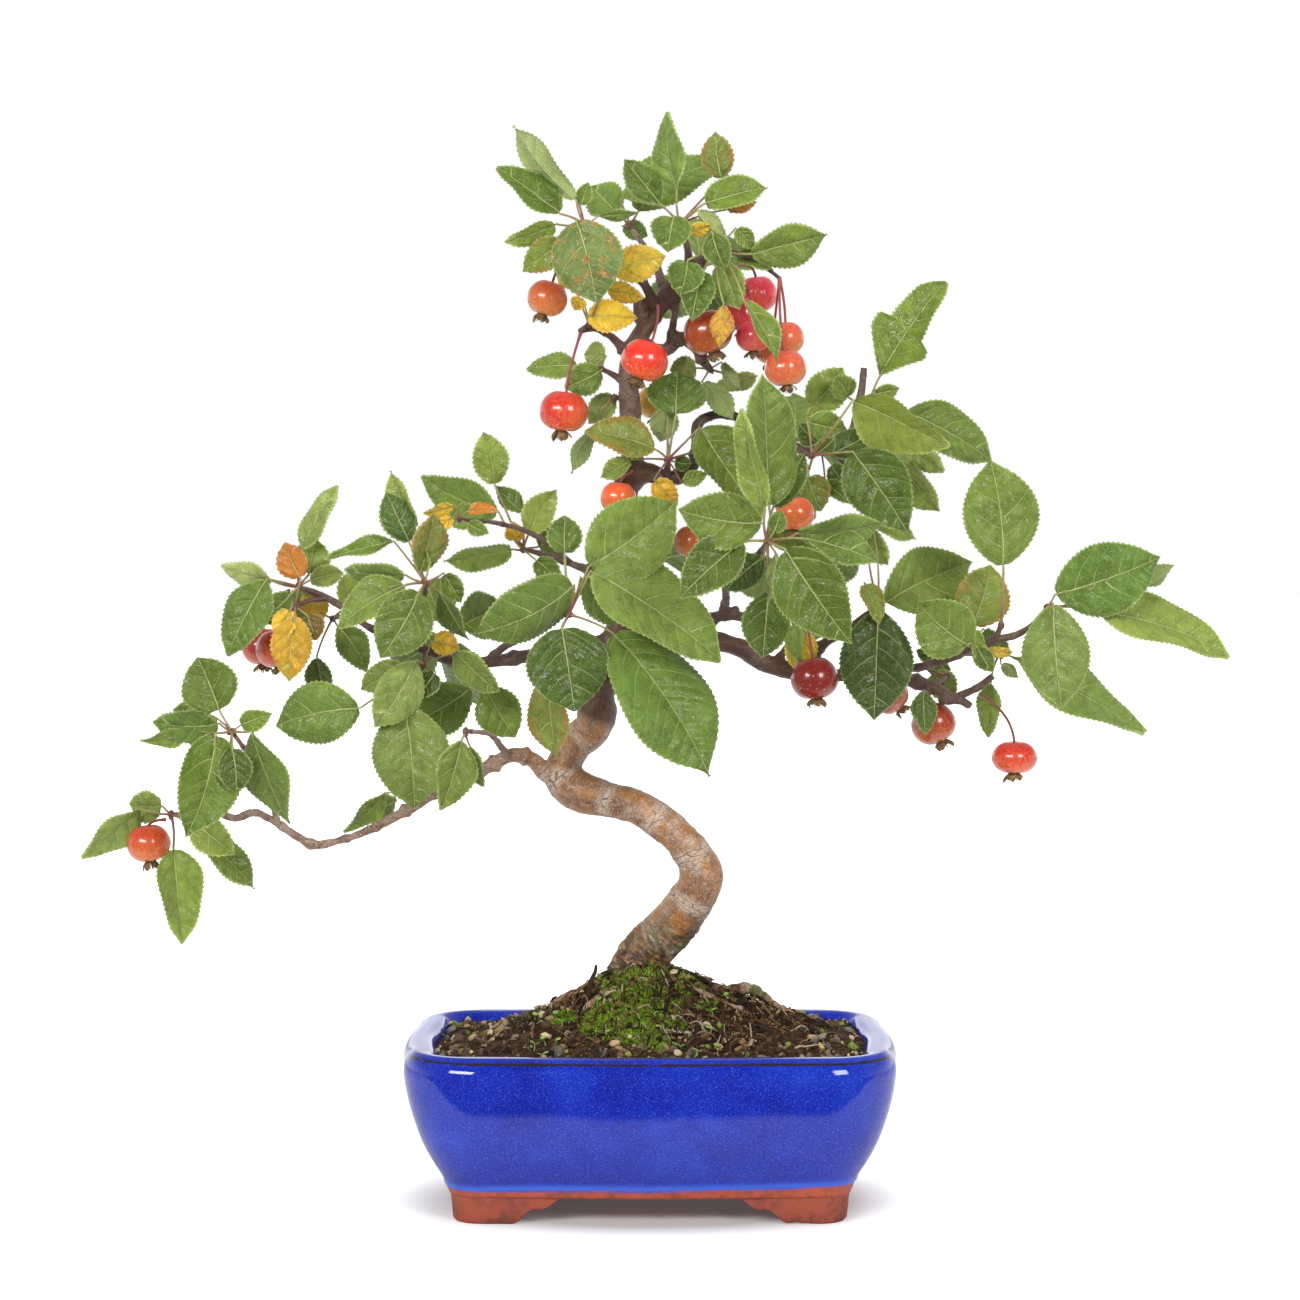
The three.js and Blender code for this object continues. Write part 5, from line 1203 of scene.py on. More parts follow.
@dataclass
class SoilBed:
    """The mound of soil with what lies on it: grit, pebbles, crumbs, moss, rootlets and seedlings."""

    inner: Sequence[tuple[float, float]] = ((24.8, 32.5), (28, 28), (42, 19.5), (60, 15.5), (76, 15.5))
    moss_spots: Sequence[tuple[float, float, float, float]] = (
        (-4, -26, 23, 20), (13, -3, 15, 12), (-16, -8, 10, 9), (2, -46, 12, 7), (-27, -30, 7, 9),
        (30, -18, 6, 5), (-44, -22, 7, 5),
    )
    pebbles: int = 1060
    crumbs: int = 2950
    shoots: int = 13200
    fibres: int = 1320
    seedlings: int = 16
    rng: np.random.Generator = field(default_factory=lambda: np.random.default_rng(11))

    def mossy(self, x: np.ndarray, y: np.ndarray) -> np.ndarray:
        """How mossy a place is, 0 to 1: soft-edged ovals, ragged by noise."""
        ragged = 0.35 * rumple(np.column_stack([x, y, np.zeros(len(x))]), 6.0, 21)
        spots = [1.0 - np.hypot((x - cx) / rx, (y - cy) / ry) for cx, cy, rx, ry in self.moss_spots]
        return ease(np.max(spots, 0) + ragged, -0.02, 0.16)

    def surface(self, x: np.ndarray, y: np.ndarray) -> np.ndarray:
        """The soil's height with its clods: the smooth mound plus noise, most on the mound."""
        flat = np.column_stack([x, y, np.zeros(len(x))])
        on_mound = 0.35 + 0.65 * ease(soil_top(x, y), SOIL_LEVEL + 2.0, SOIL_LEVEL + 14.0)
        clods = 1.5 * rumple(flat, 9.0, 31) + 1.0 * rumple(flat, 4.0, 32) + 0.6 * rumple(flat, 1.9, 33)
        return soil_top(x, y) + clods * on_mound + 0.9 * self.mossy(x, y)

    def bed(self) -> Shell:
        """The soil's body: rings up the pot's inner wall, then across the top towards the middle."""
        rings = []
        for z, inset in self.inner:
            ring = outline(POT_HALF_X - inset - GAP, POT_HALF_Y - inset - GAP, INNER_CORNER, POT_BOW, 32)
            rings.append(np.column_stack([ring, np.full(len(ring), z)]))
        edge = outline(POT_HALF_X - RIM_WIDTH - GAP, POT_HALF_Y - RIM_WIDTH - GAP, INNER_CORNER, POT_BOW, 32)
        for share in np.concatenate([[1.0], np.linspace(0.985, 0.01, 66)]):
            x, y = (edge * share).T
            sunk = 1.2 * ease(np.array([share]), 0.94, 1.0)
            rings.append(np.column_stack([x, y, self.surface(x, y) - sunk]))
        rings = np.array(rings)
        flat = rings.reshape(-1, 3)
        green = self.mossy(flat[:, 0], flat[:, 1]).reshape(rings.shape[:2])
        return ring_solid(rings, {"moss": green})

    def _spots(self, count: int, mound: float) -> np.ndarray:
        """Random places (count, 2) on the soil, `mound` of them drawn towards the trunk."""
        draw = self.rng.uniform(-1.0, 1.0, (count, 2)) * [106.0, 72.0]
        near = self.rng.normal(0.0, 1.0, (count, 2)) * [38.0, 26.0] + [2.0, 0.0]
        spots = np.where(self.rng.random((count, 1)) < mound, near, draw)
        inside = (np.abs(spots[:, 0]) < 106.5) & (np.abs(spots[:, 1]) < 72.5)
        return spots[inside]

    def stones(
        self, count: int, low: float, high: float, tints: Sequence[str], mound: float, fine: int
    ) -> Shell:
        """Scatters lumps on the soil, a third of each sunk in it.

        A lump is a ball cut back to eleven random planes (0.8 over the greatest dot product with their
        normals), roughened by noise and stretched differently along its three axes; sizes are
        low + (high - low) * draw^2.5, so small ones are commonest.

        Args:
            count: how many are tried.
            low: least radius in mm.
            high: greatest radius in mm.
            tints: colours to draw from.
            mound: share of them near the trunk.
            fine: 1 for 20-sided lumps, 2 for 80-sided ones.

        Returns:
            The lumps, with their tints.
        """
        spots = self._spots(count, mound)
        flat_part = soil_top(*spots.T) < SOIL_LEVEL + 9.0
        keep = flat_part | (self.rng.random(len(spots)) < 0.35) | (fine == 1)
        spots = spots[keep]
        radius = low + (high - low) * self.rng.random(len(spots)) ** 2.5
        sizes = radius[:, None] * self.rng.uniform(0.5, 1.3, (len(spots), 3))
        places = np.column_stack([spots, self.surface(*spots.T) + 0.15 * radius])
        turns = standing(self.rng.normal(size=(len(spots), 3)), self.rng.uniform(0, 6.28, len(spots)))
        codes = np.array([rgb(t) for t in tints])
        parts = []
        for kind in range(4):
            lump = ball(fine)
            faces = unit(self.rng.normal(size=(11, 3)))
            cut = 0.8 / np.maximum(lump.points @ faces.T, 0.01).max(1)
            lump.points *= np.clip(cut, 0.72, 1.2)[:, None]
            lump.points *= 1.0 + 0.12 * rumple(lump.points * 3.0 + kind * 7.0, 1.9, kind)[:, None]
            mine = np.arange(len(spots)) % 4 == kind
            part = scattered(lump, places[mine], sizes[mine], turns[mine])
            chosen = codes[self.rng.integers(0, len(codes), mine.sum())]
            chosen = chosen * self.rng.uniform(0.6, 1.15, (mine.sum(), 1))
            part.values = {"tint": np.repeat(chosen, len(lump.points), 0)}
            parts.append(part)
        return joined(parts)

    def moss(self) -> Shell:
        """Moss: three-sided shoots 0.8 to 2.4 mm high that lean every way, thickest on the moss spots."""
        spots = self._spots(self.shoots * 5, 0.85)
        chance = self.mossy(*spots.T) + 0.012
        spots = spots[self.rng.random(len(spots)) < chance][: self.shoots]
        tall = self.rng.uniform(0.8, 2.4, len(spots))
        foot = self.rng.uniform(0.22, 0.42, len(spots))
        lean = self.rng.normal(0.0, 0.55, (len(spots), 3)) + [0.0, -0.25, 1.0]
        places = np.column_stack([spots, self.surface(*spots.T) - 0.2])
        sizes = np.column_stack([foot, foot, tall])
        shell = scattered(spike(), places, sizes, standing(lean, self.rng.uniform(0, 6.28, len(spots))))
        codes = np.array([rgb(t) for t in ("#6F9414", "#557A14", "#8CAC2C", "#426014", "#A2B63E")])
        chosen = codes[self.rng.integers(0, len(codes), len(spots))]
        chosen = chosen * self.rng.uniform(0.6, 1.2, (len(spots), 1))
        shell.values = {"tint": np.repeat(chosen, 4, 0)}
        return shell

    def strands(self) -> Shell:
        """Rootlets and dead stalks: thin bent tubes; each is a short walk over the soil that rises and
        dips as a sine."""
        parts = []
        codes = (
            "#A89A80", "#5E4630", "#1E1611", "#442C22", "#5A422C", "#2C1E16", "#7C6240", "#34241A",
            "#241A14",
        )
        tints = [rgb(code) for code in codes]
        for i in range(self.fibres):
            stalk = i % 22 == 2  # one in 22 is a dead stalk, longer and stouter
            start = np.clip(self.rng.normal(0.0, 1.0, 2) * [34.0, 24.0] + [8.0, -6.0], [-85, -50], [85, 50])
            heading = self.rng.uniform(0.0, 2.0 * math.pi)
            reach = self.rng.uniform(4.0, 15.0) * (1.5 if stalk else 1.0)
            w = np.linspace(0.0, 1.0, 6)
            turn = heading + self.rng.uniform(-1.6, 1.6) * w
            x = start[0] + np.cumsum(np.cos(turn)) * reach / 6.0
            y = start[1] + np.cumsum(np.sin(turn)) * reach / 6.0
            rise = self.rng.uniform(-0.5, 3.2) * np.sin(math.pi * w * self.rng.uniform(0.6, 1.3))
            path = np.column_stack([x, y, self.surface(x, y) + 0.1 + rise])
            stout = 2.6 if stalk else 1.0
            part = tube(path, np.linspace(0.34, 0.12, 6) * self.rng.uniform(0.7, 1.5) * stout, 4)
            part.dye(tints[i % len(tints)])
            parts.append(part)
        path = np.array([[-31, -14, 106], [-30, -15, 113], [-27.5, -15, 118], [-27, -15.5, 121.5]])
        stub = tube(path, [1.5, 1.2, 1.0, 0.7], 7)
        stub.dye(rgb("#3A2A20"))
        return joined([*parts, stub])

    def weeds(self) -> Shell:
        """Seedlings: pairs of small round seed leaves, each a thin lens, on a short thread of a stem."""
        parts = []
        lens = ball(2)
        for _ in range(self.seedlings):
            x, y = self.rng.uniform(-1.0, 1.0, 2) * [60.0, 30.0] + [0.0, -34.0]
            foot = np.array([x, y, float(self.surface(np.array([x]), np.array([y]))[0])])
            top = foot + [self.rng.normal(0, 1.0), self.rng.normal(0, 1.0), self.rng.uniform(2.0, 4.5)]
            parts.append(tube(np.array([foot - [0, 0, 1], 0.5 * (foot + top) + [0.3, 0, 0], top]), 0.3, 5))
            heading = self.rng.uniform(0.0, math.pi)
            for side in (-1.0, 1.0):
                out = np.array([math.cos(heading), math.sin(heading), 0.25]) * side
                tilt = standing(np.array([[-0.4 * out[0], -0.4 * out[1], 1.0]]), np.array([0.0]))
                size = self.rng.uniform(1.1, 1.9)
                parts.append(scattered(lens, (top + out * size)[None], np.array([[size, size, 0.25]]), tilt))
        shell = joined(parts)
        shell.values = {}
        shell.dye(rgb("#7FA046"))
        return shell

    def build(self) -> None:
        """Makes the bed and everything on it."""
        finished_piece("soil_bed", self.bed(), [DampGrit().material()], ["soil"])
        gravel = Tinted("river_grit", 1.2, 0.75, 0.3).material()
        tans = [
            "#B0946A", "#947A56", "#787064", "#C6B28C", "#66584A", "#887A6A", "#463828", "#7C8A38",
            "#5A4636",
        ]
        finished_piece("grit_pebbles", self.stones(self.pebbles, 0.6, 3.1, tans, 0.1, 2), [gravel])
        earths = ["#3A2A1C", "#57412C", "#241A12", "#6E5638", "#8A7350", "#2C2018"]
        humus = Tinted("crumbled_humus", 0.8, 0.92, 0.2).material()
        finished_piece("soil_crumbs", self.stones(self.crumbs, 0.5, 1.8, earths, 0.75, 1), [humus])
        finished_piece("moss_cushion", self.moss(), [Tinted("star_moss", 1.5, 0.8, 0.15).material()])
        finished_piece("rootlets", self.strands(), [humus])
        finished_piece("seedlings", self.weeds(), [Tinted("seedling_leaf", 1.5, 0.45).material()])


# ---- The wood ------------------------------------------------------------------------------------
class Run(NamedTuple):
    """A stretch of wood: samples (x, y, z, radius) in mm along its middle, and the age of its bark."""

    line: np.ndarray
    age: np.ndarray


@dataclass
class Wood:
    """Trunk, limbs, twigs and surface roots.

    Stout wood is tubes fused on a fine grid and then given bark relief; twigs are knobbly tubes whose
    feet are sunk in the stout wood.
    """

    trunk: Sequence[tuple[float, ...]]
    branches: Sequence[Sequence[tuple[float, ...]]]
    roots: Sequence[Sequence[tuple[float, ...]]]
    collar_pitch: float = 17.0
    stout: float = 1.95
    voxel: float = 1.1
    step: float = 1.4

    def runs(self) -> tuple[list[Run], list[Run]]:
        """Splits the wood into stout runs and twigs.

        Returns:
            The two lists. Bark age is 0 where the radius is 7 mm and 1 where it is 1.6 mm.
        """
        lines = [np.array(self.trunk, float)]
        lines += [np.array(rows, float) for rows in self.branches]
        placed = [np.column_stack([place(*rows[:, :3].T), rows[:, 3]]) for rows in lines]
        for rows in self.roots:
            x, y, radius = np.array(rows, float).T
            z = soil_top(x, y) + 0.1 * radius - 2.0 * hump(x, -8.0, 12.0) + 4.0 * hump(x, 52.0, 9.0)
            placed.append(np.column_stack([x, y, z, radius]))
        thick, thin = [], []
        for number, rows in enumerate(placed):
            line = flowing(rows, self.step)
            age = ease(line[:, 3], 7.0, 1.6) * (0.35 if number > len(self.branches) else 1.0)
            stout = np.flatnonzero(line[:, 3] >= self.stout)
            last = stout[-1] + 1 if len(stout) and stout[0] < 4 else 0
            if last > 3:
                thick.append(Run(line[:last], age[:last]))
            if last < len(line) - 2:
                begin = max(0, last - 3)
                thin.append(Run(line[begin:], age[begin:]))
        return thick, thin

    def _fused(self, thick: Sequence[Run]) -> Shell:
        """The stout runs as one skin, remeshed on a fine grid and relaxed."""
        tubes = [tube(run.line[:, :3], run.line[:, 3], 16) for run in thick]
        for shell in tubes:
            shell.values = {}
        piece = bpy.data.objects.new("work_wood", raw_mesh("work_wood", joined(tubes)))
        bpy.context.scene.collection.objects.link(piece)
        remesh = piece.modifiers.new("fuse", "REMESH")
        remesh.mode = "VOXEL"
        remesh.voxel_size = self.voxel * MM
        relax = piece.modifiers.new("relax", "SMOOTH")
        relax.factor = 0.5
        relax.iterations = 4
        mesh = finished_mesh(piece)
        bpy.data.objects.remove(piece)
        return read_shell(mesh)

    def _nearest(self, points: np.ndarray, thick: Sequence[Run]) -> tuple[np.ndarray, ...]:
        """Finds, for each point, the run whose skin is nearest.

        Args:
            points: (n, 3) places on the fused skin.
            thick: the stout runs.

        Returns:
            Bark places (n, 3): across and up the limb's own two side directions, then mm along it;
            radii (n,); ages (n,).
        """
        centres = np.concatenate([run.line[:, :3] for run in thick])
        radii = np.concatenate([run.line[:, 3] for run in thick])
        ages = np.concatenate([run.age for run in thick])
        tangents, firsts, reaches = [], [], []
        for number, run in enumerate(thick):
            along = unit(np.gradient(run.line[:, :3], axis=0))
            axis = np.eye(3)[np.argmin(np.abs(along).mean(0))]
            firsts.append(unit(axis - (along @ axis)[:, None] * along))
            tangents.append(along)
            reaches.append(lengths(run.line[:, :3]) + RUN_OFFSET * number)
        tangent = np.concatenate(tangents)
        first = np.concatenate(firsts)
        length = np.concatenate(reaches)
        best = np.empty(len(points), int)
        for start in range(0, len(points), 4000):
            block = points[start : start + 4000]
            gaps = np.linalg.norm(block[:, None] - centres[None], axis=2) - radii[None]
            best[start : start + 4000] = np.argmin(gaps, axis=1)
        offset = points - centres[best]
        second = np.cross(tangent[best], first[best])
        limb = np.column_stack(
            [
                (offset * first[best]).sum(1),
                (offset * second).sum(1),
                length[best] + (offset * tangent[best]).sum(1),
            ]
        )
        return limb, radii[best], ages[best]

    def _bark_dark_and_shade(self, points: np.ndarray) -> np.ndarray:
        """How dark the bark is: 0 to 1 over 5 mm across a slant through the bend 240 mm up, with slow
        blotches; partly the bark's own colour and partly painted shade under the leaves."""
        blotch = 0.8 + 0.2 * rumple(points, 22.0, 71)
        slant = points[:, 2] + 0.41 * np.clip(points[:, 0], -45.0, 0.0)
        return ease(slant, 230.5, 235.5) * blotch * ease(points[:, 2], 500.0, 470.0)

    def stout_wood(self, thick: Sequence[Run]) -> Shell:
        """The fused wood with bark relief along its normals.

        Relief is the sum of slow muscle-like swellings, fine rings (noise squeezed along the limb),
        small warts, evenly spaced collars on the limbs, and cracks (the zero line of noise) where it
        meets the ground.
        """
        shell = self._fused(thick)
        mesh = raw_mesh("work_bark", shell)
        normals = np.empty(3 * len(mesh.vertices), np.float32)
        mesh.vertex_normals.foreach_get("vector", normals)
        normals = normals.reshape(-1, 3).astype(float)
        bpy.data.meshes.remove(mesh)
        limb, radius, age = self._nearest(shell.points, thick)
        foot = ease(shell.points[:, 2], 153.0, 124.0) * ease(radius, 1.0, 3.0)
        stoutness = np.clip(radius / 9.0, 0.12, 1.3)
        swell = 0.85 * rumple(limb * [0.8, 0.8, 0.5], 8.0, 41) * stoutness
        rings = 0.2 * rumple(limb * [0.12, 0.12, 1.0], 1.8, 42)
        rings = rings + 0.4 * rumple(limb * [0.1, 0.1, 1.0], 5.0, 43)
        warts = 0.5 * rumple(shell.points, 2.6, 44) ** 3 + 0.3 * age * rumple(shell.points, 3.4, 47)
        furrow = -1.2 * ease(np.abs(rumple(limb * [0.5, 0.5, 0.5], 3.0, 45)), 0.22, 0.0) * foot
        ragged = 0.5 * rumple(shell.points, 3.0, 46) * foot
        shaken = (limb[:, 2] + 3.0 * rumple(shell.points, 30.0, 48)) / self.collar_pitch
        place_in_pitch = (shaken % 1.0 - 0.5) * self.collar_pitch
        nodes = (0.6 + 0.25 * radius) * hump(place_in_pitch, 0.0, 1.8) * ease(age, 0.25, 0.6)
        nodes = nodes * (0.6 + 0.6 * rumple(shell.points, 7.0, 49))
        relief = swell + rings * np.clip(stoutness, 0.3, 0.8) + warts + nodes + furrow + ragged
        shell.points = shell.points + normals * relief[:, None]
        shell.values = {"limb": limb, "age": age, "foot": foot, "dusk": self._bark_dark_and_shade(shell.points)}
        return shell

    def twigs(self, thin: Sequence[Run]) -> Shell:
        """The twigs: tubes whose radius swells at bud scars every 9 to 14 mm and wavers between."""
        parts = []
        for number, run in enumerate(thin):
            line = run.line
            along = lengths(line[:, :3])
            pitch = 9.0 + 5.0 * ((number * 0.618) % 1.0)
            scar = hump(np.abs((along / pitch + 0.3 * number) % 1.0 - 0.5) * pitch, 0.0, 1.1)
            waver = 0.1 * rumple(np.column_stack([along, 9.0 * number + 0 * along, 0 * along]), 4.0, 51)
            radius = line[:, 3] * (1.0 + waver) + 0.28 * scar
            kink = 0.35 * rumple(line[:, :3], 6.0, 52)[:, None] * [0.0, 1.0, 0.6]
            fade = np.sin(math.pi * np.clip(along / along[-1], 0.0, 1.0))[:, None]
            part = tube(line[:, :3] + kink * fade, radius, 9)
            part.values["age"] = np.concatenate([np.repeat(run.age, 9), run.age[[0, -1]]])
            part.values["dusk"] = self._bark_dark_and_shade(part.points)
            parts.append(part)
        return joined(parts)

    def build(self) -> None:
        """Makes the wood as one piece."""
        thick, thin = self.runs()
        shells = [self.stout_wood(thick), self.twigs(thin)]
        finished_piece("trunk_and_limbs", joined(shells), [AppleBark().material()], ["trunk"], 60.0)


# ---- The leaves ----------------------------------------------------------------------------------
class Look(Enum):
    """What a leaf is like: its commonest tints, how far it has turned and how red its edge is.

    Members hold (tints, yellowing 0..1, red edge 0..1).
    """

    GREEN = (("#667E31", "#5E762A", "#70883C"), 0.0, 0.0)
    DARK = (("#4F6823", "#48611E", "#577029"), 0.0, 0.0)
    LIGHT = (("#788E3B", "#718835", "#829648"), 0.05, 0.0)
    YELLOW = (("#E0BC34", "#DAB02A", "#D09E20"), 0.45, 0.3)
    ORANGE = (("#C88A20", "#B87424", "#D0A032"), 0.9, 0.8)
    BROWN = (("#7A5C2C", "#6C4C26", "#847234"), 0.9, 0.6)
    RED_EDGED = (("#748436", "#7C8A3A", "#6E7E34"), 0.4, 0.6)
    PALE_BACK = (("#8A9C5C", "#96A468", "#80924E"), 0.0, 0.0)
    LOBED = (("#687F34", "#687F34", "#687F35"), 0.0, 0.0)
    HUMPED = (("#64793A", "#607636", "#687E3C"), 0.0, 0.0)
    FRESH = (("#92A45A", "#889C4E", "#9CA866"), 0.1, 0.0)
    DEEP = (("#3C5218", "#364C16", "#435A1E"), 0.0, 0.0)
    SPOTTED = (("#62703A", "#62703A", "#62703B"), 0.95, 0.0)


LOOKS = dict(zip("gdlyobrptqfks", Look))


class Leaf(NamedTuple):
    """One leaf on the upright plane: base and tip, width as seen, how much deeper than its bud each
    end lies, and the letter of its look."""

    base_u: float
    base_v: float
    tip_u: float
    tip_v: float
    width: float
    base_d: float
    tip_d: float
    look: str


class Spray(NamedTuple):
    """Leaves that spring from one bud at (u, v, d); each is a row of what a Leaf holds."""

    name: str
    bud: tuple[float, float, float]
    leaves: Sequence[tuple[float | str, ...]]


@dataclass
class Foliage:
    """Every spray: buds, stems and toothed, veined blades."""

    sprays: Sequence[Spray]
    back_fans: Sequence[tuple[str, tuple[float, float, float], int, int]]
    yellow_sprays: Sequence[str]
    length_share: float = 0.6
    least_seen: float = 0.72
    fold: float = 0.2
    arch: float = 0.07
    wave: float = 0.035
    sickle: float = 0.045
    leaf_thickness: float = 0.42
    rib: float = 0.55
    tooth_pitch: float = 2.42
    tooth: float = 0.95
    quilt: float = 0.55
    curl: float = 0.14
    vein_pitch: float = 8.8
    bud_radius: float = 2.3
    stem_radius: float = 0.72
    columns: Sequence[float] = (-1.0, -0.93, -0.74, -0.5, -0.27, -0.07, 0.0)
    lobes: Sequence[Sequence[tuple[float, float]]] = (
        ((0, 0), (0.18, 0.145), (0.336, 0.259), (0.472, 0.272), (0.49, 0.17), (0.59, 0.185), (0.72, 0.18),
         (0.842, 0.156), (0.93, 0.09), (1, 0)),
        ((0, 0), (0.074, 0.082), (0.228, 0.207), (0.345, 0.326), (0.42, 0.3), (0.45, 0.2), (0.585, 0.19),
         (0.785, 0.145), (0.92, 0.08), (1, 0)),
    )

    def fans(self) -> list[Spray]:
        """The sprays at the back: leaves fanned round a bud, laid out by a small repeatable draw."""
        made = []
        for name, bud, count, seed in self.back_fans:
            state = seed * 7919.0 + 17.0
            draws = []
            for _ in range(5 * count):
                state = math.fmod(state * 1103515245.0 + 12345.0, 2147483648.0)
                draws.append(state / 2147483648.0)
            turn, out, length, lean, width = np.array(draws).reshape(count, 5).T
            turn = 2.0 * math.pi * (np.arange(count) + 0.5 * turn) / count
            out = 0.3 * (14.0 + 8.0 * out)
            length = 20.0 + 9.0 * length
            base_u = bud[0] + out * np.cos(turn)
            base_v = bud[1] + out * np.sin(turn)
            rows = np.column_stack(
                [
                    base_u,
                    base_v,
                    base_u + length * np.cos(turn),
                    base_v + length * np.sin(turn) - 5.0,
                    22.0 + 5.0 * width,
                    np.full(count, 8.0),
                    30.0 + 20.0 * lean,
                ]
            )
            leaves = [Leaf(*row, "d" if i % 3 == 0 else "g") for i, row in enumerate(rows)]
            made.append(Spray(name, bud, leaves))
        return made

    def _frame(
        self, leaf: Leaf, depth: float, index: int
    ) -> tuple[np.ndarray, np.ndarray, np.ndarray, np.ndarray, float]:
        """A leaf's own axes.

        The chord runs base to tip; the face looks at the viewer as squarely as the chord lets it, and
        is rolled about the chord until a blade of the usual breadth looks as narrow as this one.

        Args:
            leaf: its row.
            depth: the bud's depth.
            index: its place in the spray; odd ones roll the other way.

        Returns:
            Base point, chord, across, normal, and half the real width.
        """
        base = place(leaf.base_u, leaf.base_v, depth + leaf.base_d)
        chord = place(leaf.tip_u, leaf.tip_v, depth + leaf.tip_d) - base
        length = np.linalg.norm(chord)
        along = chord / length
        toward = np.array([0.0, -1.0, 0.0])
        facing = unit(toward - (toward @ along) * along)
        seen = min(1.0, max(self.least_seen, leaf.width / (self.length_share * length)))
        roll = math.acos(seen) * (1.0 if index % 2 == 0 else -1.0)
        side = np.cross(along, facing)
        across = side * math.cos(roll) + facing * math.sin(roll)
        normal = facing * math.cos(roll) - side * math.sin(roll)
        return base, chord, across, normal, leaf.width / 2.0 / math.cos(roll)

    def blade(self, leaf: Leaf, depth: float, index: int, rng: np.random.Generator) -> Shell:
        """One blade: a thin closed shell with a toothed edge.

        The half width is sin(pi * s^e)^f of the widest, drawn in near the tip: e, which sets how far
        out it is widest, differs from leaf to leaf, and f is lower on broad leaves, which makes them
        fuller. A lobed leaf follows the tables in `lobes`. Teeth rise slowly and drop fast. The surface
        is the chord plus an arch, a fold about the midrib that sinks it as much as it lifts the edges,
        an edge wave, a curl that grows as the fifth power of the distance out, cushions between the
        side veins and a groove along the midrib; the back keeps a rib.

        Args:
            leaf: its row.
            depth: its bud's depth.
            index: its place in the spray.
            rng: random draws.

        Returns:
            The blade, with "vein", "reach", "tint" and "mood".
        """
        look = LOOKS[leaf.look].value
        base, chord, across, normal, half = self._frame(leaf, depth, index)
        length = float(np.linalg.norm(chord))
        teeth = int(np.clip(round(length / self.tooth_pitch), 7, 28))
        within = np.array([0.0, 0.42, 0.78])
        s = ((np.arange(teeth)[:, None] + within) / teeth).ravel()
        saw = np.tile([0.0, 0.5, 1.0], teeth)
        s = np.concatenate([s[1:] * 0.995 + 0.002, [0.9985]])
        saw = np.concatenate([saw[1:], [0.0]])
        broad = float(ease(np.array(2.0 * half / length), 0.45, 0.85))
        draw = (abs(leaf.base_u) * 0.371 + abs(leaf.tip_v) * 0.613) % 1.0
        profile = np.sin(math.pi * s ** (0.74 + 0.2 * draw)) ** (0.95 - 0.25 * broad)
        profile = profile * (1.0 - 0.28 * ease(s, 0.82, 1.0))
        left = np.array(self.columns)
        t = np.concatenate([left, -left[-2::-1]])[None, :]
        s2 = s[:, None]
        reach = half * profile[:, None] * t
        if leaf.look == "t":
            sides = [length * np.interp(s, *np.array(rows).T)[:, None] for rows in self.lobes]
            reach = np.where(t < 0.0, *sides) * t
        edge = (np.abs(t) > 0.99) * np.sign(t)
        toothed = edge * self.tooth * min(1.0, half / 9.0) * (saw * ease(profile, 0.1, 0.4))[:, None]
        upper = -1.0 if leaf.look == "p" else 1.0
        hollow = -1.0 if leaf.look in "pq" else 1.0
        phase = 6.28 * ((index * 0.6180339887) % 1.0)
        waved = self.wave * length * np.sin(9.0 * s2 + phase + 1.6 * t) * t * t
        other = (abs(leaf.tip_u) * 0.217 + abs(leaf.base_v) * 0.457) % 1.0
        fold = self.fold * (0.5 + 1.2 * other) * (np.abs(reach) - 0.45 * half * profile[:, None] ** 2)
        curled = self.curl * (1.0 - 2.6 * draw) * half * np.abs(t) ** 5 * profile[:, None]
        rise = self.arch * length * 4.0 * s2 * (1.0 - s2) + hollow * (fold + waved + curled)
        pairs = max(4.0, round(length / self.vein_pitch))
        start = s2 - (0.42 * np.abs(reach) + 0.55 * reach**2 / half) / length
        uneven = 0.22 * np.sin(7.0 * start + 2.1 * index) + 0.1 * np.sin(19.0 * start + index)
        count = start * pairs + uneven + (0.25 + 0.07 * math.sin(index)) * np.sign(t) + 0.37 * index
        cushion = np.sin(math.pi * count) ** 2 * ease(np.abs(t), 0.04, 0.3) * ease(np.abs(t), 1.0, 0.84)
        cushion = cushion * ease(profile, 0.12, 0.5)[:, None] * min(1.0, half / 10.0)
        groove = hump(reach, 0.0, 0.6) * ease(s2, 1.0, 0.85)
        rise = rise + upper * (self.quilt * cushion - 0.3 * groove)
        hook = rng.uniform(-1.0, 1.0) * self.sickle * length * 4.0 * s2 * (1.0 - s2)
        sideways = reach + toothed + hook
        middle = base + s2[..., None] * chord + across * sideways[..., None] + normal * rise[..., None]
        thin = self.leaf_thickness * (0.45 + 0.55 * ease(np.abs(t), 1.0, 0.7)) * np.ones_like(reach)
        ribbed = self.rib * groove * ease(s2, 1.0, 0.1)
        front = middle + normal * (thin / 2.0 + (ribbed if upper < 0 else 0.0))[..., None]
        back = middle - normal * (thin / 2.0 + (ribbed if upper > 0 else 0.0))[..., None]
        rings = np.concatenate([front, back[:, ::-1]], 1)
        tint = rgb(look[0][rng.integers(0, 3)]) * rng.uniform(0.88, 1.14)
        tint = tint * [0.8 + 0.17 * other, 0.87, 0.5 + 0.3 * draw]
        patchy = 1.0 + 0.12 * rumple(middle.reshape(-1, 3), 14.0, index)[:, None]
        tints = (tint * patchy).reshape(*reach.shape, 3)
        both = np.stack([count, t * np.ones_like(s2), s2 * np.ones_like(t)], -1)
        top = np.full(reach.shape, 1.0 if upper > 0 else 0.0)
        turned = look[1] * rng.uniform(0.6, 1.1)
        spent = [np.full(reach.shape, turned), np.full(reach.shape, look[2])]
        mood = [np.stack([side, *spent], -1) for side in (top, 1.0 - top)]
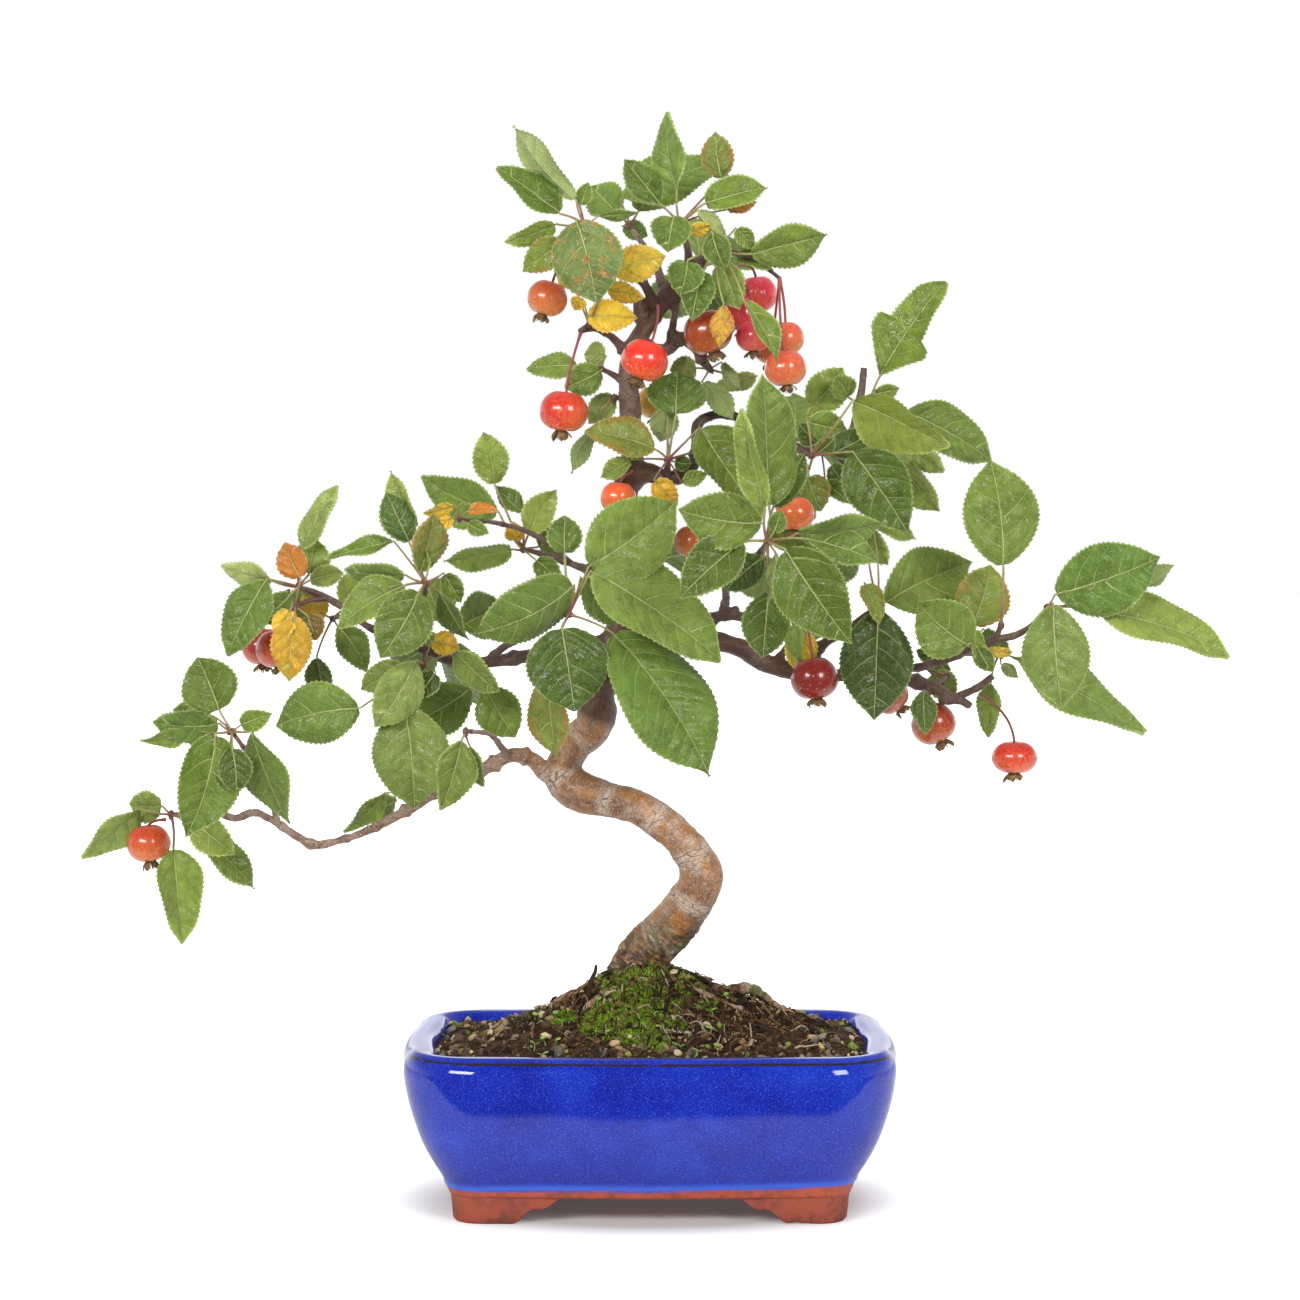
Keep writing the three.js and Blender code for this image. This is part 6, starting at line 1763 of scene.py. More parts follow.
        carried = {
            "vein": np.concatenate([both, both[:, ::-1]], 1),
            "reach": np.concatenate([reach, reach[:, ::-1]], 1),
            "tint": np.concatenate([tints, tints[:, ::-1]], 1),
            "mood": np.concatenate([mood[0], mood[1][:, ::-1]], 1),
        }
        return ring_solid(rings, carried)

    def stem(self, leaf: Leaf, bud: np.ndarray, depth: float, index: int, rng: np.random.Generator) -> Shell:
        """The leaf's stem: a tube bowed by 0.3 * length * w * (1 - w), thickest at the bud.

        Args:
            leaf: its row.
            bud: where it springs from.
            depth: the bud's depth.
            index: its place in the spray.
            rng: random draws.

        Returns:
            The tube, with its tint.
        """
        base, chord, _, normal, _ = self._frame(leaf, depth, index)
        reach = base - bud
        long = float(np.linalg.norm(reach))
        flat = unit(normal - (normal @ unit(reach)) * unit(reach))
        w = np.linspace(0.0, 1.0, max(5, int(long / 2.2) + 3))[:, None]
        path = bud + reach * w + flat * (0.3 * long) * w * (1.0 - w)
        lift = normal * (4.0 * self.arch * np.linalg.norm(chord))
        tail = base + chord * np.array([[0.05], [0.12]]) + lift * np.array([[0.0475], [0.1056]])
        path = np.vstack([path, tail])
        radii = self.stem_radius * np.interp(
            np.linspace(0.0, 1.0, len(path)), [0.0, 0.12, 0.5, 0.85, 1.0], [1.35, 1.0, 0.82, 0.86, 0.4]
        )
        slim = min(1.0, 0.55 + leaf.width / 40.0)
        part = tube(path, radii * slim, 6)
        green = rgb("#8FA35A")
        red = rgb("#7E3438")
        out = np.repeat(np.linspace(0, 1, len(path)), 6)[:, None]
        flush = rng.uniform(0.55, 1.0) * (1.0 - 0.75 * out**1.5)
        tints = green * (1.0 - flush) + red * flush
        part.values["tint"] = np.vstack([tints, tints[:1], tints[-1:]])
        return part

    def spur(self, bud: np.ndarray, tips: np.ndarray) -> list[Shell]:
        """The spur below a bud: a tube from the nearest twig's end to the bud, thinning by a fifth.

        Args:
            bud: where the bud is.
            tips: the ends of all twigs (x, y, z, radius).

        Returns:
            The tube, or nothing where no twig ends near the bud.
        """
        away = np.linalg.norm(tips[:, :3] - bud, axis=1)
        near = tips[np.argmin(away)]
        if not 0.6 < away.min() < 9.0:
            return []
        w = np.linspace(0.0, 1.0, 5)
        part = tube(near[:3] + (bud - near[:3]) * w[:, None], near[3] * (1.0 - 0.2 * w), 9)
        part.dye(rgb("#57423A"))
        return [part.painted(1)]

    def bud(self, place_: np.ndarray, direction: np.ndarray) -> Shell:
        """The bud: a ringed spur with overlapping scales, turned from a stepped profile and pointed."""
        w = np.linspace(0.0, 1.0, 13)
        swell = np.sin(math.pi * np.clip(w, 0.02, 0.98) ** 0.8) ** 0.7
        steps = 1.0 - 0.16 * ((w * 4.0) % 1.0)
        along = unit(direction)
        path = place_ + along * (w[:, None] - 0.42) * 2.3 * self.bud_radius
        part = tube(path, np.maximum(0.8 * self.bud_radius * swell * steps, 0.15), 9)
        mottled = 0.7 + 0.5 * rumple(part.points, 1.2, 3)[:, None] ** 2
        part.dye(rgb("#6B4436") * mottled)
        return part

    def build(self) -> None:
        """Makes one piece of each spray."""
        finishes = [LeafBlade().material(), GreenStem().material()]
        tips = np.vstack([run.line[-1] for runs in Wood(TRUNK, BRANCHES, ROOTS).runs() for run in runs])
        for number, spray in enumerate([*self.sprays, *self.fans()]):
            rng = np.random.default_rng(1000 + number)
            bud = place(*spray.bud)
            parts = []
            heading = np.zeros(3)
            for index, row in enumerate(spray.leaves):
                leaf = Leaf(*row)
                parts.append(self.blade(leaf, spray.bud[2], index, rng).painted(0))
                parts.append(self.stem(leaf, bud, spray.bud[2], index, rng).painted(1))
                heading += unit(parts[-2].points.mean(0) - bud)
            parts.append(self.bud(bud, heading + [0.0, 0.0, 0.3]).painted(1))
            parts += self.spur(bud, tips)
            finished_piece("leaves_of_" + spray.name, joined(parts), finishes, [spray.name], 75.0)


# ---- The fruits ----------------------------------------------------------------------------------
class Globe(NamedTuple):
    """One fruit: its middle, diameter, height over diameter, and where its calyx is."""

    u: float
    v: float
    d: float
    diameter: float
    share: float
    calyx_u: float
    calyx_v: float


class Bunch(NamedTuple):
    """Fruits on one stalk root, with the yellow ground, the red blush and how far that covers."""

    name: str
    root: tuple[float, float, float]
    ground: str
    blush: str
    cover: float
    globes: Sequence[Globe]


@dataclass
class Crop:
    """The fruits with their stalks and dried calyxes."""

    bunches: Sequence[Bunch]
    rows: int = 26
    columns: int = 32
    stalk_radius: float = 0.62
    sepals: int = 5

    def _axes(self, globe: Globe) -> tuple[np.ndarray, np.ndarray, np.ndarray]:
        """A fruit's middle, its axis away from the calyx, and its turn as a matrix."""
        centre = place(globe.u, globe.v, globe.d)
        up = unit(centre - place(globe.calyx_u, globe.calyx_v, globe.d))
        return centre, up, standing(up[None], np.array([globe.u * 0.7]))[0]

    def skin(self, globe: Globe, bunch: Bunch, rng: np.random.Generator) -> Shell:
        """The fruit's skin.

        Turned about its axis: radius sin(a)^0.9 and height cos(a), a running from stalk to calyx, with
        a dimple at the stalk, a shallower one at the calyx ringed by five low bumps, and small dents.
        """
        centre, _, turn = self._axes(globe)
        radius = globe.diameter / 2.0
        a = np.linspace(0.02, math.pi - 0.02, self.rows)[:, None]
        b = np.linspace(0.0, 2.0 * math.pi, self.columns, endpoint=False)[None, :]
        wide = np.sin(a) ** 0.9 * (1.0 - 0.035 * np.cos(a))
        lobes = 1.0 + 0.006 * np.cos(self.sepals * b) * ease(a, 1.7, 2.6)
        x = wide * lobes * np.cos(b)
        y = wide * lobes * np.sin(b)
        z = 0.95 * np.cos(a) - 0.2 * np.exp(-((wide / 0.26) ** 2)) * np.sign(np.cos(a))
        z = (z + 0.012 * np.cos(self.sepals * b) * hump(a, 2.55, 0.3)) * globe.share
        local = np.stack([x, y, z * np.ones_like(b)], -1) * radius
        dents = 1.0 + 0.012 * rumple(local.reshape(-1, 3) + globe.u, 5.0, 61).reshape(x.shape)
        rings = (local * dents[..., None])[::-1] @ turn.T + centre
        pole = np.stack([np.sin(a) * np.cos(b), np.sin(a) * np.sin(b), np.cos(a) * np.ones_like(b)], -1)
        sun = (rings[..., 2] - centre[2]) / radius
        cover = bunch.cover + 0.2 * sun + 0.12 * rumple(rings.reshape(-1, 3), 9.0, 62).reshape(x.shape)
        ones = np.ones((*x.shape, 1))
        pole = (pole * ones + 3.1 * rng.random())[::-1]
        pole[..., 2] = np.broadcast_to(np.cos(a), x.shape)[::-1]
        return ring_solid(
            rings,
            {
                "pole": pole,
                "ground": ones * rgb(bunch.ground),
                "blush": ones * (rgb(bunch.blush) * rng.uniform(0.88, 1.1)),
                "cover": cover,
            },
        )

    def calyx(self, globe: Globe, rng: np.random.Generator) -> Shell:
        """The dried calyx: a short cup, curled sepals like narrow pointed boats, and withered threads."""
        centre, _, turn = self._axes(globe)
        radius = globe.diameter / 2.0
        high = radius * globe.share
        w = np.linspace(0.0, 1.0, 5)[:, None]
        cup = np.column_stack([0 * w, 0 * w, -high * (0.7 + 0.28 * w)])
        parts = [tube(cup, radius * np.array([0.2, 0.22, 0.24, 0.24, 0.2]), 12)]
        count = self.sepals + int(rng.integers(0, 3))
        for k in range(count):
            heading = 2.0 * math.pi * (k + 0.4 * rng.random()) / count
            flare = rng.uniform(0.1, 0.75)
            long = radius * rng.uniform(0.3, 0.5)
            w = np.linspace(0.0, 1.0, 8)
            out = radius * 0.2 + long * flare * w + 0.6 * np.sin(3.0 * w)
            drop = -high * 0.9 - long * (w - 0.35 * flare * w * w)
            middle = np.column_stack([np.cos(heading) * out, np.sin(heading) * out, drop])
            middle += 0.25 * rng.normal(size=3) * w[:, None] ** 2
            broad = 0.17 * radius * np.sin(math.pi * (0.25 + 0.75 * w) ** 1.2) + 0.08
            side = np.array([-math.sin(heading), math.cos(heading), 0.0])
            outward = np.array([math.cos(heading), math.sin(heading), 0.0])
            angle = np.linspace(0.0, 2.0 * math.pi, 8, endpoint=False)
            ring = np.cos(angle)[None, :, None] * side * broad[:, None, None]
            hollow = 0.22 * np.sin(angle)[None, :, None] + 0.35 * np.cos(angle)[None, :, None] ** 2
            rings = middle[:, None] + ring + outward * hollow
            parts.append(ring_solid(rings[:, ::-1]))
        for _ in range(8):
            heading = rng.uniform(0.0, 6.28)
            lean = rng.uniform(0.0, 0.3)
            w = np.linspace(0.0, 1.0, 4)[:, None]
            tip = np.array([math.cos(heading) * lean, math.sin(heading) * lean, -1.0]) * radius * 0.36
            start = np.array([math.cos(heading), math.sin(heading), 0.0]) * radius * 0.09
            parts.append(tube(start + [0.0, 0.0, -0.92 * high] + tip * w, 0.13, 4))
        shell = joined(parts)
        shell.points = shell.points @ turn.T + centre
        shell.values = {}
        return shell

    def stalk(self, globe: Globe, bunch: Bunch, rng: np.random.Generator) -> Shell:
        """The stalk: a tube along a parabola that leaves the fruit along its axis, swollen at its root."""
        centre, up, _ = self._axes(globe)
        foot = centre + up * (0.6 * globe.diameter / 2.0 * globe.share)
        root = place(*bunch.root)
        bend = foot + up * (0.5 * np.linalg.norm(root - foot))
        w = np.linspace(0.0, 1.0, 20)[:, None]
        path = foot * (1 - w) ** 2 + bend * 2 * w * (1 - w) + root * w**2
        swell = np.interp(w[:, 0], [0.0, 0.1, 0.85, 1.0], [1.25, 1.0, 1.05, 1.7])
        part = tube(path, self.stalk_radius * swell, 8)
        tones = [rgb(code) for code in ("#8A2A34", "#7A7A48")]
        share = rng.uniform(0.75, 1.0)
        tint = tones[0] * share + tones[1] * (1.0 - share)
        part.dye(tint)
        return part

    def build(self) -> None:
        """Makes one piece of each bunch."""
        finishes = [WaxyFruitSkin().material(), DryHusk().material(), GreenStem().material()]
        for number, bunch in enumerate(self.bunches):
            rng = np.random.default_rng(500 + number)
            parts = []
            for globe in bunch.globes:
                parts.append(self.skin(globe, bunch, rng).painted(0))
                parts.append(self.calyx(globe, rng).painted(1))
                parts.append(self.stalk(globe, bunch, rng).painted(2))
            finished_piece("crop_" + bunch.name, joined(parts), finishes, [bunch.name], 75.0)


# ---- The studio ----------------------------------------------------------------------------------
@dataclass
class Studio:
    """A white floor, a white surround that is dimmer on the viewer's side, soft boxes and the camera."""

    floor_half: float = 9.0
    back_light: float = 1.5
    front_light: float = 0.14
    aim_height: float = 0.25
    sensor_mm: float = 36.0

    def floor(self) -> None:
        """The floor: one large level sheet just under the pot."""
        corners = np.array([[-1, -1, 0], [1, -1, 0], [1, 1, 0], [-1, 1, 0]]) * self.floor_half / MM
        mesh = raw_mesh("studio_floor", Shell(corners.astype(float), np.array([[0, 1, 2, 3]])))
        mesh.materials.append(StudioPaper().material())
        sheet = bpy.data.objects.new("studio_floor", mesh)
        bpy.context.scene.collection.objects.link(sheet)

    def surround(self) -> None:
        """The world: white to the eye; as light, white behind (+Y) and dimmer in front."""
        world = bpy.data.worlds.new("studio")
        world.use_nodes = True
        tree = world.node_tree
        tree.nodes.clear()
        where = add(tree, "TexCoord", output="Generated")
        split = add(tree, "SeparateXYZ", inputs={0: where})
        depth = split.node.outputs["Y"]
        ends = {1: -0.6, 2: 0.6, 3: self.front_light, 4: self.back_light}
        glow = add(tree, "MapRange", inputs={"Value": depth, **ends})
        seen = add(tree, "LightPath", output="Is Camera Ray")
        up = split.node.outputs["Z"]
        high = add(tree, "MapRange", inputs={"Value": up, 1: 0.12, 2: 0.42, 3: 1.0, 4: 0.36})
        glow = add(tree, "Math", TIMES, {0: glow, 1: high})
        strength = add(tree, "Mix", {"data_type": "FLOAT"}, {0: seen, 2: glow, 3: 1.0}, 0)
        shade = add(tree, "Background", inputs={"Color": (1.0, 1.0, 1.0, 1.0), "Strength": strength})
        out = tree.nodes.new("ShaderNodeOutputWorld")
        tree.links.new(shade, out.inputs["Surface"])
        bpy.context.scene.world = world

    def lamp(
        self,
        name: str,
        spot: tuple[float, float, float],
        size: tuple[float, float],
        power: float,
        mirrored: bool,
    ) -> None:
        """A soft box: a rectangle of light aimed at the middle of the tree.

        Args:
            name: its name.
            spot: where it stands, in metres.
            size: width and height in metres.
            power: watts.
            mirrored: whether it shows in glossy surfaces.
        """
        light = bpy.data.lights.new(name, "AREA")
        light.shape = "RECTANGLE"
        light.size, light.size_y = size
        light.energy = power
        lamp = bpy.data.objects.new(name, light)
        bpy.context.scene.collection.objects.link(lamp)
        lamp.location = spot
        lamp.visible_glossy = mirrored
        away = Vector(spot) - Vector((0.0, 0.0, self.aim_height))
        lamp.rotation_euler = away.to_track_quat("Z", "Y").to_euler()

    def camera(self) -> None:
        """The camera, a little above the middle of the tree and tipped slightly down."""
        lens = bpy.data.cameras.new("camera")
        lens.lens = LENS_LENGTH
        lens.sensor_width = self.sensor_mm
        camera = bpy.data.objects.new("camera", lens)
        camera.location = (0.0, -SIGHT_DISTANCE * MM, SIGHT_HEIGHT * MM)
        camera.rotation_euler = (math.radians(90.0 - SIGHT_TILT), 0.0, 0.0)
        bpy.context.scene.collection.objects.link(camera)
        bpy.context.scene.camera = camera

    def build(self) -> None:
        """Sets up the studio."""
        self.camera()
        self.floor()
        self.surround()
        self.lamp("soft_box_left", (-1.3, -2.3, 1.35), (1.7, 0.55), 57.0, True)
        self.lamp("soft_box_right", (1.4, -2.2, 1.35), (0.95, 0.95), 40.0, True)
        self.lamp("soft_box_above", (0.1, 0.0, 1.9), (1.6, 1.2), 30.0, False)
        bpy.context.scene.view_settings.view_transform = "Standard"


def dress_screens() -> None:
    """Gives the two mesh squares over the drain holes their polythene."""
    material = BlackPolythene().material()
    for name in ("drain_screen_left", "drain_screen_right"):
        mesh = bpy.data.objects[name].data
        mesh.materials.clear()
        mesh.materials.append(material)


# ---- Tables --------------------------------------------------------------------------------------
# Rows of the wood are (u, v, d, radius) on the upright plane; those of the roots are (x, y, radius).
TRUNK = [
    (-10, 70, 8, 14), (-10, 100, 8, 15), (-9, 112, 8, 13.6), (-6, 121, 8, 12.4),
    (7.6, 136, 5, 12.3), (18.4, 149, 0, 11.8), (24.3, 159, -4, 11.3), (25.3, 165, -6, 11),
    (21.3, 176, -8, 10), (12.4, 187, -8, 9), (-8.4, 200, -4, 9), (-23.3, 204, 0, 10),
    (-35, 208, 3, 10.3), (-43.5, 215, 6, 9.5), (-41.5, 225, 8, 8.6), (-36, 233, 8, 8.8),
    (-29.2, 240, 4, 9.2), (-27, 248.5, 0, 9.8), (-25.6, 258, 4, 8.2), (-20.5, 275, 10, 8.2),
    (-14, 293, 12, 8.4), (-13, 320, 9, 7.5), (-15, 345, 4, 7), (-12, 362, 0, 6.8),
    (-9, 375, -2, 5.8), (-10, 400, -2, 5.4), (-10, 425, 0, 5.2), (-5, 437, 1, 5),
    (2, 447, 2, 4.6), (12, 462, 3, 4.4), (24, 473, 4, 3.8), (28, 477, 4, 2.8),
]
BRANCHES = [
    [(-42, 214, 6, 6.5), (-52, 217, 4, 4.8), (-60, 224, 2, 4.2), (-70, 226, 0, 4),
     (-80, 221, -2, 3.6), (-92, 215, -3, 3.2), (-104, 210, -4, 3), (-115, 203, -4, 2.8),
     (-125, 197, -3, 2.6), (-140, 189, -2, 2.4), (-160, 182, -2, 2.1), (-170, 180.5, -3, 2.6),
     (-178, 184.5, -4, 2.3), (-190, 192.5, -6, 2.1), (-200, 197, -8, 2), (-210, 194, -9, 1.9),
     (-217, 196, -10, 1.8), (-228, 195.5, -10, 1.7), (-238.8, 195.8, -10, 1.4)],
    [(-188, 191, -6, 1.6), (-191, 203, -12, 1.4), (-192, 209, -16, 1.3), (-199, 221, -25, 1.2),
     (-209.3, 235.6, -34, 1.1)],
    [(-71, 225.5, 0, 2.4), (-75, 230, -12, 1.7), (-78, 234, -25, 1.4), (-82, 237, -36, 1.2),
     (-90.4, 238, -48, 1.1)],
    [(-118, 201, -4, 1.8), (-122, 204, 4, 1.3), (-126.4, 207.2, 9.6, 1)],
    [(-16, 285, 11, 5), (-30, 282, 8, 3.9), (-48, 279, 4, 3.5), (-63, 276, 0, 3.3),
     (-85, 273, -4, 3), (-100, 273.5, -6, 2.8), (-108, 277, -6, 2.6), (-115, 280, -6, 2.6),
     (-128, 285, -4, 2.3), (-142, 291, -3, 2.1), (-157, 302, -1, 1.8), (-166, 307, 0, 1.6),
     (-173.8, 309.9, 0, 1.3)],
    [(-113, 279, -6, 2), (-113.6, 275.6, -10, 1.4)],
    [(-116, 281, -6, 2), (-116, 290, -14, 1.6), (-114, 303, -23, 1.3), (-113.3, 310, -26.7, 1.1)],
    [(-163, 305, -1, 1.5), (-172, 304, -4, 1.2), (-176.3, 302.3, -6.7, 1)],
    [(-148, 295, -2, 1.7), (-155, 296, 9, 1.3), (-158.6, 295.3, 19.3, 1)],
    [(-92, 273, -5, 1.8), (-89, 268, 1, 1.3), (-87, 265.4, 4, 1)],
    [(-82, 273.5, -4, 2.4), (-76, 279, -10, 2.1), (-66, 285, -22, 1.9), (-56, 292, -35, 1.7),
     (-49, 295, -44, 1.5), (-44.4, 296.4, -48, 1.2)],
    [(-13, 314, 10, 4), (-35, 321, 18, 2.3), (-52, 327, 25, 1.7), (-60.8, 329.3, 29, 1.2)],
    [(-40, 323, 20, 1.8), (-56, 336, 14, 1.4), (-76, 343, 3, 1.2), (-92.8, 344.8, -4, 1)],
    [(-10, 405, -2, 2.5), (-15.7, 406, -3, 1.3)],
    [(-12, 413, -2, 2.4), (-16, 416, -3, 1.8), (-21.6, 419.3, -4.2, 1.3)],
    [(-12, 429, 0, 2.9), (-20, 437, -5, 2.2), (-29, 441, -13, 1.7), (-35.4, 439.4, -17.3, 1.3)],
    [(-14, 293, 12, 6.6), (0, 292, 13, 5.6), (16, 289, 13, 5.2), (36, 283, 12, 4.9),
     (48, 279, 12, 5), (56, 273.5, 12, 4.9), (66, 270, 12, 4.9), (76, 267, 12, 4.2),
     (88, 266.5, 12, 3.6), (99, 266.5, 11, 3.3), (115, 265, 10, 3.3), (131, 264, 9, 3.6),
     (140, 261, 8, 3.5), (147, 258, 7, 3.3), (150, 254, 5, 2.8), (156, 254, 3, 2.4),
     (162, 250.5, 2, 2)],
    [(149, 255, 5, 2.4), (157, 256.5, 3, 2), (165, 260, 0, 1.9), (173, 266, -2, 1.6)],
    [(95, 266.5, 12, 3), (108, 268, 6, 2.6), (120, 269, 1, 2.5), (133, 270, -5, 2.5),
     (145, 273, -10, 2.4), (158, 278, -15, 2.2), (167, 281.5, -20, 2), (175, 284.5, -24, 1.9),
     (185, 287, -27, 1.7), (192, 291, -28.5, 1.5), (198, 297.9, -29.6, 1.2)],
    [(158, 278, -15, 1.8), (166, 277, -7, 1.3), (173, 276.8, -1, 1)],
    [(174, 284, -23.5, 1.7), (175.5, 288, -26.5, 1.5), (177, 292, -29.5, 1.3)],
    [(34, 480, -8, 1.5), (46, 478, -4, 1.3), (57, 472, 0, 1.1), (65, 466, 2, 0.9)],
    [(34, 479, -7, 1.4), (38, 475, -2, 1.2), (43, 471, 4, 1)],
    [(84, 266.5, 12, 3.2), (84, 278, 8, 3), (90, 284, 2, 2.7), (99, 289, -6, 2.2),
     (108, 296, -13, 1.7), (113, 300, -16.2, 1.2)],
    [(62, 271, 12, 2.6), (70, 282, 8, 1.6), (76.2, 294, 3.2, 1.1)],
    [(140, 262, 7, 1.8), (140, 259.6, 3, 1.2)],
    [(143, 261, 8, 1.8), (147, 264, 16, 1.3), (149.3, 265.5, 21, 1)],
    [(20, 289, 13, 4), (28, 293, 10, 3.3), (36, 296.5, 6, 3), (47, 296, 4, 2.6)],
    [(39, 296, 5, 2.8), (44, 300, -1, 2.6)],
    [(36, 297, 6, 2.6), (38, 304, -8, 2.1), (38.5, 312, -26, 1.9), (44, 318, -46, 1.8),
     (50, 323, -64, 1.7), (55, 328, -79, 1.6), (57.6, 331.4, -87.6, 1.3)],
    [(-12, 362, 0, 6.4), (-2, 368.5, -1, 5.4), (9, 365.5, -2, 4.6), (16, 367, -2, 3.8),
     (22, 373, 0, 3.2), (23.5, 383, 4, 2.9), (24, 393, 8, 2.6), (34, 398, 10, 2.5),
     (50, 394, 8, 2.4), (66, 386, 4, 2.3), (80, 380, 1, 2.2), (92, 382, 3, 2.1),
     (101, 389, 5, 2.1), (103.5, 399, 7, 2), (106, 408, 7, 1.9), (107.5, 421, 6, 1.7)],
    [(9, 366, -3, 2.6), (8.6, 370, -9, 1.9), (8.9, 372.4, -11.6, 1.4)],
    [(64, 387, 4, 2.2), (70, 382, -14, 1.8), (76, 379, -26, 1.5), (79, 377.6, -32, 1.2)],
    [(70, 384.3, 3, 1.8), (76, 386, 9, 1.4), (81.5, 385.3, 13.4, 1.1)],
    [(90, 381.7, 3, 1.8), (98, 374, 0, 1.5), (109, 371, -2, 1.2)],
    [(103.6, 400, 7, 1.8), (106.8, 401.8, 8.8, 1.2)],
    [(-7, 433, 0, 4), (8, 430, 4, 3.4), (16, 436, 6, 3.2), (22, 432, 8, 3), (27, 424, 8, 2.4)],
    [(-2, 441, 1, 4), (-5, 449, 0, 3.6), (-6, 456, 0, 2.8)],
    [(14, 461, 3, 2.4), (12, 445, 5, 2), (9, 431, 4, 2)],
    [(19, 468, 4, 2.6), (19, 480, 0, 1.9), (16, 490, -3.8, 1.3)],
    [(26, 474, 4, 2.4), (29, 476.6, -3, 1.7), (31.6, 478.3, -7.6, 1.3)],
    [(4, 450, 2, 3), (-6, 468, -12, 2.2), (-18, 482, -28, 1.7), (-31, 491.5, -42.8, 1.2)],
    [(8, 457, 3, 3), (2, 474, 16, 1.9), (-8.4, 489.6, 32.4, 1.2)],
    [(-13, 318, 9, 4), (-8, 320, 34, 2.4), (-2, 322, 57, 1.3)],
    [(-100, 273, -6, 2.4), (-100, 280, 20, 1.8), (-100, 287, 47, 1.2)],
    [(48, 279, 12, 3), (62, 300, 36, 2), (72, 318, 57, 1.3)],
    [(66, 386, 4, 2.2), (68, 382, 28, 1.7), (72, 378, 52, 1.2)],
    [(16, 466, 3, 2.8), (20, 468, 26, 1.8), (24, 470, 47, 1.2)],
]
ROOTS = [
    [(-9, 4, 4), (-18, -8, 2.4), (-27, -14, 1.8), (-36, -20, 1.2)],
    [(-4, 2, 4), (10, -6, 2.2), (20, -9, 1.8), (30, -12, 2.1), (38, -14, 1.5), (46, -20, 1)],
    [(0, 10, 4), (16, 10, 2.6), (26, 9, 3.4), (36, 8, 2.6), (52, 6, 3.6), (64, 4, 2.4), (73, 0, 1.3)],
    [(-10, 14, 4), (-13, 30, 2.6), (-20, 42, 1.4)],
    [(-14, 8, 4), (-30, 10, 2.4), (-43, 8, 1.9), (-52, 2, 1.2)],
    [(-7, 0, 3.6), (-5, -14, 2), (-11, -26, 1.5), (-18, -37, 0.9)],
]
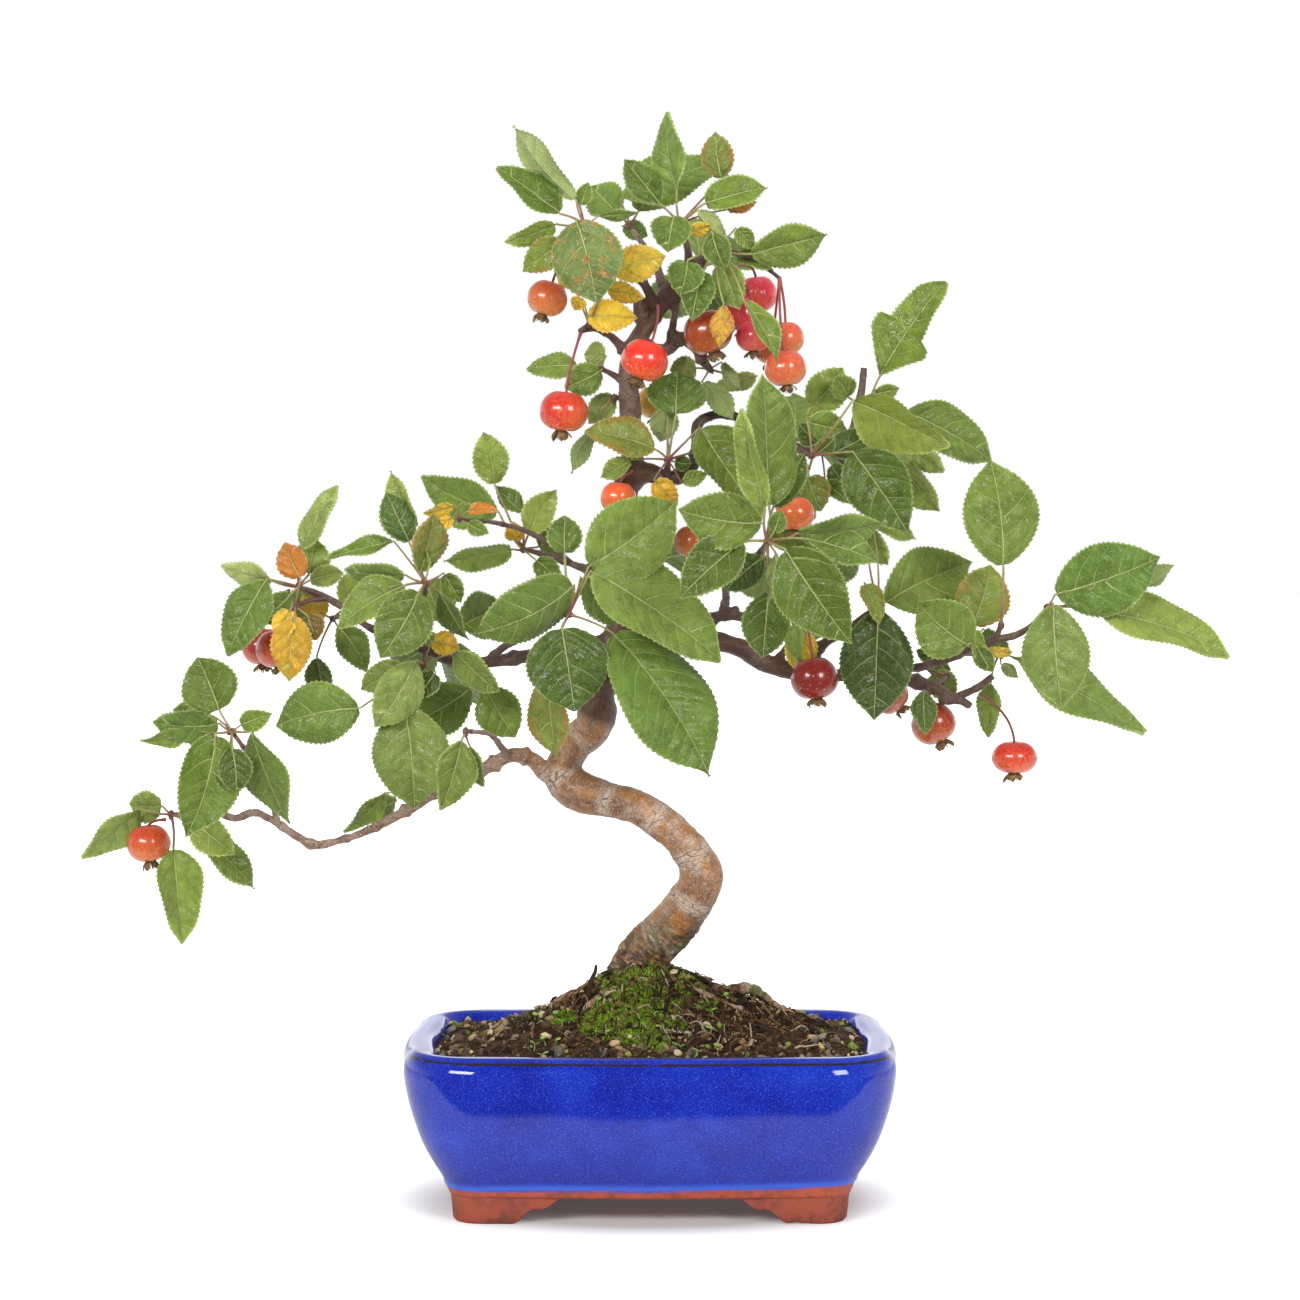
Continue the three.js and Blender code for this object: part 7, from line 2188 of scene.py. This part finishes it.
SPRAYS = [
    Spray("spray_far_left", (-242, 196, -10), [
        (-258, 199, -287.5, 174, 15, 0, 8, "l"), (-246, 200, -263, 201, 16, 4, 12, "f"),
        (-241, 179, -237, 130, 20, -4, -10, "l"), (-231, 193, -209.5, 175.5, 18, -8, -15, "l"),
        (-229, 189, -200, 158, 14, 8, 14, "g"),
    ]),
    Spray("spray_left_high", (-211, 238, -35), [
        (-217, 248, -228, 275.5, 28, 3, 8, "d"), (-207, 241, -190.5, 247, 11, -3, -8, "g"),
        (-217, 242, -251, 243, 18, 6, 12, "d"), (-221, 246, -241, 249, 10, 14, 17, "g"),
        (-219, 237, -235, 184, 30, -6, -12, "g"), (-211, 230, -209, 206, 17, -7, -10, "k"),
        (-214, 227, -222, 206, 11, 9, 13, "d"), (-201, 238, -182, 191, 22, -6, 0, "g"),
        (-232, 240, -257.5, 233.5, 9, 12, 16, "l"),
    ]),
    Spray("spray_left_tip", (-177, 311, 0), [
        (-190, 314, -216, 322, 13, 4, 8, "f"), (-193, 315, -213, 276, 24, -4, -10, "g"),
        (-175, 329, -157, 362, 13, 4, 8, "f"), (-172, 317, -168, 335, 19, 8, 12, "l"),
        (-172, 314, -154, 318, 11, 4, 8, "f"), (-180, 308, -199, 292, 14, -6, -10, "d"),
        (-173, 309, -165, 294, 14, 6, 10, "y"),
    ]),
    Spray("spray_left_yellow", (-179, 301, -9), [
        (-176, 315, -184, 333.5, 15, -2, -4, "o"), (-181, 300, -188, 282, 12, -4, -7, "y"),
        (-179, 297, -182, 263, 20, -6, -8, "y"), (-173, 297, -168, 284, 14, -2, -4, "b"),
    ]),
    Spray("spray_left_behind", (-160, 295, 22), [
        (-158, 292, -143, 268, 15, 2, 6, "g"), (-168, 276, -160.5, 250, 14, 4, 8, "d"),
        (-166, 298, -186, 304, 18, 6, 20, "g"), (-154, 300, -142, 318, 18, 10, 28, "f"),
    ]),
    Spray("spray_left_middle", (-113, 313, -29), [
        (-116, 309, -136, 275, 28, -6, -12, "d"), (-123, 312, -157, 290, 20, -2, -6, "g"),
        (-123, 317, -154, 320, 12.5, 4, 10, "g"), (-121, 333, -133, 359, 17, 6, 10, "k"),
        (-118, 340, -130.5, 369.5, 12, 12, 16, "f"), (-116, 318, -109, 349, 16, -4, -10, "r"),
        (-104, 318, -95, 303, 11, 8, 12, "g"), (-106, 309, -91, 284, 11, 4, 8, "k"),
        (-112, 318, -113, 333, 6, -4, -6, "l"), (-129, 334, -164, 325, 8, 12, 18, "g"),
    ]),
    Spray("spray_yellow_young", (-96, 345, -6), [
        (-98, 352, -114, 348, 7, -2, -4, "y"), (-99, 346, -109, 339, 7, -3, -5, "y"),
        (-92, 349, -76, 349, 6, -2, -4, "o"), (-92, 343, -81, 338, 8, -3, -6, "g"),
    ]),
    Spray("spray_upper_left", (-64, 330, 31), [
        (-76, 348.5, -115, 367, 24, -4, 4, "g"), (-78, 362, -84, 389, 18, 6, 12, "l"),
        (-61, 338, -47, 360, 16, -6, -10, "f"), (-68, 334, -69, 344, 10, -9, -12, "y"),
        (-69, 330, -104, 324, 13, -6, -6, "l"), (-57, 331, -36, 341, 15, 6, 12, "g"),
        (-58, 325, -45, 313, 12, -10, -12, "g"), (-64, 348, -78, 362, 10, 8, 10, "d"),
    ]),
    Spray("spray_middle_front", (-41, 297, -52), [
        (-38, 312, -90, 287, 28, -6, -14, "q"), (-31, 321, 13, 354, 39, 4, 10, "g"),
        (-30, 319, 35.5, 273, 35, -2, -8, "g"), (-44.5, 291, -38, 248, 40, -8, -12, "k"),
        (-19, 288, 30, 215, 42, -6, -14, "g"), (-52, 266, -47, 224, 20, 8, 12, "r"),
        (-35, 316, -18, 290, 15, 8, 12, "g"), (-43, 327, -43, 347, 17, 12, 16, "d"),
    ]),
    Spray("spray_left_low", (-114, 272, -15), [
        (-110, 284, -96, 280, 12, -4, -6, "y"), (-99, 279, -76, 258, 16, -3, -6, "g"),
        (-118, 274, -139, 240, 23, -8, -14, "l"), (-124, 272, -146, 259, 14, -2, 2, "g"),
        (-124, 252, -119, 199, 38, -5, -9, "g"), (-146, 250, -189, 241, 31, 0, 4, "g"),
        (-108, 268, -117, 255, 12, -4, -6, "k"),
    ]),
    Spray("spray_left_low_behind", (-86, 263, 6), [
        (-90, 260, -127, 240, 26, 6, 14, "d"), (-83, 260, -68, 235, 23, 2, 0, "l"),
    ]),
    Spray("leaf_lowest_left", (-128, 208, 12), [
        (-134, 207, -155, 187, 10, 2, 6, "l"), (-128, 203, -140, 196, 12, 10, 26, "g"),
    ]),
    Spray("spray_low_front", (-93, 238, -51), [
        (-95, 234, -106, 198, 19, -2, -8, "g"), (-91, 231, -84, 210, 10, 4, 8, "d"),
    ]),
    Spray("spray_top_left", (-33, 493, -46), [
        (-37, 505, -68.5, 542, 13, 2, 8, "p"), (-45, 498, -77, 521, 17, 0, 4, "d"),
        (-47, 493, -73, 484, 10, 6, 10, "l"), (-42, 484, -64, 469, 16, 2, 6, "r"),
        (-37, 495, -27, 453.5, 34, -6, -14, "s"), (-38, 507, -52, 518, 7, 8, 12, "d"),
        (-35, 502, -31, 514, 8, 6, 8, "g"), (-26, 497, -5, 499, 5, 4, 6, "g"),
    ]),
    Spray("spray_top_behind", (-10, 492, 35), [
        (-15, 505, 39, 524, 26, 0, 8, "g"), (-14, 492, -1, 487, 10, 6, 8, "g"),
        (-16, 498, -30, 512, 20, 8, 26, "g"), (-6, 499, 4, 514, 20, 10, 34, "g"),
    ]),
    Spray("spray_crown_yellow", (-30.5, 443, -18), [
        (-32, 447, -6, 446, 16, -4, -6, "y"), (-22, 461, -3, 456, 10, 2, 0, "y"),
        (-20, 469, 8, 477, 18, -18, -15, "y"), (-40, 476, -43, 460, 8, 2, 0, "y"),
        (-34, 456, -38, 450, 8, -2, -4, "y"),
    ]),
    Spray("spray_top", (15, 493, -5), [
        (13.5, 510, 9, 549, 15, 0, 4, "g"), (5, 503, -13, 525, 17, 4, 8, "d"),
        (12, 497, 9, 479, 20, -8, -14, "g"), (24, 500, 39, 486, 10, -4, -8, "p"),
        (27, 503, 59, 511, 17, -2, 2, "g"), (36, 515, 33, 539, 16, 8, 12, "r"),
        (38, 500, 54, 504, 9, 5, 8, "o"), (18, 489, 32, 493, 7, -4, -8, "y"),
    ]),
    Spray("spray_crown_right", (33, 480, -10), [
        (31, 489, 38, 470, 14, -10, -13, "d"), (35, 475, 45, 450, 16, 3, -1, "g"),
        (19, 475, 15, 457, 18, -8, -12, "d"), (27, 470, 21, 444, 17, -6, -12, "d"),
        (43, 477, 62, 470, 10, 8, 10, "g"), (50, 478, 89, 488, 20, 0, 2, "g"),
        (47, 455, 64, 422, 11, -18, -22, "g"), (37, 453, 35, 431, 11, -16, -18, "o"),
        (43, 491, 52, 480, 9, 4, 6, "g"),
    ]),
    Spray("spray_fruit_side", (30, 420.5, 11), [
        (26, 414, 42, 395, 12, -4, -8, "p"), (36, 424, 46, 410, 7, -3, -6, "p"),
        (54, 417, 32, 412, 9, 6, 8, "f"), (24, 421, 10, 420, 13, 6, 10, "f"),
    ]),
    Spray("spray_trunk_left", (-24.5, 420.5, -4.8), [
        (-24, 420, -43, 411, 16, -2, -4, "g"), (-36, 422, -62, 420, 13, 4, 8, "l"),
        (-22, 427, -33, 428, 13, 6, 10, "f"),
    ]),
    Spray("spray_trunk_low_left", (-18, 406, -3.4), [
        (-18, 408, -31, 393, 13, 4, 8, "f"), (-27, 391, -39.5, 368, 9, 4, 6, "p"),
    ]),
    Spray("spray_middle", (9, 375, -15), [
        (13, 397, 14, 419, 30, 2, 12, "d"), (3, 380, -33, 389, 19, -4, -8, "r"),
        (25, 391, 56, 344, 28, 0, -12, "g"), (22, 379, 48, 377, 21, 8, 12, "g"),
        (2, 365, 14, 352, 12, -5, -8, "y"), (-9, 375, -25, 366, 10, 0, 4, "l"),
        (9, 402, 5, 384, 14, 10, 16, "p"), (12, 374, 21, 373, 8, 4, 6, "d"),
        (16, 363, 29, 368, 8, 2, 4, "f"),
    ]),
    Spray("spray_right_front", (59, 334, -92), [
        (57, 343, 14, 350, 27, -2, -6, "g"), (47, 334, 15, 305, 24, -4, -10, "k"),
        (58, 350, 46, 401, 13, -13, -17, "g"), (60, 351, 56, 418, 27, 1, 4, "g"),
        (62, 351, 78, 379, 16, 9, 13, "k"), (74, 338, 119, 344.5, 17, 7, 10, "g"),
        (79, 335, 117, 322, 15, -1, -6, "d"), (68, 330, 102, 282, 33, -9, -16, "d"),
        (57, 326, 38, 309, 17, 6, 10, "k"), (60, 309, 57, 275, 23, 6, 10, "d"),
        (64, 327, 67, 309, 10, 2, 4, "d"), (62, 338, 66, 350, 9, -4, -6, "d"),
        (63, 328, 59, 302, 7, -2, -2, "p"),
    ]),
    Spray("spray_right_high", (81.5, 377, -36), [
        (102, 379, 130, 338, 32, -2, -8, "k"), (102, 405, 151, 382, 24, 0, -4, "l"),
        (90, 377, 116, 390, 14, 6, 10, "k"), (79, 394, 99, 390, 15, 8, 12, "g"),
        (84, 383, 75, 393, 12, 10, 12, "k"), (84, 378, 93, 386, 9, 0, -2, "k"),
    ]),
    Spray("spray_right_top", (110, 402, 10), [
        (115, 416, 149, 464, 30, 0, -2, "t"), (115, 392, 148, 369, 17, -8, -10, "f"),
        (128, 399, 171.5, 374, 26, 4, 10, "g"), (120, 381, 146, 349, 17, 0, 4, "l"),
        (100, 406, 93, 417, 13, 7, 1, "l"), (112, 408, 125.5, 411, 8, 2, 4, "l"),
    ]),
    Spray("spray_right_behind", (84.5, 385, 16), [
        (81, 401, 97, 421, 20, 4, 8, "f"), (91, 373, 101, 358, 12, -2, 0, "d"),
        (88, 364, 101, 353, 9, -6, -6, "d"), (79, 367, 86, 349, 18, -8, -10, "r"),
        (79, 396, 86, 400, 8, -2, 0, "l"),
    ]),
    Spray("spray_right_middle", (115, 302, -19), [
        (118, 303, 162, 323, 33, 6, 30, "l"), (115, 300, 113, 243.5, 36, -6, -13, "k"),
        (108, 313, 115.5, 292, 11, -8, -12, "r"), (109, 341, 120, 322, 11, 4, 4, "g"),
        (112, 343, 134, 335, 9, 2, 2, "l"),
    ]),
    Spray("spray_right_low", (163, 285, -25), [
        (161, 281, 135, 303, 30, -10, -14, "g"), (162, 291, 171, 322, 27, 4, 12, "r"),
        (165, 281, 173, 268, 10, -6, -8, "k"), (170, 279, 183, 278, 6, -4, -2, "y"),
        (163, 290, 166, 272, 8, -5, -6, "l"), (168, 290, 182, 276, 9, 14, 14, "g"),
    ]),
    Spray("spray_right_low_behind", (176, 277, 3), [
        (182, 276, 250, 237, 23, 2, 6, "g"), (172, 263, 171, 235, 11, 5, 8, "l"),
        (177, 272, 186, 265, 6, 0, 1, "p"),
    ]),
    Spray("leaf_right_under", (140, 257, -1), [
        (138, 259, 139, 236, 13, -6, -11, "d"),
    ]),
    Spray("spray_right_under_behind", (150, 266, 24), [
        (142, 268, 153, 254, 15, 7, 9, "g"), (146, 274, 134, 279, 9, 6, 8, "k"),
        (139, 271, 152, 269, 9, 8, 10, "g"),
    ]),
    Spray("spray_far_right", (200.5, 301, -31), [
        (204, 307, 257, 326, 36, 0, 4, "d"), (203, 303, 208, 249, 33, -6, -12, "g"),
        (226, 298, 292, 275, 23, 6, 12, "l"), (248, 312, 264, 322, 9, 12, 16, "p"),
    ]),
    Spray("leaf_right_tall", (177, 291.5, -30), [
        (178, 321, 171, 375, 37, -8, -4, "g"),
    ]),
    Spray("spray_middle_under", (78, 297.5, 1.5), [
        (79, 289, 74, 268, 16, -3, -3, "y"), (74, 293, 76, 272, 9, -9, -9, "g"),
        (84, 298, 97, 288, 8, 5, 4, "d"), (68, 314, 72, 306, 5, 2, 3, "y"),
    ]),
]
BACK_FANS = [  # name, bud, leaves, seed
    ("spray_back_middle", (0, 322.6, 60.5), 4, 3),
    ("spray_back_left", (-100, 288, 50.5), 4, 7),
    ("spray_back_right_low", (74, 320, 60), 4, 23),
    ("spray_back_right_high", (73, 381, 55.5), 4, 29),
    ("spray_back_crown", (25, 470.6, 50.5), 4, 37),
]
YELLOW_SPRAYS = ["spray_left_yellow", "spray_yellow_young", "spray_crown_yellow", "spray_middle_under"]
BUNCHES = [
    Bunch("fruit_far_left", (-244.6, 193.4, -15), "#CC8A30", "#A82C1A", 0.78, [
        Globe(-253.5, 181.5, -18, 22, 0.92, -252, 168),
    ]),
    Bunch("fruits_left", (-182, 309, 6), "#E09850", "#A82820", 0.95, [
        Globe(-188, 280, 8, 22, 0.95, -186, 266),
        Globe(-195, 281, 30, 22, 0.95, -195, 268),
    ]),
    Bunch("fruit_top_left", (-39, 486, -44), "#C8963C", "#B03A26", 0.76, [
        Globe(-51.5, 456, -34, 20, 0.95, -55, 445),
    ]),
    Bunch("fruit_left_of_trunk", (-34.6, 439, -17), "#E8983A", "#BE2820", 0.93, [
        Globe(-43.3, 399.4, -20, 24.5, 0.9, -45, 386),
    ]),
    Bunch("fruit_middle", (4, 452, -6), "#F2A23E", "#D42A1E", 0.93, [
        Globe(-2.5, 425, -24, 23.5, 0.93, -7, 413),
    ]),
    Bunch("fruit_behind_trunk", (8, 424, 13), "#D8AC44", "#C87A2C", 0.3, [
        Globe(2, 404, 21, 18, 1, 3, 394),
    ]),
    Bunch("fruit_crown_brown", (22, 455, -2), "#C0742C", "#8C2610", 0.76, [
        Globe(29, 439, -6, 25, 0.95, 33, 427),
    ]),
    Bunch("fruits_crown_red", (43, 471, 4), "#E89A5A", "#CC3046", 0.9, [
        Globe(46, 448, 8, 19, 0.95, 47, 438),
        Globe(54, 458, 26, 20, 1, 55, 448),
        Globe(52, 437, -9, 18, 0.95, 52, 427),
    ]),
    Bunch("fruits_crown_right", (65, 466, 2), "#E8A24A", "#BE2430", 0.72, [
        Globe(68, 436, 6, 19, 0.95, 68, 425),
        Globe(61, 430, 24, 17, 0.95, 60, 421),
        Globe(68, 421, -14, 21, 0.93, 69.5, 409),
    ]),
    Bunch("fruit_behind_leaf", (-9, 369, -14), "#E8A040", "#D04A2A", 0.75, [
        Globe(-16, 356, -20, 18, 0.95, -17, 346),
    ]),
    Bunch("fruit_centre_right", (24, 352, -12), "#C48C38", "#A43C22", 0.7, [
        Globe(21, 334, -24, 18, 0.95, 21, 324),
    ]),
    Bunch("fruit_right_red", (80, 371, -41), "#D89A40", "#C04226", 0.74, [
        Globe(73, 348, -48, 19, 0.95, 73, 338),
    ]),
    Bunch("fruit_dark", (79, 292, -4), "#8C3820", "#701610", 0.93, [
        Globe(83, 265, -20, 24, 0.95, 84.5, 251),
    ]),
    Bunch("fruit_hidden_low", (118, 290, -14), "#A8663C", "#883230", 0.74, [
        Globe(121, 256, -14, 19, 0.95, 127, 249),
    ]),
    Bunch("fruit_right_low", (148, 262, 18), "#C08A40", "#942220", 0.8, [
        Globe(143, 242, 12, 23, 0.95, 148.5, 230.5),
    ]),
    Bunch("fruit_far_right", (167, 256.5, -3), "#E89A48", "#C02822", 0.92, [
        Globe(184, 225, 2, 23, 0.78, 184, 216),
    ]),
]


def main() -> None:
    """Builds the studio and every sub-assembly in order."""
    logging.basicConfig(level=logging.INFO, format="%(name)s %(message)s")
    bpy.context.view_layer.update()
    Studio().build()
    GlazedPot().build()
    dress_screens()
    SoilBed().build()
    Wood(TRUNK, BRANCHES, ROOTS).build()
    Foliage(SPRAYS, BACK_FANS, YELLOW_SPRAYS).build()
    Crop(BUNCHES).build()


if __name__ == "__main__":
    main()
